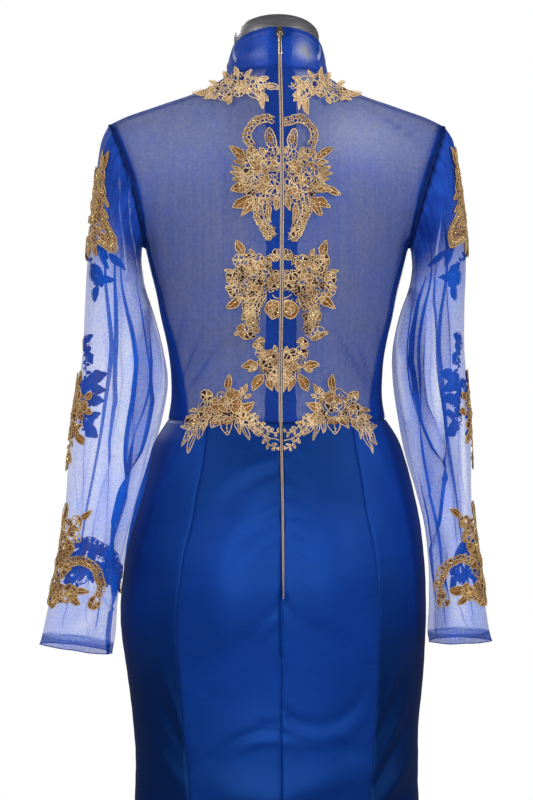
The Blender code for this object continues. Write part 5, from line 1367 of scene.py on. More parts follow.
# lengthwise folds, each by its path down the back of the sleeve: (height, distance from the centre, strength) rows,
# then half width and how far its layers stand apart
FOLDS_L = (
    (((1.245, 0.1900, 0.7), (1.200, 0.1895, 1.0), (1.129, 0.1920, 1.0), (1.084, 0.1895, 1.0), (1.039, 0.1985, 0.8), (0.992, 0.1985, 0.7), (0.947, 0.2005, 0.7), (0.917, 0.2040, 0.6), (0.890, 0.2060, 0.2)), 0.0062, 0.0028),
    (((1.215, 0.1780, 0.3), (1.170, 0.1700, 0.8), (1.129, 0.1660, 0.9), (1.084, 0.1670, 1.0), (1.039, 0.1755, 1.0), (0.982, 0.1820, 1.0), (0.937, 0.1880, 1.0), (0.900, 0.1915, 0.9), (0.870, 0.1905, 0.7), (0.840, 0.1900, 0.4)), 0.0058, 0.0026),
    (((1.180, 0.1500, 0.4), (1.129, 0.1450, 0.8), (1.084, 0.1460, 0.9), (1.026, 0.1600, 0.9), (0.982, 0.1745, 0.8), (0.945, 0.1840, 0.5)), 0.0050, 0.0022),
    (((1.160, 0.2060, 0.3), (1.129, 0.2030, 0.4), (1.039, 0.2210, 0.4), (0.992, 0.2290, 0.4), (0.955, 0.2340, 0.2)), 0.0022, 0.0012),
    (((1.022, 0.2020, 0.3), (0.988, 0.2090, 0.6), (0.935, 0.2165, 0.8), (0.882, 0.2225, 0.9), (0.866, 0.2230, 0.2)), 0.0034, 0.0018),
    (((0.860, 0.2230, 0.2), (0.838, 0.2245, 0.6), (0.812, 0.2200, 0.3)), 0.0024, 0.0014),
    (((0.900, 0.2000, 0.4), (0.870, 0.2080, 0.8), (0.845, 0.2000, 0.5)), 0.0040, 0.0024),
    (((0.885, 0.1900, 0.5), (0.845, 0.1945, 1.0), (0.805, 0.1975, 0.9), (0.790, 0.1990, 0.6)), 0.0050, 0.0022),
    (((1.010, 0.2400, 0.3), (0.970, 0.2350, 0.5), (0.935, 0.2370, 0.2)), 0.0020, 0.0010),
)
FOLDS_R = (
    (((1.235, 0.1690, 0.6), (1.200, 0.1600, 0.9), (1.160, 0.1530, 1.0), (1.129, 0.1500, 1.0), (1.090, 0.1550, 1.0), (1.060, 0.1620, 0.8), (1.030, 0.1740, 0.6), (1.010, 0.1860, 0.4)), 0.0064, 0.0028),
    (((1.250, 0.1830, 0.6), (1.200, 0.1790, 0.9), (1.129, 0.1840, 0.9), (1.084, 0.1900, 1.0), (1.041, 0.1930, 1.0), (0.998, 0.1905, 1.0), (0.943, 0.1830, 0.9), (0.915, 0.1770, 0.5)), 0.0052, 0.0024),
    (((1.200, 0.1680, 0.4), (1.129, 0.1680, 0.8), (1.080, 0.1720, 0.9), (1.035, 0.1840, 0.8), (1.010, 0.1890, 0.4)), 0.0044, 0.0020),
    (((1.050, 0.1690, 0.4), (1.010, 0.1830, 0.8), (0.990, 0.1880, 0.5)), 0.0034, 0.0016),
    (((1.060, 0.1960, 0.3), (1.037, 0.1975, 0.6), (0.998, 0.2000, 0.7), (0.931, 0.2035, 0.7), (0.890, 0.2060, 0.3)), 0.0030, 0.0015),
    (((1.060, 0.2120, 0.4), (1.000, 0.2130, 0.7), (0.930, 0.2190, 0.7), (0.905, 0.2210, 0.3)), 0.0026, 0.0014),
    (((1.230, 0.1960, 0.6), (1.180, 0.1980, 0.8), (1.129, 0.2010, 0.7), (1.080, 0.2030, 0.3)), 0.0036, 0.0018),
    (((1.000, 0.1600, 0.4), (0.950, 0.1700, 0.8), (0.910, 0.1740, 0.9), (0.870, 0.1790, 0.7), (0.840, 0.1830, 0.3)), 0.0046, 0.0022),
    (((0.860, 0.2040, 0.4), (0.835, 0.2110, 0.8), (0.812, 0.2190, 0.4)), 0.0028, 0.0016),
    (((0.905, 0.1930, 0.5), (0.875, 0.1900, 0.9), (0.850, 0.1960, 0.4)), 0.0042, 0.0022),
)
# the same sort of folds on the front, by degrees round from the outer edge, ring by ring
FOLDS_FRONT = (
    ((2, 300, 0.4), (4, 296, 0.9), (7, 290, 1.0), (10, 294, 0.8), (13, 300, 0.7), (15, 304, 0.4), 0.0050),
    ((3, 262, 0.5), (6, 258, 1.0), (9, 250, 0.9), (11, 244, 0.4), 0.0058),
    ((3, 222, 0.4), (6, 226, 0.9), (9, 234, 1.0), (12, 240, 1.0), (15, 244, 0.6), 0.0054),
    ((8, 318, 0.3), (11, 312, 0.7), (14, 308, 0.5), 0.0032),
    ((9, 206, 0.4), (12, 214, 0.8), (15.5, 220, 0.7), 0.0040),
    ((5, 276, 0.3), (8, 272, 0.6), (10, 276, 0.3), 0.0028),
)
# slits between folds, where the net is single and the light comes through, thinner there and paler by painted light:
# (height, distance from the centre, strength), half width
SLITS_L = (
    (((1.375, 0.1960, 0.4), (1.3625, 0.1898, 0.7), (1.3238, 0.1768, 1.0), (1.2954, 0.1678, 1.0), (1.2671, 0.1640, 0.9), (1.255, 0.1630, 0.2)), 0.0020),
    (((1.272, 0.1575, 0.4), (1.2644, 0.1562, 1.0), (1.2492, 0.1511, 1.0), (1.230, 0.1470, 0.2)), 0.0016),
    (((1.345, 0.1930, 0.3), (1.310, 0.1850, 0.6), (1.270, 0.1790, 0.7), (1.235, 0.1760, 0.4)), 0.0013),
    (((1.225, 0.1740, 0.1), (1.170, 0.1760, 0.24), (1.055, 0.1830, 0.24), (0.961, 0.1900, 0.16), (0.930, 0.1930, 0.05)), 0.0060),
    (((1.225, 0.2080, 0.1), (1.170, 0.2110, 0.18), (1.055, 0.2130, 0.18), (0.961, 0.2180, 0.12)), 0.0090),
    (((1.200, 0.1300, 0.2), (1.170, 0.1330, 0.4), (1.100, 0.1330, 0.4), (1.040, 0.1450, 0.35), (1.000, 0.1540, 0.2)), 0.0045),
    (((0.840, 0.2150, 0.1), (0.825, 0.2300, 0.22), (0.812, 0.2400, 0.1)), 0.0100),
    # and bands where it lies double or threefold, denser and darker by painted shade
    (((1.225, 0.1470, -0.25), (1.1726, 0.1510, -0.31), (1.100, 0.1540, -0.34), (1.020, 0.1690, -0.34), (0.961, 0.1800, -0.31), (0.914, 0.1880, -0.28), (0.860, 0.1930, -0.25)), 0.0105),
)
SLITS_R = (
    (((1.350, 0.1700, 0.3), (1.320, 0.1620, 0.8), (1.290, 0.1560, 0.9), (1.262, 0.1520, 0.4)), 0.0014),
    (((1.300, 0.1880, 0.4), (1.270, 0.1830, 0.8), (1.240, 0.1800, 0.5)), 0.0013),
    (((1.225, 0.1760, 0.2), (1.170, 0.1780, 0.40), (1.100, 0.1800, 0.40), (1.067, 0.1815, 0.30), (1.040, 0.1830, 0.10)), 0.0050),
    (((1.090, 0.2110, 0.2), (1.062, 0.2140, 0.50), (0.990, 0.2155, 0.50), (0.931, 0.2170, 0.40), (0.918, 0.2170, 0.10)), 0.0032),
    (((1.215, 0.1340, 0.2), (1.170, 0.1370, 0.5), (1.110, 0.1390, 0.5), (1.060, 0.1460, 0.3)), 0.0050),
    (((0.870, 0.2050, 0.1), (0.840, 0.2080, 0.30), (0.812, 0.2120, 0.15)), 0.0110),
    (((1.225, 0.1550, -0.25), (1.170, 0.1570, -0.31), (1.113, 0.1590, -0.34), (1.054, 0.1660, -0.31), (1.006, 0.1730, -0.31), (0.958, 0.1780, -0.31), (0.900, 0.1850, -0.31), (0.850, 0.1860, -0.28), (0.815, 0.1850, -0.30)), 0.0105),
    (((1.225, 0.1920, -0.1), (1.170, 0.1940, -0.22), (1.054, 0.1970, -0.25), (0.958, 0.2040, -0.22), (0.920, 0.2060, -0.10)), 0.0090),
)
# gathers into the armhole: degrees, half width in degrees, ring where they end, strength
GATHERS = ((18, 3.0, 2.4, 0.5), (32, 3.4, 3.0, 0.8), (46, 3.0, 3.6, 0.9), (58, 3.6, 4.6, 1.0), (71, 3.0, 4.0, 0.9), (84, 3.8, 5.4, 1.0),
           (97, 3.2, 4.6, 0.9), (109, 3.6, 5.2, 1.0), (122, 3.2, 4.4, 0.9), (136, 3.4, 4.8, 1.0), (150, 3.0, 3.8, 0.8), (166, 3.0, 3.2, 0.6),
           (196, 3.2, 3.6, 0.7), (212, 3.4, 4.4, 0.9), (228, 3.4, 5.0, 1.0), (243, 3.2, 4.2, 0.9), (259, 3.8, 5.2, 1.0), (276, 3.2, 4.4, 0.9),
           (292, 3.6, 4.8, 0.9), (309, 3.2, 3.6, 0.8), (326, 3.4, 2.8, 0.6))
ROW_STEPS, ROUND = 10, 260


def ring_of(row, i, degs):
    """One smooth ring of a sleeve, as the part makes its own."""
    ox, oz, ix, iz, depth, ym = row
    a = np.radians(degs)
    outer, inner = np.array((ox, 0, oz)), np.array((ix, 0, iz))
    p = (outer + inner) / 2 + (outer - inner) / 2 * np.cos(a)[:, None]
    p[:, 1] = ym + depth * np.sin(a)
    p[:, 0] -= ARM_DIP * max(0.0, 1 - 0.5 * i) * np.sin(a) ** 2
    middle = np.array(((ox + ix) / 2, ym, (oz + iz) / 2))
    ramp = min(1.0, max(0.0, (i - 0.5) / 3)) * (1 - 0.45 * max(0, i - 12) / 4)
    dent = np.zeros(len(degs))
    for at, wide, deep in SLEEVE_FOLDS:
        off = (degs - (at + 10 * math.sin(0.55 * i + at)) + 180) % 360 - 180
        dent += deep * np.exp(-((off / wide) ** 2))
    away = middle - p
    return p + away / np.linalg.norm(away, axis=1, keepdims=True) * (dent * ramp)[:, None]


def sleeve_paths(folds, rows):
    """Each back fold as degrees and strength at each fine ring."""
    found = []
    mid_z = (rows[:, 1] + rows[:, 3]) / 2
    for table, wide, apart in folds:
        t = np.array(sorted(table))
        x = np.interp(mid_z, t[:, 0], t[:, 1])
        strong = np.interp(mid_z, t[:, 0], t[:, 2], left=0, right=0)
        half, mid = (rows[:, 0] - rows[:, 2]) / 2, (rows[:, 0] + rows[:, 2]) / 2
        found.append((np.degrees(np.arccos(np.clip((x - mid) / half, -0.97, 0.97))), strong, wide, apart))
    return found


def sleeve_surface(table, folds, slits, seed):
    """Fine rings of a +X sleeve with its folds, how far the cloth is doubled, which also paints shade and light into
    its colour, and the fine rows of its table.
    """
    rows = finer(np.array(table), ROW_STEPS, 0)
    count = len(rows)
    ring_no = np.arange(count) / ROW_STEPS
    degs = np.arange(ROUND) * 360 / ROUND
    paths = sleeve_paths(folds, rows)
    open_paths = sleeve_paths([(t, w, 0.0) for t, w in slits], rows)
    for entry in FOLDS_FRONT:
        t = np.array(entry[:-1], float)
        strong = np.interp(ring_no, t[:, 0], t[:, 2], left=0, right=0)
        paths.append((np.interp(ring_no, t[:, 0], t[:, 1]) + seed, strong, entry[-1], entry[-1] * 0.45))
    net, dense_and_painted_light = [], []
    for r in range(count):
        i = ring_no[r]
        base = ring_of(rows[r], i, degs)
        radius = (rows[r, 0] - rows[r, 2]) / 4 + rows[r, 4] / 2
        shift, lift, thick = np.zeros(ROUND), np.zeros(ROUND), np.zeros(ROUND)
        for at, strong, wide, apart in paths:
            s = strong[r]
            if s <= 0.01:
                continue
            wob = at[r] + 1.6 * math.sin(r * 0.19 + at[0])
            w = math.degrees(1.35 * wide / radius) * (0.70 + 0.30 * s)
            t = ((degs - wob + 180) % 360 - 180) / w
            bell = np.exp(-t * t)
            shift += -2.3 * s * w * t * bell
            lift += -apart * s * t * np.exp(-0.5 * t * t) * 1.3
            # denser along each fold's middle, darker there by painted shade
            thick += 0.40 * s * np.exp(-((t / 0.62) ** 2)) - 0.05 * s * np.exp(-(((abs(t) - 1.7) / 0.6) ** 2))
        for at, w, end, s in GATHERS:
            fade = max(0.0, 1 - i / end)
            if fade > 0:
                t = ((degs - at - seed * 0.4 - 1.5 * i + 180) % 360 - 180) / (w * (1 + 0.25 * i))
                bell = np.exp(-t * t)
                lift += (0.0017 * s * fade * min(1, i / 0.25 + 0.15)) * bell
                shift += -1.3 * s * fade * min(1, i / 0.3) * w * t * bell
                thick += 0.20 * s * fade * bell
        # the wide soft waves between the folds
        lift += 0.0010 * min(1, i) * np.sin(np.radians(degs * 5 + 40 * math.sin(i * 0.6) + seed * 7)) * np.sin(i * 0.9 + np.radians(degs))
        where = (degs + shift) % 360
        ext = np.concatenate([degs, [360.0]])
        p = np.stack([np.interp(where, ext, np.append(base[:, k], base[0, k])) for k in range(3)], axis=1)
        mid = base.mean(axis=0)
        away = p - mid
        away /= np.linalg.norm(away, axis=1, keepdims=True)
        p = p + away * lift[:, None]
        # close to the armhole the cloth is drawn up, denser and darker by painted shade, most towards the back; the
        # right sleeve a little denser all over, and both towards the cuff
        head = 0.75 * math.exp(-((i / 0.42) ** 2)) + 0.60 * math.exp(-((i / 4.1) ** 3.6)) + 0.10 * math.exp(-((i / 8.0) ** 3.0))
        thick += head * (0.80 + 0.20 * np.cos(np.radians(degs - 115))) + (0.06 if seed else 0.0) + 0.07 * max(0.0, (i - 11) / 5)
        # the inner side hangs in closer gathers, denser and darker by painted shade
        thick += 0.20 * (0.5 - 0.5 * np.cos(np.radians(degs))) ** 1.5 * math.exp(-((i - 7) / 5.0) ** 2)
        for at, strong, wide, _ in open_paths:
            t = ((degs - at[r] + 180) % 360 - 180) / math.degrees(wide / radius)
            thick -= 0.85 * strong[r] * np.exp(-t * t if strong[r] > 0 else -abs(t) ** 3.0)
        net.append(p)
        dense_and_painted_light.append(thick)
    return np.array(net), np.array(dense_and_painted_light), rows


def cuff_dense(net, dense_and_painted_light, fold_up=0.011):
    """The turned hem is doubled: denser, and darker by painted shade."""
    low = net[-1]
    d = np.linalg.norm(net - low[None], axis=2)
    return dense_and_painted_light + 0.34 * (1 - taper(d, fold_up - 0.0008, fold_up + 0.0008)) + 0.16 * np.exp(-((d - fold_up) / 0.0010) ** 2)


SLEEVE_NETS = {}
for side, table, folds, slits, sign, seed in (("l", SLEEVE_L, FOLDS_L, SLITS_L, 1, 0.0), ("r", SLEEVE_R, FOLDS_R, SLITS_R, -1, 7.0)):
    net, dense_and_painted_light, rows = sleeve_surface(table, folds, slits, seed)
    net = net * (sign, 1, 1)
    normals = outward_normals(net, closed=True)
    dense_and_painted_light = cuff_dense(net, dense_and_painted_light)
    # a hem that waves a little
    step = np.arange(net.shape[1]) * 2 * math.pi / net.shape[1]
    for k in range(12):
        w = (1 - k / 12) ** 2
        net[-1 - k] += normals[-1 - k] * (w * (0.0014 * np.sin(3 * step + 1) + 0.0009 * np.sin(7 * step)))[:, None]
    obj = sheet_mesh("net_sleeve_" + side, net, normals, net_sleeve.mat, closed=True, values={"dense_and_painted_light": dense_and_painted_light})
    body(obj, "net", "sleeve_" + side)
    SLEEVE_NETS[side] = net, normals
    around = np.concatenate([net, net[:, :1]], axis=1)
    wide = max(np.linalg.norm(np.diff(row, axis=0), axis=1).sum() for row in around)
    tall = max(np.linalg.norm(np.diff(net[:, j], axis=0), axis=1).sum() for j in range(0, net.shape[1], 20))
    min(area_of(net, True), wide * tall)
    # the hem's fold; its stitched upper edge is only the denser line in the net
    hem = Heap()
    hem.tube(np.concatenate([net[-1], net[-1][:1]]), 0.0006, 0, 5, up=np.concatenate([normals[-1], normals[-1][:1]]))
    body(hem.make("sleeve_hem_" + side, [thread_blue.mat]), "net")


# ---- zip -------------------------------------------------------------------------------

ZIP_LINE = finer(line, 12, 0)
tangent_ = np.gradient(ZIP_LINE, axis=0)
tangent_ /= np.linalg.norm(tangent_, axis=1, keepdims=True)
ZIP_OUT = np.stack([np.zeros(len(ZIP_LINE)), tangent_[:, 2], -tangent_[:, 1]], axis=1)
reach_ = np.concatenate([[0], np.cumsum(np.linalg.norm(np.diff(ZIP_LINE, axis=0), axis=1))])

teeth_metal = Finish("teeth_metal", Roughness=0.45, Specular_IOR_Level=0.4)
teeth_metal.to("Base Color", teeth_metal.mix(teeth_metal.span(teeth_metal.noise(500.0, 3.0), 0.3, 0.7), linear(156, 136, 122), linear(194, 172, 152)))
teeth_metal.bump(teeth_metal.noise(900.0, 2.0), 0.2, 0.0001)
# the cord at the chain's middle, its dark brown painted shade of the groove between the two rows of teeth
core_shade = Finish("zip_core_cord_shade", Roughness=0.7, Specular_IOR_Level=0.2)
core_shade.to("Base Color", core_shade.mix(core_shade.span(core_shade.wave(500.0, "Z", 0.5), 0.2, 0.8), linear(56, 44, 46), linear(88, 72, 70)))
core_shade.bump(core_shade.wave(500.0, "Z", 0.5), 0.3, 0.0002)

teeth = Heap()
PITCH = 0.0019
for n, s in enumerate(np.arange(0.0005, reach_[-1] - 0.0012, PITCH / 2)):
    side = 1 if n % 2 else -1
    height = float(np.interp(s, reach_, ZIP_LINE[:, 2]))
    half_w = zip_half(height) * (0.62 + 0.38 * taper(height, ZIP_END_Z, 0.905))
    p = np.array([np.interp(s, reach_, ZIP_LINE[:, k]) for k in range(3)])
    o = np.array([np.interp(s, reach_, ZIP_OUT[:, k]) for k in range(3)])
    p = p + o * (0.0011 * (1 - taper(p[2], ZIP_END_Z, 0.905)) + 0.0006 * (1 - taper(p[2], ZIP_END_Z, 0.892)))
    t = np.cross(o, (1, 0, 0))
    t /= np.linalg.norm(t)
    verts = []
    for along in (-0.47, 0.47):
        for x, out_ in ((half_w, -0.0006), (half_w, 0.0004), (half_w * 0.84, 0.0010), (0.34 * half_w, 0.0010), (0.24 * half_w, 0.0004), (0.24 * half_w, -0.0006)):
            verts.append(p + np.array((side * x, 0, 0)) + t * along * PITCH + o * out_)
    faces = [tuple(range(6)), tuple(range(11, 5, -1))] + [(k, k + 6, (k + 1) % 6 + 6, (k + 1) % 6) for k in range(6)]
    teeth.add(verts, faces if side > 0 else [f[::-1] for f in faces], 0)
teeth.tube(ZIP_LINE - ZIP_OUT * 0.0002, np.array([min(0.0016, 0.9 * zip_half(z)) for z in ZIP_LINE[:, 2]]), 1, 8, flat=0.35, up=ZIP_OUT)
body(teeth.make("zip_teeth", [teeth_metal.mat, core_shade.mat], smooth=False), "zip_metal", "zip_chain")

bright = Finish("zip_bright_metal", Metallic=1.0, Roughness=0.26)
bright.to("Base Color", bright.mix(bright.span(bright.noise(160.0, 3.0), 0.3, 0.7), linear(206, 186, 160), linear(238, 222, 200)))
bright.bump(bright.noise(420.0, 3.0), 0.10, 0.0001)
# the slider a darker metal than the pull and the stops
darker_metal = Finish("zip_slider_metal_finish", Metallic=1.0, Roughness=0.30)
darker_metal.to("Base Color", darker_metal.mix(darker_metal.span(darker_metal.noise(160.0, 3.0), 0.3, 0.7), linear(120, 108, 96), linear(158, 144, 128)))
darker_metal.bump(darker_metal.noise(420.0, 3.0), 0.10, 0.0001)
for node, made in (("zip_slider", darker_metal), ("zip_pull", bright), ("zip_stop_l", bright), ("zip_stop_r", bright)):
    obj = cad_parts[node]
    obj.data.materials.clear()
    obj.data.materials.append(made.mat)

# tapes
tapes_net, tapes_n = [], []
STEPS = 9
for z in np.arange(ZIP_END_Z, 1.0595, 0.006):
    found = [back_point(x, min(z, WAIST_Z - 1e-6)) for x in np.linspace(CENTRE_EDGE, TAPE_W, STEPS)]
    tapes_net.append([q[0] for q in found])
    tapes_n.append([q[1] for q in found])
for grid, grid_n in ((BACK_FINE[:-1], BACK_FINE_N[:-1]),):
    for row, row_n in zip(grid, grid_n):
        xs = np.linspace(CENTRE_EDGE, TAPE_W, STEPS)
        tapes_net.append([[np.interp(x, row[:, 0], row[:, k]) for k in range(3)] for x in xs])
        tapes_n.append([[np.interp(x, row[:, 0], row_n[:, k]) for k in range(3)] for x in xs])
half = len(COLLAR_TURNS) * 3
for row, row_n in zip(collar_fine, collar_n):
    keep = (row[:, 0] >= 0) & (row[:, 1] > 0)
    order = np.argsort(row[keep][:, 0])
    r_, n_ = row[keep][order], row_n[keep][order]
    xs = np.linspace(CENTRE_EDGE, 0.0135, STEPS)
    tapes_net.append([[np.interp(x, r_[:, 0], r_[:, k]) for k in range(3)] for x in xs])
    tapes_n.append([[np.interp(x, r_[:, 0], n_[:, k]) for k in range(3)] for x in xs])
tapes_net, tapes_n = np.array(tapes_net), np.array(tapes_n)
tapes_n /= np.linalg.norm(tapes_n, axis=2, keepdims=True)
wander_ = 0.0007 * np.sin(tapes_net[:, -1, 2] * 90) + 0.0005 * np.sin(tapes_net[:, -1, 2] * 233)
tapes_net[:, -1, 0] += wander_
for side, f in (("l", np.array((1, 1, 1))), ("r", flip)):
    net, normals = tapes_net * f, tapes_n * f
    obj = shell_mesh("zip_tape_cloth_" + side, net - normals * 0.0022, normals, 0.0007, tape.mat)
    body(obj, "zip_tape", "zip_tape_" + side)
    wide = max(np.linalg.norm(np.diff(row, axis=0), axis=1).sum() for row in net)
    tall = max(np.linalg.norm(np.diff(net[:, j], axis=0), axis=1).sum() for j in (0, 4, STEPS - 1))
    min(area_of(net), wide * tall)


# ---- corded lace --------------------------------------------------------------------------

cord_gold = Finish("lace_cord", Roughness=0.52, Specular_IOR_Level=0.5, Sheen_Weight=0.2, Sheen_Tint=(1.0, 0.86, 0.62))
ply = cord_gold.noise(700.0, 3.0, 0.65)
cord_gold.to("Base Color", cord_gold.mix(cord_gold.span(cord_gold.math("ADD", cord_gold.math("MULTIPLY", ply, 0.6), cord_gold.math("MULTIPLY", cord_gold.noise(60.0, 3.0), 0.4)), 0.34, 0.66),
                                         linear(106, 68, 32), linear(246, 214, 166)))
cord_gold.bump(ply, 0.6, 0.0004)
fill_gold = Finish("lace_fill", Metallic=0.35, Roughness=0.44, Specular_IOR_Level=0.4)
stitch = fill_gold.noise(620.0, 3.0, 0.7)
fill_gold.to("Base Color", fill_gold.mix(fill_gold.span(stitch, 0.34, 0.66), linear(42, 22, 8), linear(166, 108, 38)))
fill_gold.bump(stitch, 0.9, 0.0006)
bead_gold = Finish("lace_bead", Metallic=0.7, Roughness=0.16)
bead_gold.to("Base Color", bead_gold.mix(bead_gold.span(bead_gold.noise(130.0, 2.0), 0.3, 0.7), linear(226, 176, 70), linear(255, 236, 176)))
bead_gold.bump(bead_gold.noise(900.0, 2.0), 0.05, 0.0001)
# painted shade: dark plates in the lace's open cells, for the shade under the raised cords
painted_shade_net = Finish("lace_under_net", Roughness=0.85, Specular_IOR_Level=0.08)
painted_shade_net.to("Base Color", painted_shade_net.mix(painted_shade_net.span(painted_shade_net.noise(240.0, 3.0), 0.3, 0.7), linear(26, 20, 34), linear(66, 44, 40)))
painted_shade_net.bump(painted_shade_net.noise(600.0, 3.0), 0.4, 0.0003)
# painted shade: a darker copy of the cord for the sleeves' motifs, which lie in shade
cord_ochre = Finish("lace_cord_ochre", Roughness=0.55, Specular_IOR_Level=0.45, Sheen_Weight=0.12, Sheen_Tint=(1.0, 0.80, 0.50))
ply = cord_ochre.noise(700.0, 3.0, 0.65)
cord_ochre.to("Base Color", cord_ochre.mix(cord_ochre.span(cord_ochre.math("ADD", cord_ochre.math("MULTIPLY", ply, 0.6), cord_ochre.math("MULTIPLY", cord_ochre.noise(60.0, 3.0), 0.4)), 0.34, 0.66),
                                           linear(108, 76, 42), linear(216, 178, 124)))
cord_ochre.bump(ply, 0.6, 0.0004)
# painted shade of the sleeves' lace: the dark plates in its open cells and its wrong side, seen through the sleeve
painted_shade_sleeve = Finish("lace_under_sleeve", Roughness=0.85, Specular_IOR_Level=0.08)
painted_shade_sleeve.to("Base Color", painted_shade_sleeve.mix(painted_shade_sleeve.span(painted_shade_sleeve.noise(240.0, 3.0), 0.3, 0.7), linear(80, 54, 58), linear(120, 84, 72)))
painted_shade_sleeve.bump(painted_shade_sleeve.noise(600.0, 3.0), 0.4, 0.0003)
# painted light: a paler copy of the cord and fill for the pieces on the shoulders, where the light falls from above
cord_lit = Finish("lace_cord_pale", Roughness=0.50, Specular_IOR_Level=0.5, Sheen_Weight=0.2, Sheen_Tint=(1.0, 0.88, 0.68))
ply = cord_lit.noise(700.0, 3.0, 0.65)
cord_lit.to("Base Color", cord_lit.mix(cord_lit.span(cord_lit.math("ADD", cord_lit.math("MULTIPLY", ply, 0.6), cord_lit.math("MULTIPLY", cord_lit.noise(60.0, 3.0), 0.4)), 0.34, 0.66),
                                         linear(186, 142, 92), linear(255, 232, 192)))
cord_lit.bump(ply, 0.6, 0.0004)
fill_lit = Finish("lace_fill_pale", Metallic=0.2, Roughness=0.46, Specular_IOR_Level=0.4)
stitch = fill_lit.noise(620.0, 3.0, 0.7)
fill_lit.to("Base Color", fill_lit.mix(fill_lit.span(stitch, 0.34, 0.66), linear(150, 106, 58), linear(236, 198, 140)))
fill_lit.bump(stitch, 0.9, 0.0006)
LACE_MATS = [cord_gold.mat, fill_gold.mat, bead_gold.mat, painted_shade_net.mat]
CORD, FILL, BEAD, SHADE_PLATE = 0, 1, 2, 3

PX = 0.00119                                                   # a motif unit, in metres


def bilinear(table, fi, fj):
    """Values of a grid at fractional places, held to its edges."""
    i = np.clip(np.floor(fi).astype(int), 0, table.shape[0] - 2)
    j = np.clip(np.floor(fj).astype(int), 0, table.shape[1] - 2)
    b, a = np.clip(fi - i, 0, 1)[..., None], np.clip(fj - j, 0, 1)[..., None]
    return table[i, j] * (1 - a) * (1 - b) + table[i, j + 1] * a * (1 - b) + table[i + 1, j] * (1 - a) * b + table[i + 1, j + 1] * a * b


class BackCloth:
    """The outer face of the back, as a lookup by x and height: y, and its outward direction."""

    def __init__(self):
        self.xs = np.linspace(-0.200, 0.200, 481)
        self.zs = np.linspace(0.985, 1.470, 290)
        half = np.linspace(0.0, 0.200, 241)
        rows = []
        for z in np.arange(0.980, 1.0595, 0.003):
            degs_ = np.linspace(0, 89.5, 120)
            p = ring_points(z, degs_)
            q, w = ring_points(z, degs_ + 0.4), ring_points(z - 0.003, degs_)
            n = np.cross(q - p, p - w)
            n /= np.linalg.norm(n, axis=1, keepdims=True)
            n *= np.sign(n[:, 1:2])
            both = np.concatenate([p, n], axis=1)
            rows.append([np.interp(half, both[:, 0], both[:, k]) for k in (1, 2, 3, 4, 5)])
        for row, row_n in zip(BACK_FINE[1:], BACK_FINE_N[1:]):
            both = np.concatenate([row, row_n], axis=1)
            rows.append([np.interp(half, both[:, 0], both[:, k]) for k in (1, 2, 3, 4, 5)])
        rows = np.array(rows)                                  # row, value, x
        table = np.zeros((len(self.zs), len(half), 4))
        for j in range(len(half)):
            z = np.maximum.accumulate(rows[:, 1, j] + np.arange(len(rows)) * 1e-9)
            for k, v in enumerate((0, 2, 3, 4)):
                table[:, j, k] = np.interp(self.zs, z, rows[:, v, j])
        mirror = table[:, :0:-1] * (1, -1, 1, 1)
        table = np.concatenate([mirror, table], axis=1)
        table[..., 1:] /= np.linalg.norm(table[..., 1:], axis=2, keepdims=True)
        X, Z = np.meshgrid(self.xs, self.zs)
        rise = np.where(Z > WAIST_Z, creases(NET_CREASES, X, Z), 1.15 * creases(BACK_CREASES, X, Z) - 0.0009)
        self.table = np.concatenate([table, rise[..., None]], axis=2)

    def at(self, x, z):
        v = bilinear(self.table, (z - self.zs[0]) / (self.zs[1] - self.zs[0]), (x - self.xs[0]) / (self.xs[1] - self.xs[0]))
        n = v[..., 1:4] / np.linalg.norm(v[..., 1:4], axis=-1, keepdims=True)
        return np.stack([x, v[..., 0], z], axis=-1) + n * v[..., 4:5], n


BACK_CLOTH = BackCloth()


def back_place(uv, side):
    """Motif units, as seen from behind with the zip at 282, to the back's cloth."""
    uv = np.asarray(uv, float)
    x0, z0 = (277 - uv[..., 0]) * PX + 0.0012, WAIST_Z + (418 - uv[..., 1]) * PX
    depth = np.full(x0.shape, 0.088)
    for _ in range(2):
        x = np.maximum((x0 + depth * 0.052) / (1 + depth / 2.5), 0.0031)
        z = 1.2 + (z0 - 1.2) / (1 + depth / 2.5)
        depth = BACK_CLOTH.at(x, z)[0][..., 1]
    return BACK_CLOTH.at(x * side, z)


ROUND_MM, DOWN_MM = np.arange(-110.0, 82.5, 1.0), np.arange(0.0, 606.0, 2.0)


def sleeve_table(table, sign):
    """Points and outward directions of a sleeve, by millimetres round from its outer edge and down from the shoulder."""
    rows = finer(np.array(table), ROW_STEPS, 0)
    degs_ = np.arange(180) * 2.0
    net = np.array([ring_of(rows[r], r / ROW_STEPS, degs_) for r in range(len(rows))]) * (sign, 1, 1)
    normals = outward_normals(net, closed=True)
    along = np.concatenate([[0], np.cumsum(np.linalg.norm(np.diff(net[:, 0], axis=0), axis=1))])
    girth = np.linalg.norm(np.roll(net, -1, 1) - net, axis=2)
    arc = np.cumsum(np.concatenate([-girth[:, -90:].sum(axis=1, keepdims=True), girth[:, -90:], girth[:, :89]], axis=1), axis=1)
    both = np.concatenate([net, normals], axis=2)
    both = np.concatenate([both[:, -90:], both[:, :90]], axis=1)
    wrapped = np.array([[np.interp(ROUND_MM * 0.001, arc[r], both[r, :, k]) for k in range(6)] for r in range(len(rows))])
    return np.array([[[np.interp(v * 0.001, along, wrapped[:, k, c]) for k in range(6)] for c in range(len(ROUND_MM))] for v in DOWN_MM])


SLEEVE_TABLES = {"l": sleeve_table(SLEEVE_L, 1), "r": sleeve_table(SLEEVE_R, -1)}


def sleeve_place(uv, side, shift=0.0):
    uv = np.asarray(uv, float)
    v = bilinear(SLEEVE_TABLES[side], uv[..., 1] / 2.0, uv[..., 0] + shift + 110.0)
    n = v[..., 3:6] / np.linalg.norm(v[..., 3:6], axis=-1, keepdims=True)
    return v[..., :3] + n * 0.0016, n


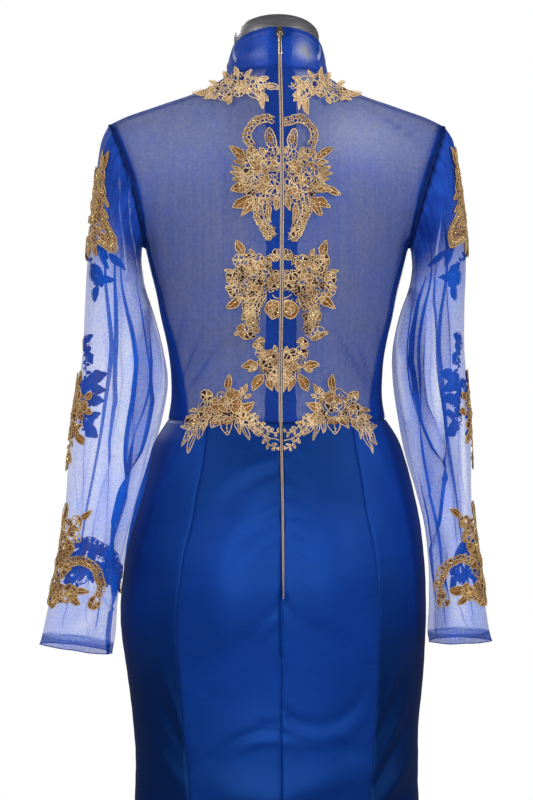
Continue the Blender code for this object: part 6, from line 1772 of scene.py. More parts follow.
def inside(points, outline):
    x, y = points[:, 0], points[:, 1]
    found = np.zeros(len(points), bool)
    o = np.asarray(outline, float)
    for (x0, y0), (x1, y1) in zip(o, np.roll(o, -1, 0)):
        if y0 != y1:
            found ^= ((y0 > y) != (y1 > y)) & (x < (x1 - x0) * (y - y0) / (y1 - y0) + x0)
    return found


class Lace:
    """A motif: a flat drawing in its own units, laid on cloth by a place function. unit is metres for each unit."""

    def __init__(self, place, unit, seed):
        self.place, self.unit = place, unit
        # share of the ground's open cells that get dark plates of painted shade; then whether the motif takes the
        # shaded copies of the sleeves or the lit copies of the shoulders
        self.dark, self.ochre, self.pale = 0.80, False, False
        self.rng = np.random.default_rng(seed)
        self.phase = self.rng.uniform(0, 6.28, 6)
        self.flat, self.todo, self.total = [], [], 0

    def queue(self, kind, points, *details):
        q = np.asarray(points, float)
        self.flat.append(q)
        self.todo.append((kind, self.total, len(q), details))
        self.total += len(q)

    def smooth(self, points, step, closed=False):
        p = np.asarray(points, float)
        if len(p) > 2 or closed:
            p = finer(p, 4, 0, closed)
        if closed:
            p = np.concatenate([p, p[:1]])
        d = np.concatenate([[0], np.cumsum(np.linalg.norm(np.diff(p, axis=0), axis=1))])
        n = max(3, int(d[-1] * self.unit / step))
        t = np.linspace(0, d[-1], n + 1)
        q = np.stack([np.interp(t, d, p[:, k]) for k in (0, 1)], axis=1)
        return q[:-1] if closed else q

    def cord(self, points, radius=0.00070, lift=0.0010, closed=False, step=0.0016, mat=CORD, sides=5):
        self.queue("cord", self.smooth(points, step, closed), radius, lift, closed, mat, sides)

    def bar(self, a, b, radius=0.00048, lift=0.0006):
        self.queue("cord", (a, b), radius, lift, False, CORD, 4)

    def plate(self, outline, dome=0.0007, lift=0.0002, mat=FILL):
        """A filled cell, raised in its middle."""
        o = np.asarray(outline, float)
        m = o.mean(axis=0)
        self.queue("plate", np.concatenate([o, m + (o - m) * 0.55, m[None]]), dome, lift, mat)
        if self.ochre and mat == FILL:
            # painted shade: the wrong side, dark as it lies in shade, seen through the sleeve
            self.queue("plate", np.concatenate([m + (o - m) * 0.97, m + (o - m) * 0.55, m[None]]), -0.0001, lift - 0.0006, SHADE_PLATE)

    def bead(self, at, radius=0.0011, lift=0.0013):
        self.queue("bead", np.asarray(at, float)[None], radius, lift)

    def ground(self, outline, cell=3.3, drop=0.05, filled=0.10, keep_off=()):
        """An uneven network of bars, like the ground of the lace, inside an outline and off the flowers."""
        o = np.asarray(outline, float)
        lo, hi = o.min(axis=0), o.max(axis=0)
        a = cell / math.sqrt(3)
        spots, where = [], {}
        edges = []
        cols, rows_ = int((hi[0] - lo[0]) / (1.5 * a)) + 2, int((hi[1] - lo[1]) / cell) + 2

        def spot(x, y):
            key = (round(x / a * 2), round(y / cell * 2))
            if key not in where:
                where[key] = len(spots)
                spots.append((x, y))
            return where[key]

        cells = []
        for c in range(-1, cols):
            for r in range(-1, rows_):
                cx, cy = lo[0] + 1.5 * a * c, lo[1] + cell * (r + 0.5 * (c % 2))
                ring = [spot(cx + a * math.cos(math.pi * k / 3), cy + a * math.sin(math.pi * k / 3)) for k in range(6)]
                cells.append(ring)
                edges += [tuple(sorted((ring[k], ring[(k + 1) % 6]))) for k in range(6)]
        spots = np.array(spots) + self.rng.normal(0, 0.17 * cell, (len(spots), 2))
        ok = inside(spots, o)
        for at, r in keep_off:
            ok &= np.hypot(spots[:, 0] - at[0], spots[:, 1] - at[1]) > r
        for i, j in sorted(set(edges)):
            if ok[i] and ok[j] and self.rng.random() > drop:
                self.bar(spots[i], spots[j], self.rng.uniform(0.00038, 0.00058), self.rng.uniform(0.0005, 0.0009))
        for ring in cells:
            if all(ok[k] for k in ring):
                # filled cells, and dark plates of painted shade in a share of the rest
                pick = self.rng.random()
                if pick < filled:
                    self.plate(spots[ring], 0.0004, 0.0003)
                elif pick < filled + self.dark:
                    self.plate(spots[ring], 0.0001, 0.0001, SHADE_PLATE)

    def leaf(self, base, tip, wide, bend=0.0, veins=2, fill=True, cord=0.00064):
        base, tip = np.asarray(base, float), np.asarray(tip, float)
        axis = tip - base
        length = np.linalg.norm(axis)
        axis /= length
        side = np.array((-axis[1], axis[0]))
        t = np.array((0.0, 0.10, 0.28, 0.48, 0.68, 0.86, 1.0))
        w = np.array((0.08, 0.52, 0.94, 1.0, 0.76, 0.38, 0.0)) * wide / 2
        mid = base + axis * (t * length)[:, None] + side * (bend * length * np.sin(math.pi * t * 0.5) ** 2 * 0.5)[:, None]
        left = mid + side * (w * self.rng.uniform(0.82, 1.18, len(w)))[:, None]
        right = mid - side * (w * self.rng.uniform(0.82, 1.18, len(w)))[:, None]
        outline = np.concatenate([left, right[::-1][1:]])
        if fill:
            self.plate(outline, 0.0006)
        self.cord(outline, cord, 0.0012, closed=True)
        self.cord(mid[1:-1], cord * 0.75, 0.0013)
        for k in range(veins):
            a = 0.22 + 0.58 * k / max(1, veins - 1)
            m = np.array([np.interp(a, t, mid[:, c]) for c in (0, 1)])
            ww = np.interp(a, t, w) * 0.92
            for s in (1, -1):
                self.bar(m, m + side * s * ww + axis * 0.10 * length, cord * 0.62, 0.0011)

    def oval(self, base, tip, wide):
        """An open leaf: a stout rim, a rim inside it, and bars between them."""
        base, tip = np.asarray(base, float), np.asarray(tip, float)
        mid, axis = (base + tip) / 2, (tip - base) / 2
        side = np.array((-axis[1], axis[0])) / np.linalg.norm(axis) * wide / 2
        turn = np.linspace(0, 2 * math.pi, 13)[:-1]
        rim = np.array([mid + axis * math.cos(a) + side * math.sin(a) * (1 - 0.22 * math.cos(a)) for a in turn])
        core_ = mid + (rim - mid) * 0.48
        self.plate(np.concatenate([core_]), 0.0006)
        self.cord(rim, 0.00085, 0.0012, closed=True)
        self.cord(core_, 0.00060, 0.0012, closed=True)
        for a, b in zip(rim, core_):
            self.bar(a, b, 0.00050, 0.0010)
        self.bead(mid, 0.0012, 0.0016)

    def petals(self, at, r, count, turn, filled, cord, lift, inner=0.22):
        for k in range(count):
            a = turn + 2 * math.pi * k / count + self.rng.normal(0, 0.10)
            rr = r * (1 + self.rng.normal(0, 0.12))
            d, s = np.array((math.cos(a), math.sin(a))), np.array((-math.sin(a), math.cos(a)))
            w = rr * math.sin(math.pi / count) * self.rng.uniform(0.82, 1.02)
            lean = self.rng.normal(0, 0.10)
            shape = ((inner, 0.14), (0.42, 0.62), (0.68, 1.0), (0.90, 0.84), (1.0, 0.36), (0.95, 0.0), (1.0, -0.36), (0.90, -0.84),
                     (0.68, -1.0), (0.42, -0.62), (inner, -0.14))
            outline = [at + d * rr * u + s * (w * v + lean * rr * u) for u, v in shape]
            solid = self.rng.random() < filled
            if solid:
                self.plate(outline, 0.0008, lift - 0.0009)
            elif self.rng.random() < 0.55:
                # a dark plate of painted shade in about half the open petals
                self.plate(outline, 0.0001, 0.0001, SHADE_PLATE)
            self.cord(outline, cord, lift, closed=True)
            for v in (-0.4, 0.4) if solid else ():
                self.bar(at + d * rr * 0.34 + s * w * v * 0.4, at + d * rr * (0.86 - 0.08 * abs(v)) + s * (w * v + lean * rr * 0.8), cord * 0.62, lift + 0.0001)

    def flower(self, at, r, petals=6, turn=0.0, filled=0.40):
        at = np.asarray(at, float)
        big = r * self.unit > 0.0095
        self.petals(at, r, max(5, petals - 1), turn, filled, 0.00062, 0.0011)
        if big:
            self.petals(at, r * 0.56, max(4, petals - 2), turn + 0.5, 0.5, 0.00056, 0.0018)
        heart = r * (0.16 if big else 0.24)
        ring = [at + heart * np.array((math.cos(t), math.sin(t))) for t in np.linspace(0, 2 * math.pi, 8)[:-1]]
        self.cord(ring, 0.00052, 0.0021 if big else 0.0015, closed=True)
        self.bead(at, 0.0012 if big else 0.0009, 0.0024 if big else 0.0018)
        for t in np.linspace(0, 2 * math.pi, 6 if big else 4)[:-1]:
            self.bead(at + (heart + 1.1) * np.array((math.cos(t + turn), math.sin(t + turn))), 0.0008, 0.0022 if big else 0.0016)

    def chain(self, path, wide, end=1.0, beads=3):
        """A braid of overlapping loops between two edge cords."""
        q = self.smooth(path, 0.0020)
        t = np.gradient(q, axis=0)
        t /= np.linalg.norm(t, axis=1, keepdims=True)
        s = np.stack([-t[:, 1], t[:, 0]], axis=1)
        share = np.linspace(1, end, len(q))
        d = np.concatenate([[0], np.cumsum(np.linalg.norm(np.diff(q, axis=0), axis=1))])
        wave_ = 1 + 0.10 * np.sin(d * 2 * math.pi / (wide * 0.62))
        for sign in (1, -1):
            self.cord(q + s * (sign * wide / 2 * share * wave_)[:, None], 0.00070, 0.0011)
        for n, at in enumerate(np.arange(wide * 0.2, d[-1], wide * 0.34)):
            k = np.interp(at, d, np.arange(len(d)))
            i = int(min(k, len(q) - 1))
            size = wide * share[i]
            m = np.array([np.interp(at, d, q[:, c]) for c in (0, 1)]) + s[i] * size * (0.20 if n % 2 else -0.20)
            ring = [m + t[i] * size * 0.27 * math.cos(v) + s[i] * size * 0.25 * math.sin(v) for v in np.linspace(0, 2 * math.pi, 8)[:-1]]
            self.cord(ring, 0.00054, 0.0012, closed=True, sides=4)
            if n % beads == 1:
                self.plate(ring, 0.0005, 0.0004)
                self.bead(m, 0.0010, 0.0016)
            elif self.rng.random() < 0.75:
                # a dark plate of painted shade in most other loops
                self.plate(ring, 0.0001, 0.0001, SHADE_PLATE)

    def disc(self, at, r, turn=0.0):
        at = np.asarray(at, float)
        circle_ = np.linspace(0, 2 * math.pi, 15)[:-1]
        rims = [at + r * np.array((math.cos(t), math.sin(t) * 1.06)) * self.rng.uniform(0.95, 1.05) for t in circle_]
        self.plate(rims, 0.0009)
        self.cord(rims, 0.00078, 0.0012, closed=True)
        self.flower(at, r * 0.72, 6, turn, 0.3)

    def vine(self, path, leaf=4.0, gap=5.0, first=1):
        q = self.smooth(path, 0.0020)
        self.cord(q, 0.00072)
        t = np.gradient(q, axis=0)
        t /= np.linalg.norm(t, axis=1, keepdims=True)
        d = np.concatenate([[0], np.cumsum(np.linalg.norm(np.diff(q, axis=0), axis=1))])
        for n, at in enumerate(np.arange(gap * 0.5, d[-1], gap * 0.8)):
            p = np.array([np.interp(at, d, q[:, k]) for k in (0, 1)])
            td = np.array([np.interp(at, d, t[:, k]) for k in (0, 1)])
            sd = np.array((-td[1], td[0])) * (first if n % 2 else -first)
            if n % 3 == 2:
                c = p + sd * leaf * 0.5
                self.cord([c + leaf * 0.34 * np.array((math.cos(v), math.sin(v))) for v in np.linspace(0, 2 * math.pi, 8)[:-1]], 0.00055, closed=True)
                self.bead(c, 0.0009)
            else:
                self.leaf(p, p + sd * leaf + td * leaf * 0.7, leaf * 0.6, 0.2, veins=0, cord=0.00056)

    def make(self, name):
        heap = Heap()
        q = np.concatenate(self.flat)
        # hand-placed pieces never repeat exactly
        a = self.phase
        k = 2 * math.pi / (0.024 / self.unit)
        q = q + 0.0007 / self.unit * np.stack([np.sin(q[:, 1] * k + a[0]) + 0.6 * np.sin(q[:, 0] * k * 1.7 + a[1]),
                                               np.sin(q[:, 0] * k + a[2]) + 0.6 * np.sin(q[:, 1] * k * 1.6 + a[3])], axis=1)
        points, normals = self.place(q)
        for kind, start, count, details in self.todo:
            p, n = points[start:start + count], normals[start:start + count]
            if kind == "cord":
                radius, lift, closed, mat, sides = details
                heap.tube(p + n * lift, radius, mat, sides, closed, 0.85, n)
            elif kind == "bead":
                radius, lift = details
                heap.bead(p[0] + n[0] * lift, n[0], radius, BEAD, sides=7)
            else:
                dome, lift, mat = details
                c = (count - 1) // 2
                verts = p + n * np.concatenate([np.full(c, lift), np.full(c, lift + dome * 0.8), [lift + dome]])[:, None]
                faces = [(i, (i + 1) % c, c + (i + 1) % c, c + i) for i in range(c)] + [(c + i, c + (i + 1) % c, 2 * c) for i in range(c)]
                area = np.dot(np.cross(verts[1] - verts[0], verts[2 * c] - verts[0]), n[0])
                heap.add(verts, faces if area > 0 else [f[::-1] for f in faces], mat)
        mats = list(LACE_MATS)
        if self.ochre:
            mats[CORD], mats[SHADE_PLATE] = cord_ochre.mat, painted_shade_sleeve.mat
        elif self.pale:
            mats[CORD], mats[FILL] = cord_lit.mat, fill_lit.mat
        return heap.make(name, mats)


# motifs of one side of the back, in motif units seen from behind, the zip at 282
MOTIFS = {
    "shoulder": (
        ("ground", ((198, 96.5), (212, 91), (224, 83), (234, 76), (243, 74), (250, 78), (259, 79), (269, 85), (276, 92), (266, 93), (268, 103), (264, 107), (257, 101), (249, 96), (236, 100), (226, 103), (214, 99)), 3.0, 0.05, 0.25),
        ("flower", (241, 85), 7.5, 6, 0.3), ("flower", (258, 87), 6.8, 5, 0.9), ("flower", (227, 98), 6.4, 5, 0.1), ("flower", (229, 86), 5.2, 5, 0.7),
        ("flower", (213, 95), 4.6, 5, 0.4), ("flower", (251, 93), 4.6, 5, 0.2), ("flower", (240, 95), 4.8, 5, 0.6),
        ("leaf", (232, 82), (224, 76), 5.0, 0.2), ("leaf", (220, 88), (211, 84), 4.4, -0.2), ("leaf", (212, 95), (194, 97.5), 5.8, 0.1),
        ("leaf", (216, 99), (206, 101), 4.0, -0.1), ("leaf", (240, 80), (236, 71), 4.6, 0.1), ("leaf", (247, 81), (252, 73), 4.4, 0.2),
        ("leaf", (261, 82), (270, 82), 4.6, -0.2), ("leaf", (219, 101), (214, 103), 3.4, 0.2),
        ("leaf", (234, 100), (229, 107), 4.6, -0.1), ("leaf", (262, 95), (270, 104), 4.4, 0.1), ("leaf", (263, 97), (264, 112), 4.6, 0.1),
        ("cord", ((249, 96), (253, 101), (259, 103), (264, 108))), ("cord", ((255, 96), (258, 100), (263, 101))),
    ),
    "upper": (
        ("chain", ((274, 124), (265.5, 121), (256.5, 124.5), (250.3, 132), (248.6, 141), (253, 149)), 7.6, 1.0, 2),
        ("oval", (272.5, 151), (269.5, 131), 9.6), ("cord", ((272, 150), (274, 156), (277, 160))), ("cord", ((270, 150), (266, 156), (262, 158))),
        ("ground", ((247, 151), (256, 150), (266, 153), (280, 152), (280.5, 208), (275, 209), (268, 206), (270, 216), (273, 226), (278, 235), (277.5, 241), (268, 242), (261, 230), (255, 217), (252, 200), (243, 194), (237, 187), (240, 177), (236, 168), (246, 163)), 3.3, 0.06, 0.10),
        ("flower", (272, 169), 9.0, 6, 0.2), ("flower", (254, 157.5), 6.2, 5, 0.5), ("flower", (251.5, 171), 7.6, 6, 0.1),
        ("flower", (262, 183), 9.6, 7, 0.8), ("flower", (245.5, 187), 6.8, 6, 0.6), ("flower", (275, 189), 7.4, 6, 0.3), ("flower", (263, 163), 5.0, 5, 0.3),
        ("flower", (266, 200), 5.6, 5, 0.5),
        ("leaf", (247, 160), (230, 150), 8.6, 0.1), ("leaf", (247, 165), (234, 163), 5.0, -0.1), ("leaf", (246, 175), (232, 169), 4.0, 0.1), ("leaf", (246, 178), (231, 175), 4.6, 0.1),
        ("leaf", (245, 181), (234, 182), 4.6, 0.1), ("leaf", (251, 186), (232, 193.5), 10.5, 0.1), ("leaf", (254, 199), (234, 210), 10.0, 0.1), ("leaf", (253, 201), (242, 217), 8.4, -0.1),
        ("leaf", (279, 197), (276, 212), 8.0, 0.1), ("leaf", (268, 205), (271.5, 223), 5.4, 0.1), ("leaf", (281, 156), (276, 149), 4.6, 0.1), ("leaf", (266, 156), (259, 150), 4.2, 0.2),
        ("cord", ((257, 197), (255, 204), (256, 213))), ("cord", ((260, 198), (259, 205), (259, 213))),
        ("chain", ((257, 205), (259.5, 216), (264.5, 228), (272, 239)), 9.4, 1.0, 2), ("bead", (252.5, 170)), ("bead", (259, 126)),
    ),
    "mid": (
        ("ground", ((236, 259), (243, 254.5), (250, 252), (260, 255), (270, 254), (277, 251), (281, 255), (281, 261), (274, 262), (272, 269), (281, 271), (281, 292), (273, 292.5), (266, 297), (268, 302), (262, 312), (260, 320), (262, 330), (258, 336), (252, 340), (243, 341), (238, 335), (244, 322), (242, 310), (244, 299), (234, 294), (230, 285), (229, 272), (235, 268)), 3.2, 0.06, 0.10),
        ("flower", (239.8, 261.5), 6.0, 5, 0.3), ("flower", (249, 268.5), 8.2, 6, 0.35), ("flower", (261, 263), 7.2, 6, 0.1), ("flower", (254, 285.5), 10.4, 7, 0.6),
        ("flower", (233, 279), 6.0, 5, 0.3), ("flower", (234, 291), 5.6, 5, 0.2), ("flower", (275, 282), 7.4, 6, 0.3), ("flower", (276.5, 256), 5.8, 5, 0.5),
        ("flower", (264, 276), 6.6, 6, 0.2), ("flower", (246, 332.5), 7.6, 6, 0.2), ("flower", (259, 344), 4.8, 5, 0.2), ("flower", (251, 315), 5.2, 5, 0.8), ("flower", (243, 299), 5.0, 5, 0.1),
        ("leaf", (243.5, 256), (236.5, 241.5), 8.4, 0.1), ("leaf", (234, 272), (225.5, 270), 4.4, -0.1), ("leaf", (243, 298), (229, 308.5), 9.4, 0.1), ("leaf", (248, 312), (243, 321), 6.0, 0.1),
        ("leaf", (254, 256), (250, 249.5), 4.0, 0.1), ("leaf", (234, 286), (227, 288), 3.6, 0.1), ("leaf", (239, 333), (234.5, 334), 4.0, 0.0),
        ("disc", (274, 309.5), 8.4), ("chain", ((253, 297), (250, 307), (250, 317), (254, 328)), 8.4, 1.0, 2),
        ("cord", ((266, 297), (263, 304), (259, 312))), ("cord", ((262, 296), (259, 303), (255.5, 309))), ("cord", ((272, 294), (276, 298), (281, 300))), ("cord", ((270, 299), (273, 302), (281, 303))),
        ("leaf", (258, 339), (266, 341.5), 4.4, 0.1), ("leaf", (258, 346), (260, 350), 3.6, 0.1),
    ),
    "low": (
        ("ground", ((260, 351), (268, 348), (281, 350), (281, 388), (276, 389), (269, 378), (262, 374), (257, 366)), 3.1, 0.08, 0.15),
        ("flower", (270, 360), 10.6, 6, 0.5), ("flower", (261, 353.5), 5.2, 5, 0.2), ("flower", (276, 376), 5.6, 5, 0.4), ("leaf", (259, 365), (243, 366), 9.0, 0.1), ("leaf", (258, 368), (248, 371), 4.6, -0.1),
        ("leaf", (263, 374), (254.5, 391), 9.4, 0.1), ("leaf", (269, 376), (271.5, 391), 6.0, -0.1), ("leaf", (277, 377), (279, 392), 6.0, 0.0), ("leaf", (276, 352), (275, 346), 4.6, 0.1),
        ("cord", ((266, 372), (268, 378), (275, 382))),
    ),
    "waist": (
        ("ground", ((199, 405), (207, 396), (215, 398), (222, 391), (236, 391), (245, 397), (246, 408), (254, 417), (252, 425), (240, 424), (230, 421), (214, 423), (206, 427), (196, 434), (188, 428), (190, 419), (197, 412)), 3.2, 0.06, 0.10),
        ("flower", (228, 404), 14.0, 6, 0.25), ("flower", (207, 396), 5.6, 5, 0.5), ("flower", (206, 411.5), 7.4, 6, 0.2), ("flower", (195, 424), 8.0, 6, 0.3), ("flower", (246, 418), 6.0, 5, 0.1),
        ("leaf", (229.5, 392), (229, 373.5), 7.0, 0.05), ("leaf", (240, 396), (243, 387), 4.6, 0.1), ("leaf", (243, 394), (248, 382.5), 4.4, 0.1), ("leaf", (245, 397), (251, 393.5), 4.0, 0.1),
        ("leaf", (242, 410), (255, 402), 8.8, 0.1), ("leaf", (200, 410), (190, 410), 3.4, -0.1), ("leaf", (198, 417), (187, 417), 4.0, 0.1), ("leaf", (192, 427), (182, 426.5), 4.0, 0.1),
        ("leaf", (192, 428), (183, 445), 5.0, -0.1), ("leaf", (197, 428), (190, 453.5), 5.4, 0.1), ("leaf", (203, 421), (199, 440), 4.6, 0.0), ("leaf", (208, 418), (203.5, 431), 4.6, 0.0),
        ("leaf", (220, 416), (213, 428), 8.6, 0.0), ("leaf", (228, 416), (228, 434), 12.0, 0.05), ("leaf", (238, 418), (240.5, 434), 5.2, 0.1), ("leaf", (243, 420), (249, 440), 5.0, -0.05), ("leaf", (250, 421), (256.5, 436), 5.0, -0.1),
        ("vine", ((250, 414), (259, 421), (267, 428), (274, 432.5), (280.5, 432)), 4.2, 4.0), ("vine", ((248, 419), (256, 428), (264, 437), (272, 445), (280.5, 450.5)), 4.6, 4.2), ("cord", ((253, 423), (262, 432), (271, 438), (280.5, 441))),
        ("bars", ((259, 421), (260, 431), (265, 427), (266, 437), (271, 431), (272, 442), (276, 433), (277, 446)), ((0, 1), (1, 2), (2, 3), (3, 4), (4, 5), (5, 6), (6, 7))),
    ),
}
# pieces that only one side has
ONE_SIDE = {
    ("upper", "r"): (("chain", ((281, 126), (274, 124)), 7.6, 1.0, 2), ("leaf", (243, 187), (223, 197.5), 7.0, 0.1)),
    ("shoulder", "r"): (("leaf", (258, 98), (255, 119), 5.6, 0.0), ("leaf", (262, 95), (270, 98.5), 5.0, 0.1)),
    ("shoulder", "l"): (("leaf", (264, 88), (281, 94.5), 5.6, -0.20),),
    ("low", "l"): (("leaf", (264, 350), (258, 346), 4.0, 0.1),),
}
# motifs of the sleeves, in millimetres round from the outer edge towards the back, and down from the shoulder
SLEEVE_MOTIFS = {
    "top": (
        ("ground", ((2, 36), (10, 32), (16, 46), (20, 60), (18, 76), (18, 92), (30, 100), (36, 112), (33, 127), (22, 135), (8, 138), (-4, 144), (-14, 150), (-18, 138), (-16, 120), (-22, 108), (-18, 92), (-20, 74), (-14, 52), (-6, 44)), 4.8, 0.05, 0.14),
        ("leaf", (6, 40), (10, 16), 10, 0.1), ("leaf", (0, 42), (-5, 24), 7, 0.1), ("flower", (5, 48), 9.0, 6, 0.2), ("flower", (9, 66), 11.0, 6, 0.5),
        ("flower", (-8, 60), 8.0, 5, 0.2), ("flower", (2, 86), 11.5, 7, 0.1), ("flower", (-14, 78), 8.0, 6, 0.4), ("leaf", (16, 74), (28, 68), 8, 0.1),
        ("leaf", (14, 88), (27, 88), 7.6, -0.1), ("chain", ((10, 98), (24, 98), (34, 108), (33, 123), (22, 132), (8, 130)), 8.6, 1.0, 2),
        ("flower", (12, 114), 6.4, 6, 0.2), ("flower", (-5, 108), 10.5, 7, 0.3), ("leaf", (-14, 98), (-27, 94), 8, 0.1), ("leaf", (-15, 112), (-29, 116), 8, 0.1),
        ("flower", (-7, 130), 9.0, 6, 0.5), ("leaf", (2, 136), (6, 152), 7.5, 0.1), ("leaf", (-10, 141), (-13, 157), 8, 0.0), ("leaf", (-16, 134), (-29, 142), 7.6, 0.1),
        ("vine", ((-16, 146), (-40, 152), (-70, 164)), 6.0, 6.0), ("flower", (-74, 176), 13.0, 6, 0.1), ("leaf", (-74, 188), (-68, 208), 11.0, 0.0),
        ("leaf", (-82, 178), (-102, 174), 10.0, 0.1), ("leaf", (-80, 140), (-94, 160), 12.0, 0.1), ("leaf", (-96, 138), (-118, 152), 12.0, 0.1), ("flower", (-86, 142), 9.0, 5, 0.3),
        ("flower", (-50, 60), 9.0, 6, 0.2), ("leaf", (-48, 72), (-58, 90), 9.0, 0.1), ("vine", ((-44, 50), (-52, 84), (-66, 118), (-80, 138)), 7.0, 7.0), ("bead", (26, 116)),
    ),
    "mid": (
        ("ground", ((0, 306), (8, 308), (16, 320), (22, 330), (20, 346), (20, 362), (12, 372), (4, 380), (-8, 378), (-16, 366), (-14, 350), (-20, 338), (-28, 324), (-28, 308), (-14, 312)), 4.4, 0.05, 0.22),
        ("leaf", (3, 308), (6, 292), 9, 0.1), ("leaf", (-6, 310), (-12, 294), 7.6, 0.1), ("flower", (3, 319), 9.5, 6, 0.3), ("flower", (12, 334), 10.0, 7, 0.1),
        ("flower", (-1, 344), 10.0, 6, 0.5), ("flower", (-15, 328), 9.0, 6, 0.2), ("leaf", (19, 326), (27, 318), 7.6, 0.1), ("leaf", (21, 340), (30, 343), 7.6, -0.1),
        ("flower", (10, 356), 9.0, 6, 0.4), ("leaf", (14, 366), (20, 380), 9.0, -0.1), ("leaf", (-12, 344), (-26, 352), 8, 0.1),
        ("flower", (-4, 366), 8.5, 6, 0.3), ("leaf", (-14, 366), (-28, 372), 7.5, 0.1), ("vine", ((2, 374), (1, 382), (0, 390)), 6.0, 6.0),
        ("flower", (0, 397), 7.5, 5, 0.2), ("leaf", (-1, 402), (-3, 411), 6.0, 0.0), ("leaf", (-25, 326), (-37, 322), 7.0, 0.1), ("flower", (-24, 310), 7.0, 5, 0.4),
        ("ground", ((-30, 300), (-44, 294), (-54, 300), (-52, 314), (-44, 320), (-52, 336), (-48, 352), (-52, 366), (-40, 368), (-34, 352), (-36, 332), (-30, 318)), 4.0, 0.05, 0.35),
        ("leaf", (-44, 302), (-70, 298), 15, 0.1), ("leaf", (-44, 312), (-70, 316), 12, -0.1), ("flower", (-46, 306), 10.0, 6, 0.3), ("leaf", (-42, 326), (-70, 332), 13, 0.1),
        ("flower", (-46, 330), 9.0, 5, 0.2), ("flower", (-47, 352), 9.0, 6, 0.3), ("leaf", (-44, 358), (-66, 374), 14, 0.0), ("leaf", (-48, 348), (-66, 346), 10, 0.1),
        ("flower", (-33, 262), 8.5, 5, 0.1), ("leaf", (-36, 270), (-46, 286), 9, 0.1), ("vine", ((-30, 248), (-34, 276), (-38, 296)), 6.0, 6.0), ("leaf", (-32, 256), (-44, 250), 9, 0.1),
    ),
    "cuff": (
        ("ground", ((0, 466), (12, 464), (26, 466), (30, 474), (26, 488), (24, 500), (26, 514), (20, 526), (18, 540), (30, 546), (44, 548), (40, 560), (24, 566), (8, 572), (-12, 562), (-20, 546), (-16, 528), (-10, 508), (-14, 490), (-6, 476)), 3.4, 0.05, 0.30),
        ("leaf", (7, 468), (8, 446), 10, 0.1), ("flower", (8, 478), 8.5, 6, 0.2), ("flower", (26, 468), 7.0, 5, 0.4), ("leaf", (31, 464), (44, 454), 7.0, 0.1),
        ("leaf", (-2, 474), (-12, 464), 7.5, 0.1), ("flower", (13, 499), 11.5, 7, 0.1), ("flower", (-6, 493), 8.6, 6, 0.4), ("flower", (25, 486), 7.0, 5, 0.1),
        ("flower", (-1, 518), 9.6, 6, 0.2), ("flower", (15, 526), 9.0, 6, 0.5), ("flower", (3, 546), 11.5, 7, 0.2), ("flower", (-13, 538), 8.0, 6, 0.3),
        ("chain", ((20, 518), (34, 512), (50, 518), (60, 530), (65, 544), (63, 556)), 9.6, 1.0, 2),
        ("flower", (30, 552), 9.6, 6, 0.4), ("leaf", (22, 552), (12, 566), 8.0, 0.1), ("leaf", (36, 550), (52, 548), 9.6, 0.1), ("leaf", (34, 558), (45, 566), 8.4, -0.1),
        ("flower", (61, 562), 8.0, 5, 0.2), ("flower", (12, 564), 7.6, 6, 0.1), ("leaf", (-14, 552), (-26, 560), 8.0, 0.1), ("leaf", (-8, 560), (-12, 573), 7.0, 0.0),
        ("leaf", (-18, 524), (-30, 518), 8.0, 0.1), ("bead", (46, 517)), ("bead", (63, 540)),
        ("ground", ((-22, 500), (-44, 492), (-66, 502), (-84, 514), (-100, 526), (-98, 546), (-80, 552), (-56, 544), (-40, 556), (-24, 552)), 4.1, 0.05, 0.35),
        ("chain", ((-24, 504), (-44, 496), (-66, 504), (-84, 520), (-96, 538)), 9.0, 1.0, 2), ("flower", (-84, 532), 11.0, 7, 0.2), ("flower", (-60, 524), 10.0, 6, 0.3),
        ("flower", (-38, 512), 9.6, 6, 0.4), ("flower", (-44, 540), 9.6, 6, 0.1), ("leaf", (-90, 540), (-102, 556), 11.0, 0.1), ("leaf", (-66, 534), (-76, 552), 10.0, 0.1),
    ),
}
# how far each sleeve motif stands round towards the back, in millimetres
TURNED = {("top", "l"): 37.0, ("mid", "l"): 9.0, ("cuff", "l"): 3.0, ("top", "r"): 28.0, ("mid", "r"): 2.0, ("cuff", "r"): 4.0}
# how far its part on the front reaches, as a share
FRONT_SHARE = {("mid", "r"): 0.66, ("mid", "l"): 0.85, ("top", "r"): 0.85, ("cuff", "r"): 0.5}
# beads sewn on the finished motifs, in motif units
BEADS = {
    "shoulder": ((243, 80), (231, 90), (250, 92), (212, 92), (270, 87), (222, 97), (257, 95)),
    "upper": ((258, 163), (270, 180), (240, 186), (257, 189), (266, 195), (249, 205), (278, 172), (246, 167), (262, 208), (244, 204), (238, 156), (240, 192)),
    "mid": ((266, 270), (248, 290), (264, 286), (236, 276), (279, 288), (246, 256), (268, 258), (252, 300), (254, 322), (236, 303), (270, 305), (278, 313)),
    "low": ((264, 368), (277, 370), (258, 362), (252, 366), (258, 384)),
    "waist": ((222, 396), (238, 398), (236, 414), (220, 413), (206, 416), (244, 403), (195, 430), (228, 428), (190, 436), (262, 424)),
}


def draw(lace, table):
    for what, *args in table:
        if what == "bars":
            points, links = args
            for a, b in links:
                lace.bar(points[a], points[b])
        elif what == "bead":
            lace.bead(args[0], 0.0014)
        elif what == "ground":
            lace.ground(*args, [(a[1], 0.72 * a[2]) for a in table if a[0] in ("flower", "disc")])
        else:
            {"flower": lace.flower, "leaf": lace.leaf, "oval": lace.oval, "chain": lace.chain,
             "disc": lace.disc, "vine": lace.vine, "cord": lace.cord}[what](*args)


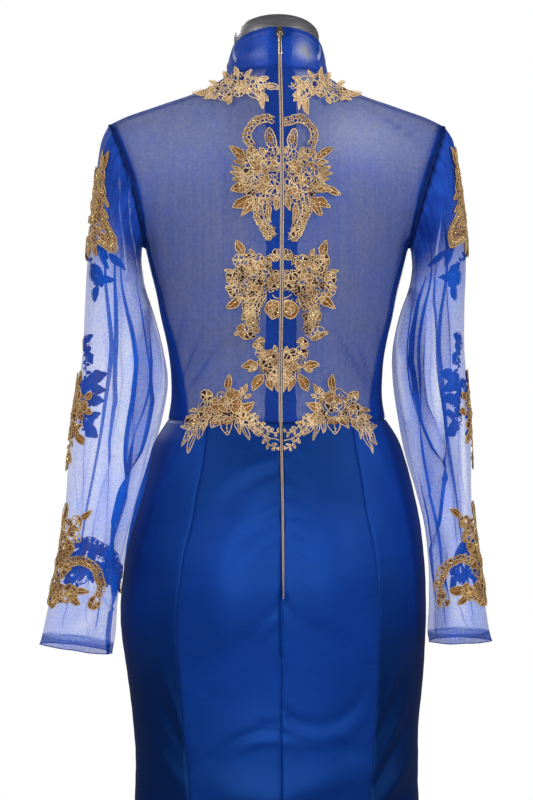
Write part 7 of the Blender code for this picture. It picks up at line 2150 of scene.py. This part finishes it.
SIGNS = {"l": 1, "r": -1}
for motif, table in MOTIFS.items():
    for side, sign in SIGNS.items():
        lace = Lace(lambda uv, s=sign: back_place(uv, s), PX, 11 + len(table) + 5 * sign)
        if motif == "shoulder":
            # painted light: the shoulder pieces take the lit copies of cord and fill, with fewer plates of painted
            # shade
            lace.pale, lace.dark = True, 0.15
        draw(lace, table + ONE_SIDE.get((motif, side), ()))
        for at in BEADS[motif]:
            lace.bead(at, 0.0014, 0.0022)
        body(lace.make("lace_%s_cord_%s" % (motif, side)), "lace", "lace_%s_%s" % (motif, side))
for motif, table in SLEEVE_MOTIFS.items():
    for side, sign in SIGNS.items():
        front = FRONT_SHARE.get((motif, side), 1.0)
        lace = Lace(lambda uv, s=side, d=TURNED[motif, side], f=front: sleeve_place(np.stack([np.where(uv[:, 0] < 0, f * uv[:, 0], uv[:, 0]), uv[:, 1]], axis=1), s, d), 0.001, 31 + len(table) + 5 * sign)
        # painted shade: the sleeves' motifs take the shaded copies
        lace.ochre = True
        draw(lace, table)
        body(lace.make("lace_sleeve_%s_cord_%s" % (motif, side)), "lace", "lace_sleeve_%s_%s" % (motif, side))

# ---- floor, light and camera -----------------------------------------------------

pale = Finish("pale_floor", Roughness=0.9, Specular_IOR_Level=0.1)
pale.to("Base Color", pale.mix(pale.span(pale.noise(3.0, 3.0), 0.3, 0.7), linear(238, 238, 240), linear(244, 244, 246)))
floor_ring = [(2.3 * math.sin(2 * math.pi * s / 96), 2.3 * math.cos(2 * math.pi * s / 96), -0.0002) for s in range(96)]
floor = mesh_object("floor_disc", np.array(floor_ring), [tuple(range(96))[::-1]], pale.mat, smooth=False)
floor.visible_diffuse = floor.visible_glossy = False

glow = bpy.data.materials.new("white_backdrop")
glow.use_nodes = True
glow.node_tree.nodes.clear()
shine = glow.node_tree.nodes.new("ShaderNodeEmission")
shine.inputs["Color"].default_value = (1, 1, 1, 1)
shine.inputs["Strength"].default_value = 1.0
out = glow.node_tree.nodes.new("ShaderNodeOutputMaterial")
glow.node_tree.links.new(shine.outputs[0], out.inputs["Surface"])
work = bmesh.new()
bmesh.ops.create_uvsphere(work, u_segments=48, v_segments=24, radius=26.0)
dome_mesh = bpy.data.meshes.new("backdrop_dome")
work.to_mesh(dome_mesh)
work.free()
dome_mesh.materials.append(glow)
dome = bpy.data.objects.new("backdrop_dome", dome_mesh)
bpy.context.scene.collection.objects.link(dome)
dome.visible_diffuse = dome.visible_glossy = dome.visible_transmission = dome.visible_shadow = False
dome.visible_volume_scatter = False

world = bpy.data.worlds.new("studio")
bpy.context.scene.world = world
world.use_nodes = True
world.node_tree.nodes["Background"].inputs["Color"].default_value = (0.98, 0.99, 1.0, 1)
world.node_tree.nodes["Background"].inputs["Strength"].default_value = 0.11


def softbox(name, place, aim, size, power, colour=(1, 1, 1)):
    lamp = bpy.data.lights.new(name, "AREA")
    lamp.shape, lamp.size, lamp.size_y = "RECTANGLE", size[0], size[1]
    lamp.energy, lamp.color = power, colour
    obj = bpy.data.objects.new(name, lamp)
    bpy.context.scene.collection.objects.link(obj)
    place, aim = np.array(place, float), np.array(aim, float)
    from mathutils import Vector
    obj.location = place
    obj.rotation_mode = "QUATERNION"
    obj.rotation_quaternion = Vector(aim - place).to_track_quat("-Z", "Y")
    return obj


softbox("key", (0.35, 3.4, 1.25), (0, 0, 1.0), (0.8, 1.0), 84)
softbox("high_l", (2.3, 1.6, 2.7), (0.05, 0, 1.32), (0.9, 0.9), 26)
softbox("high_r", (-2.3, 1.8, 2.6), (-0.05, 0, 1.32), (0.9, 0.9), 44)
softbox("front_key", (-0.45, -3.4, 1.35), (0, 0, 1.0), (0.8, 1.0), 84)
softbox("front_high", (1.6, -2.4, 2.7), (0, 0, 1.1), (0.9, 0.9), 20)

scene = bpy.context.scene
scene.view_settings.view_transform = "Standard"
scene.view_settings.look = "None"
camera_data = bpy.data.cameras.new("camera")
camera_data.sensor_fit, camera_data.sensor_width = "AUTO", 36.0
camera_data.lens = 95.0
camera = bpy.data.objects.new("camera", camera_data)
scene.collection.objects.link(camera)
scene.camera = camera
AIM = np.array((0.0125, 0.0, 1.0815))
EYE = AIM + (0.0523 * 2.5, 0.9986 * 2.5, 0.1185)
from mathutils import Vector

camera.location = EYE
camera.rotation_mode = "QUATERNION"
camera.rotation_quaternion = Vector(AIM - EYE).to_track_quat("-Z", "Y")
camera_data.clip_start, camera_data.clip_end = 0.1, 200.0
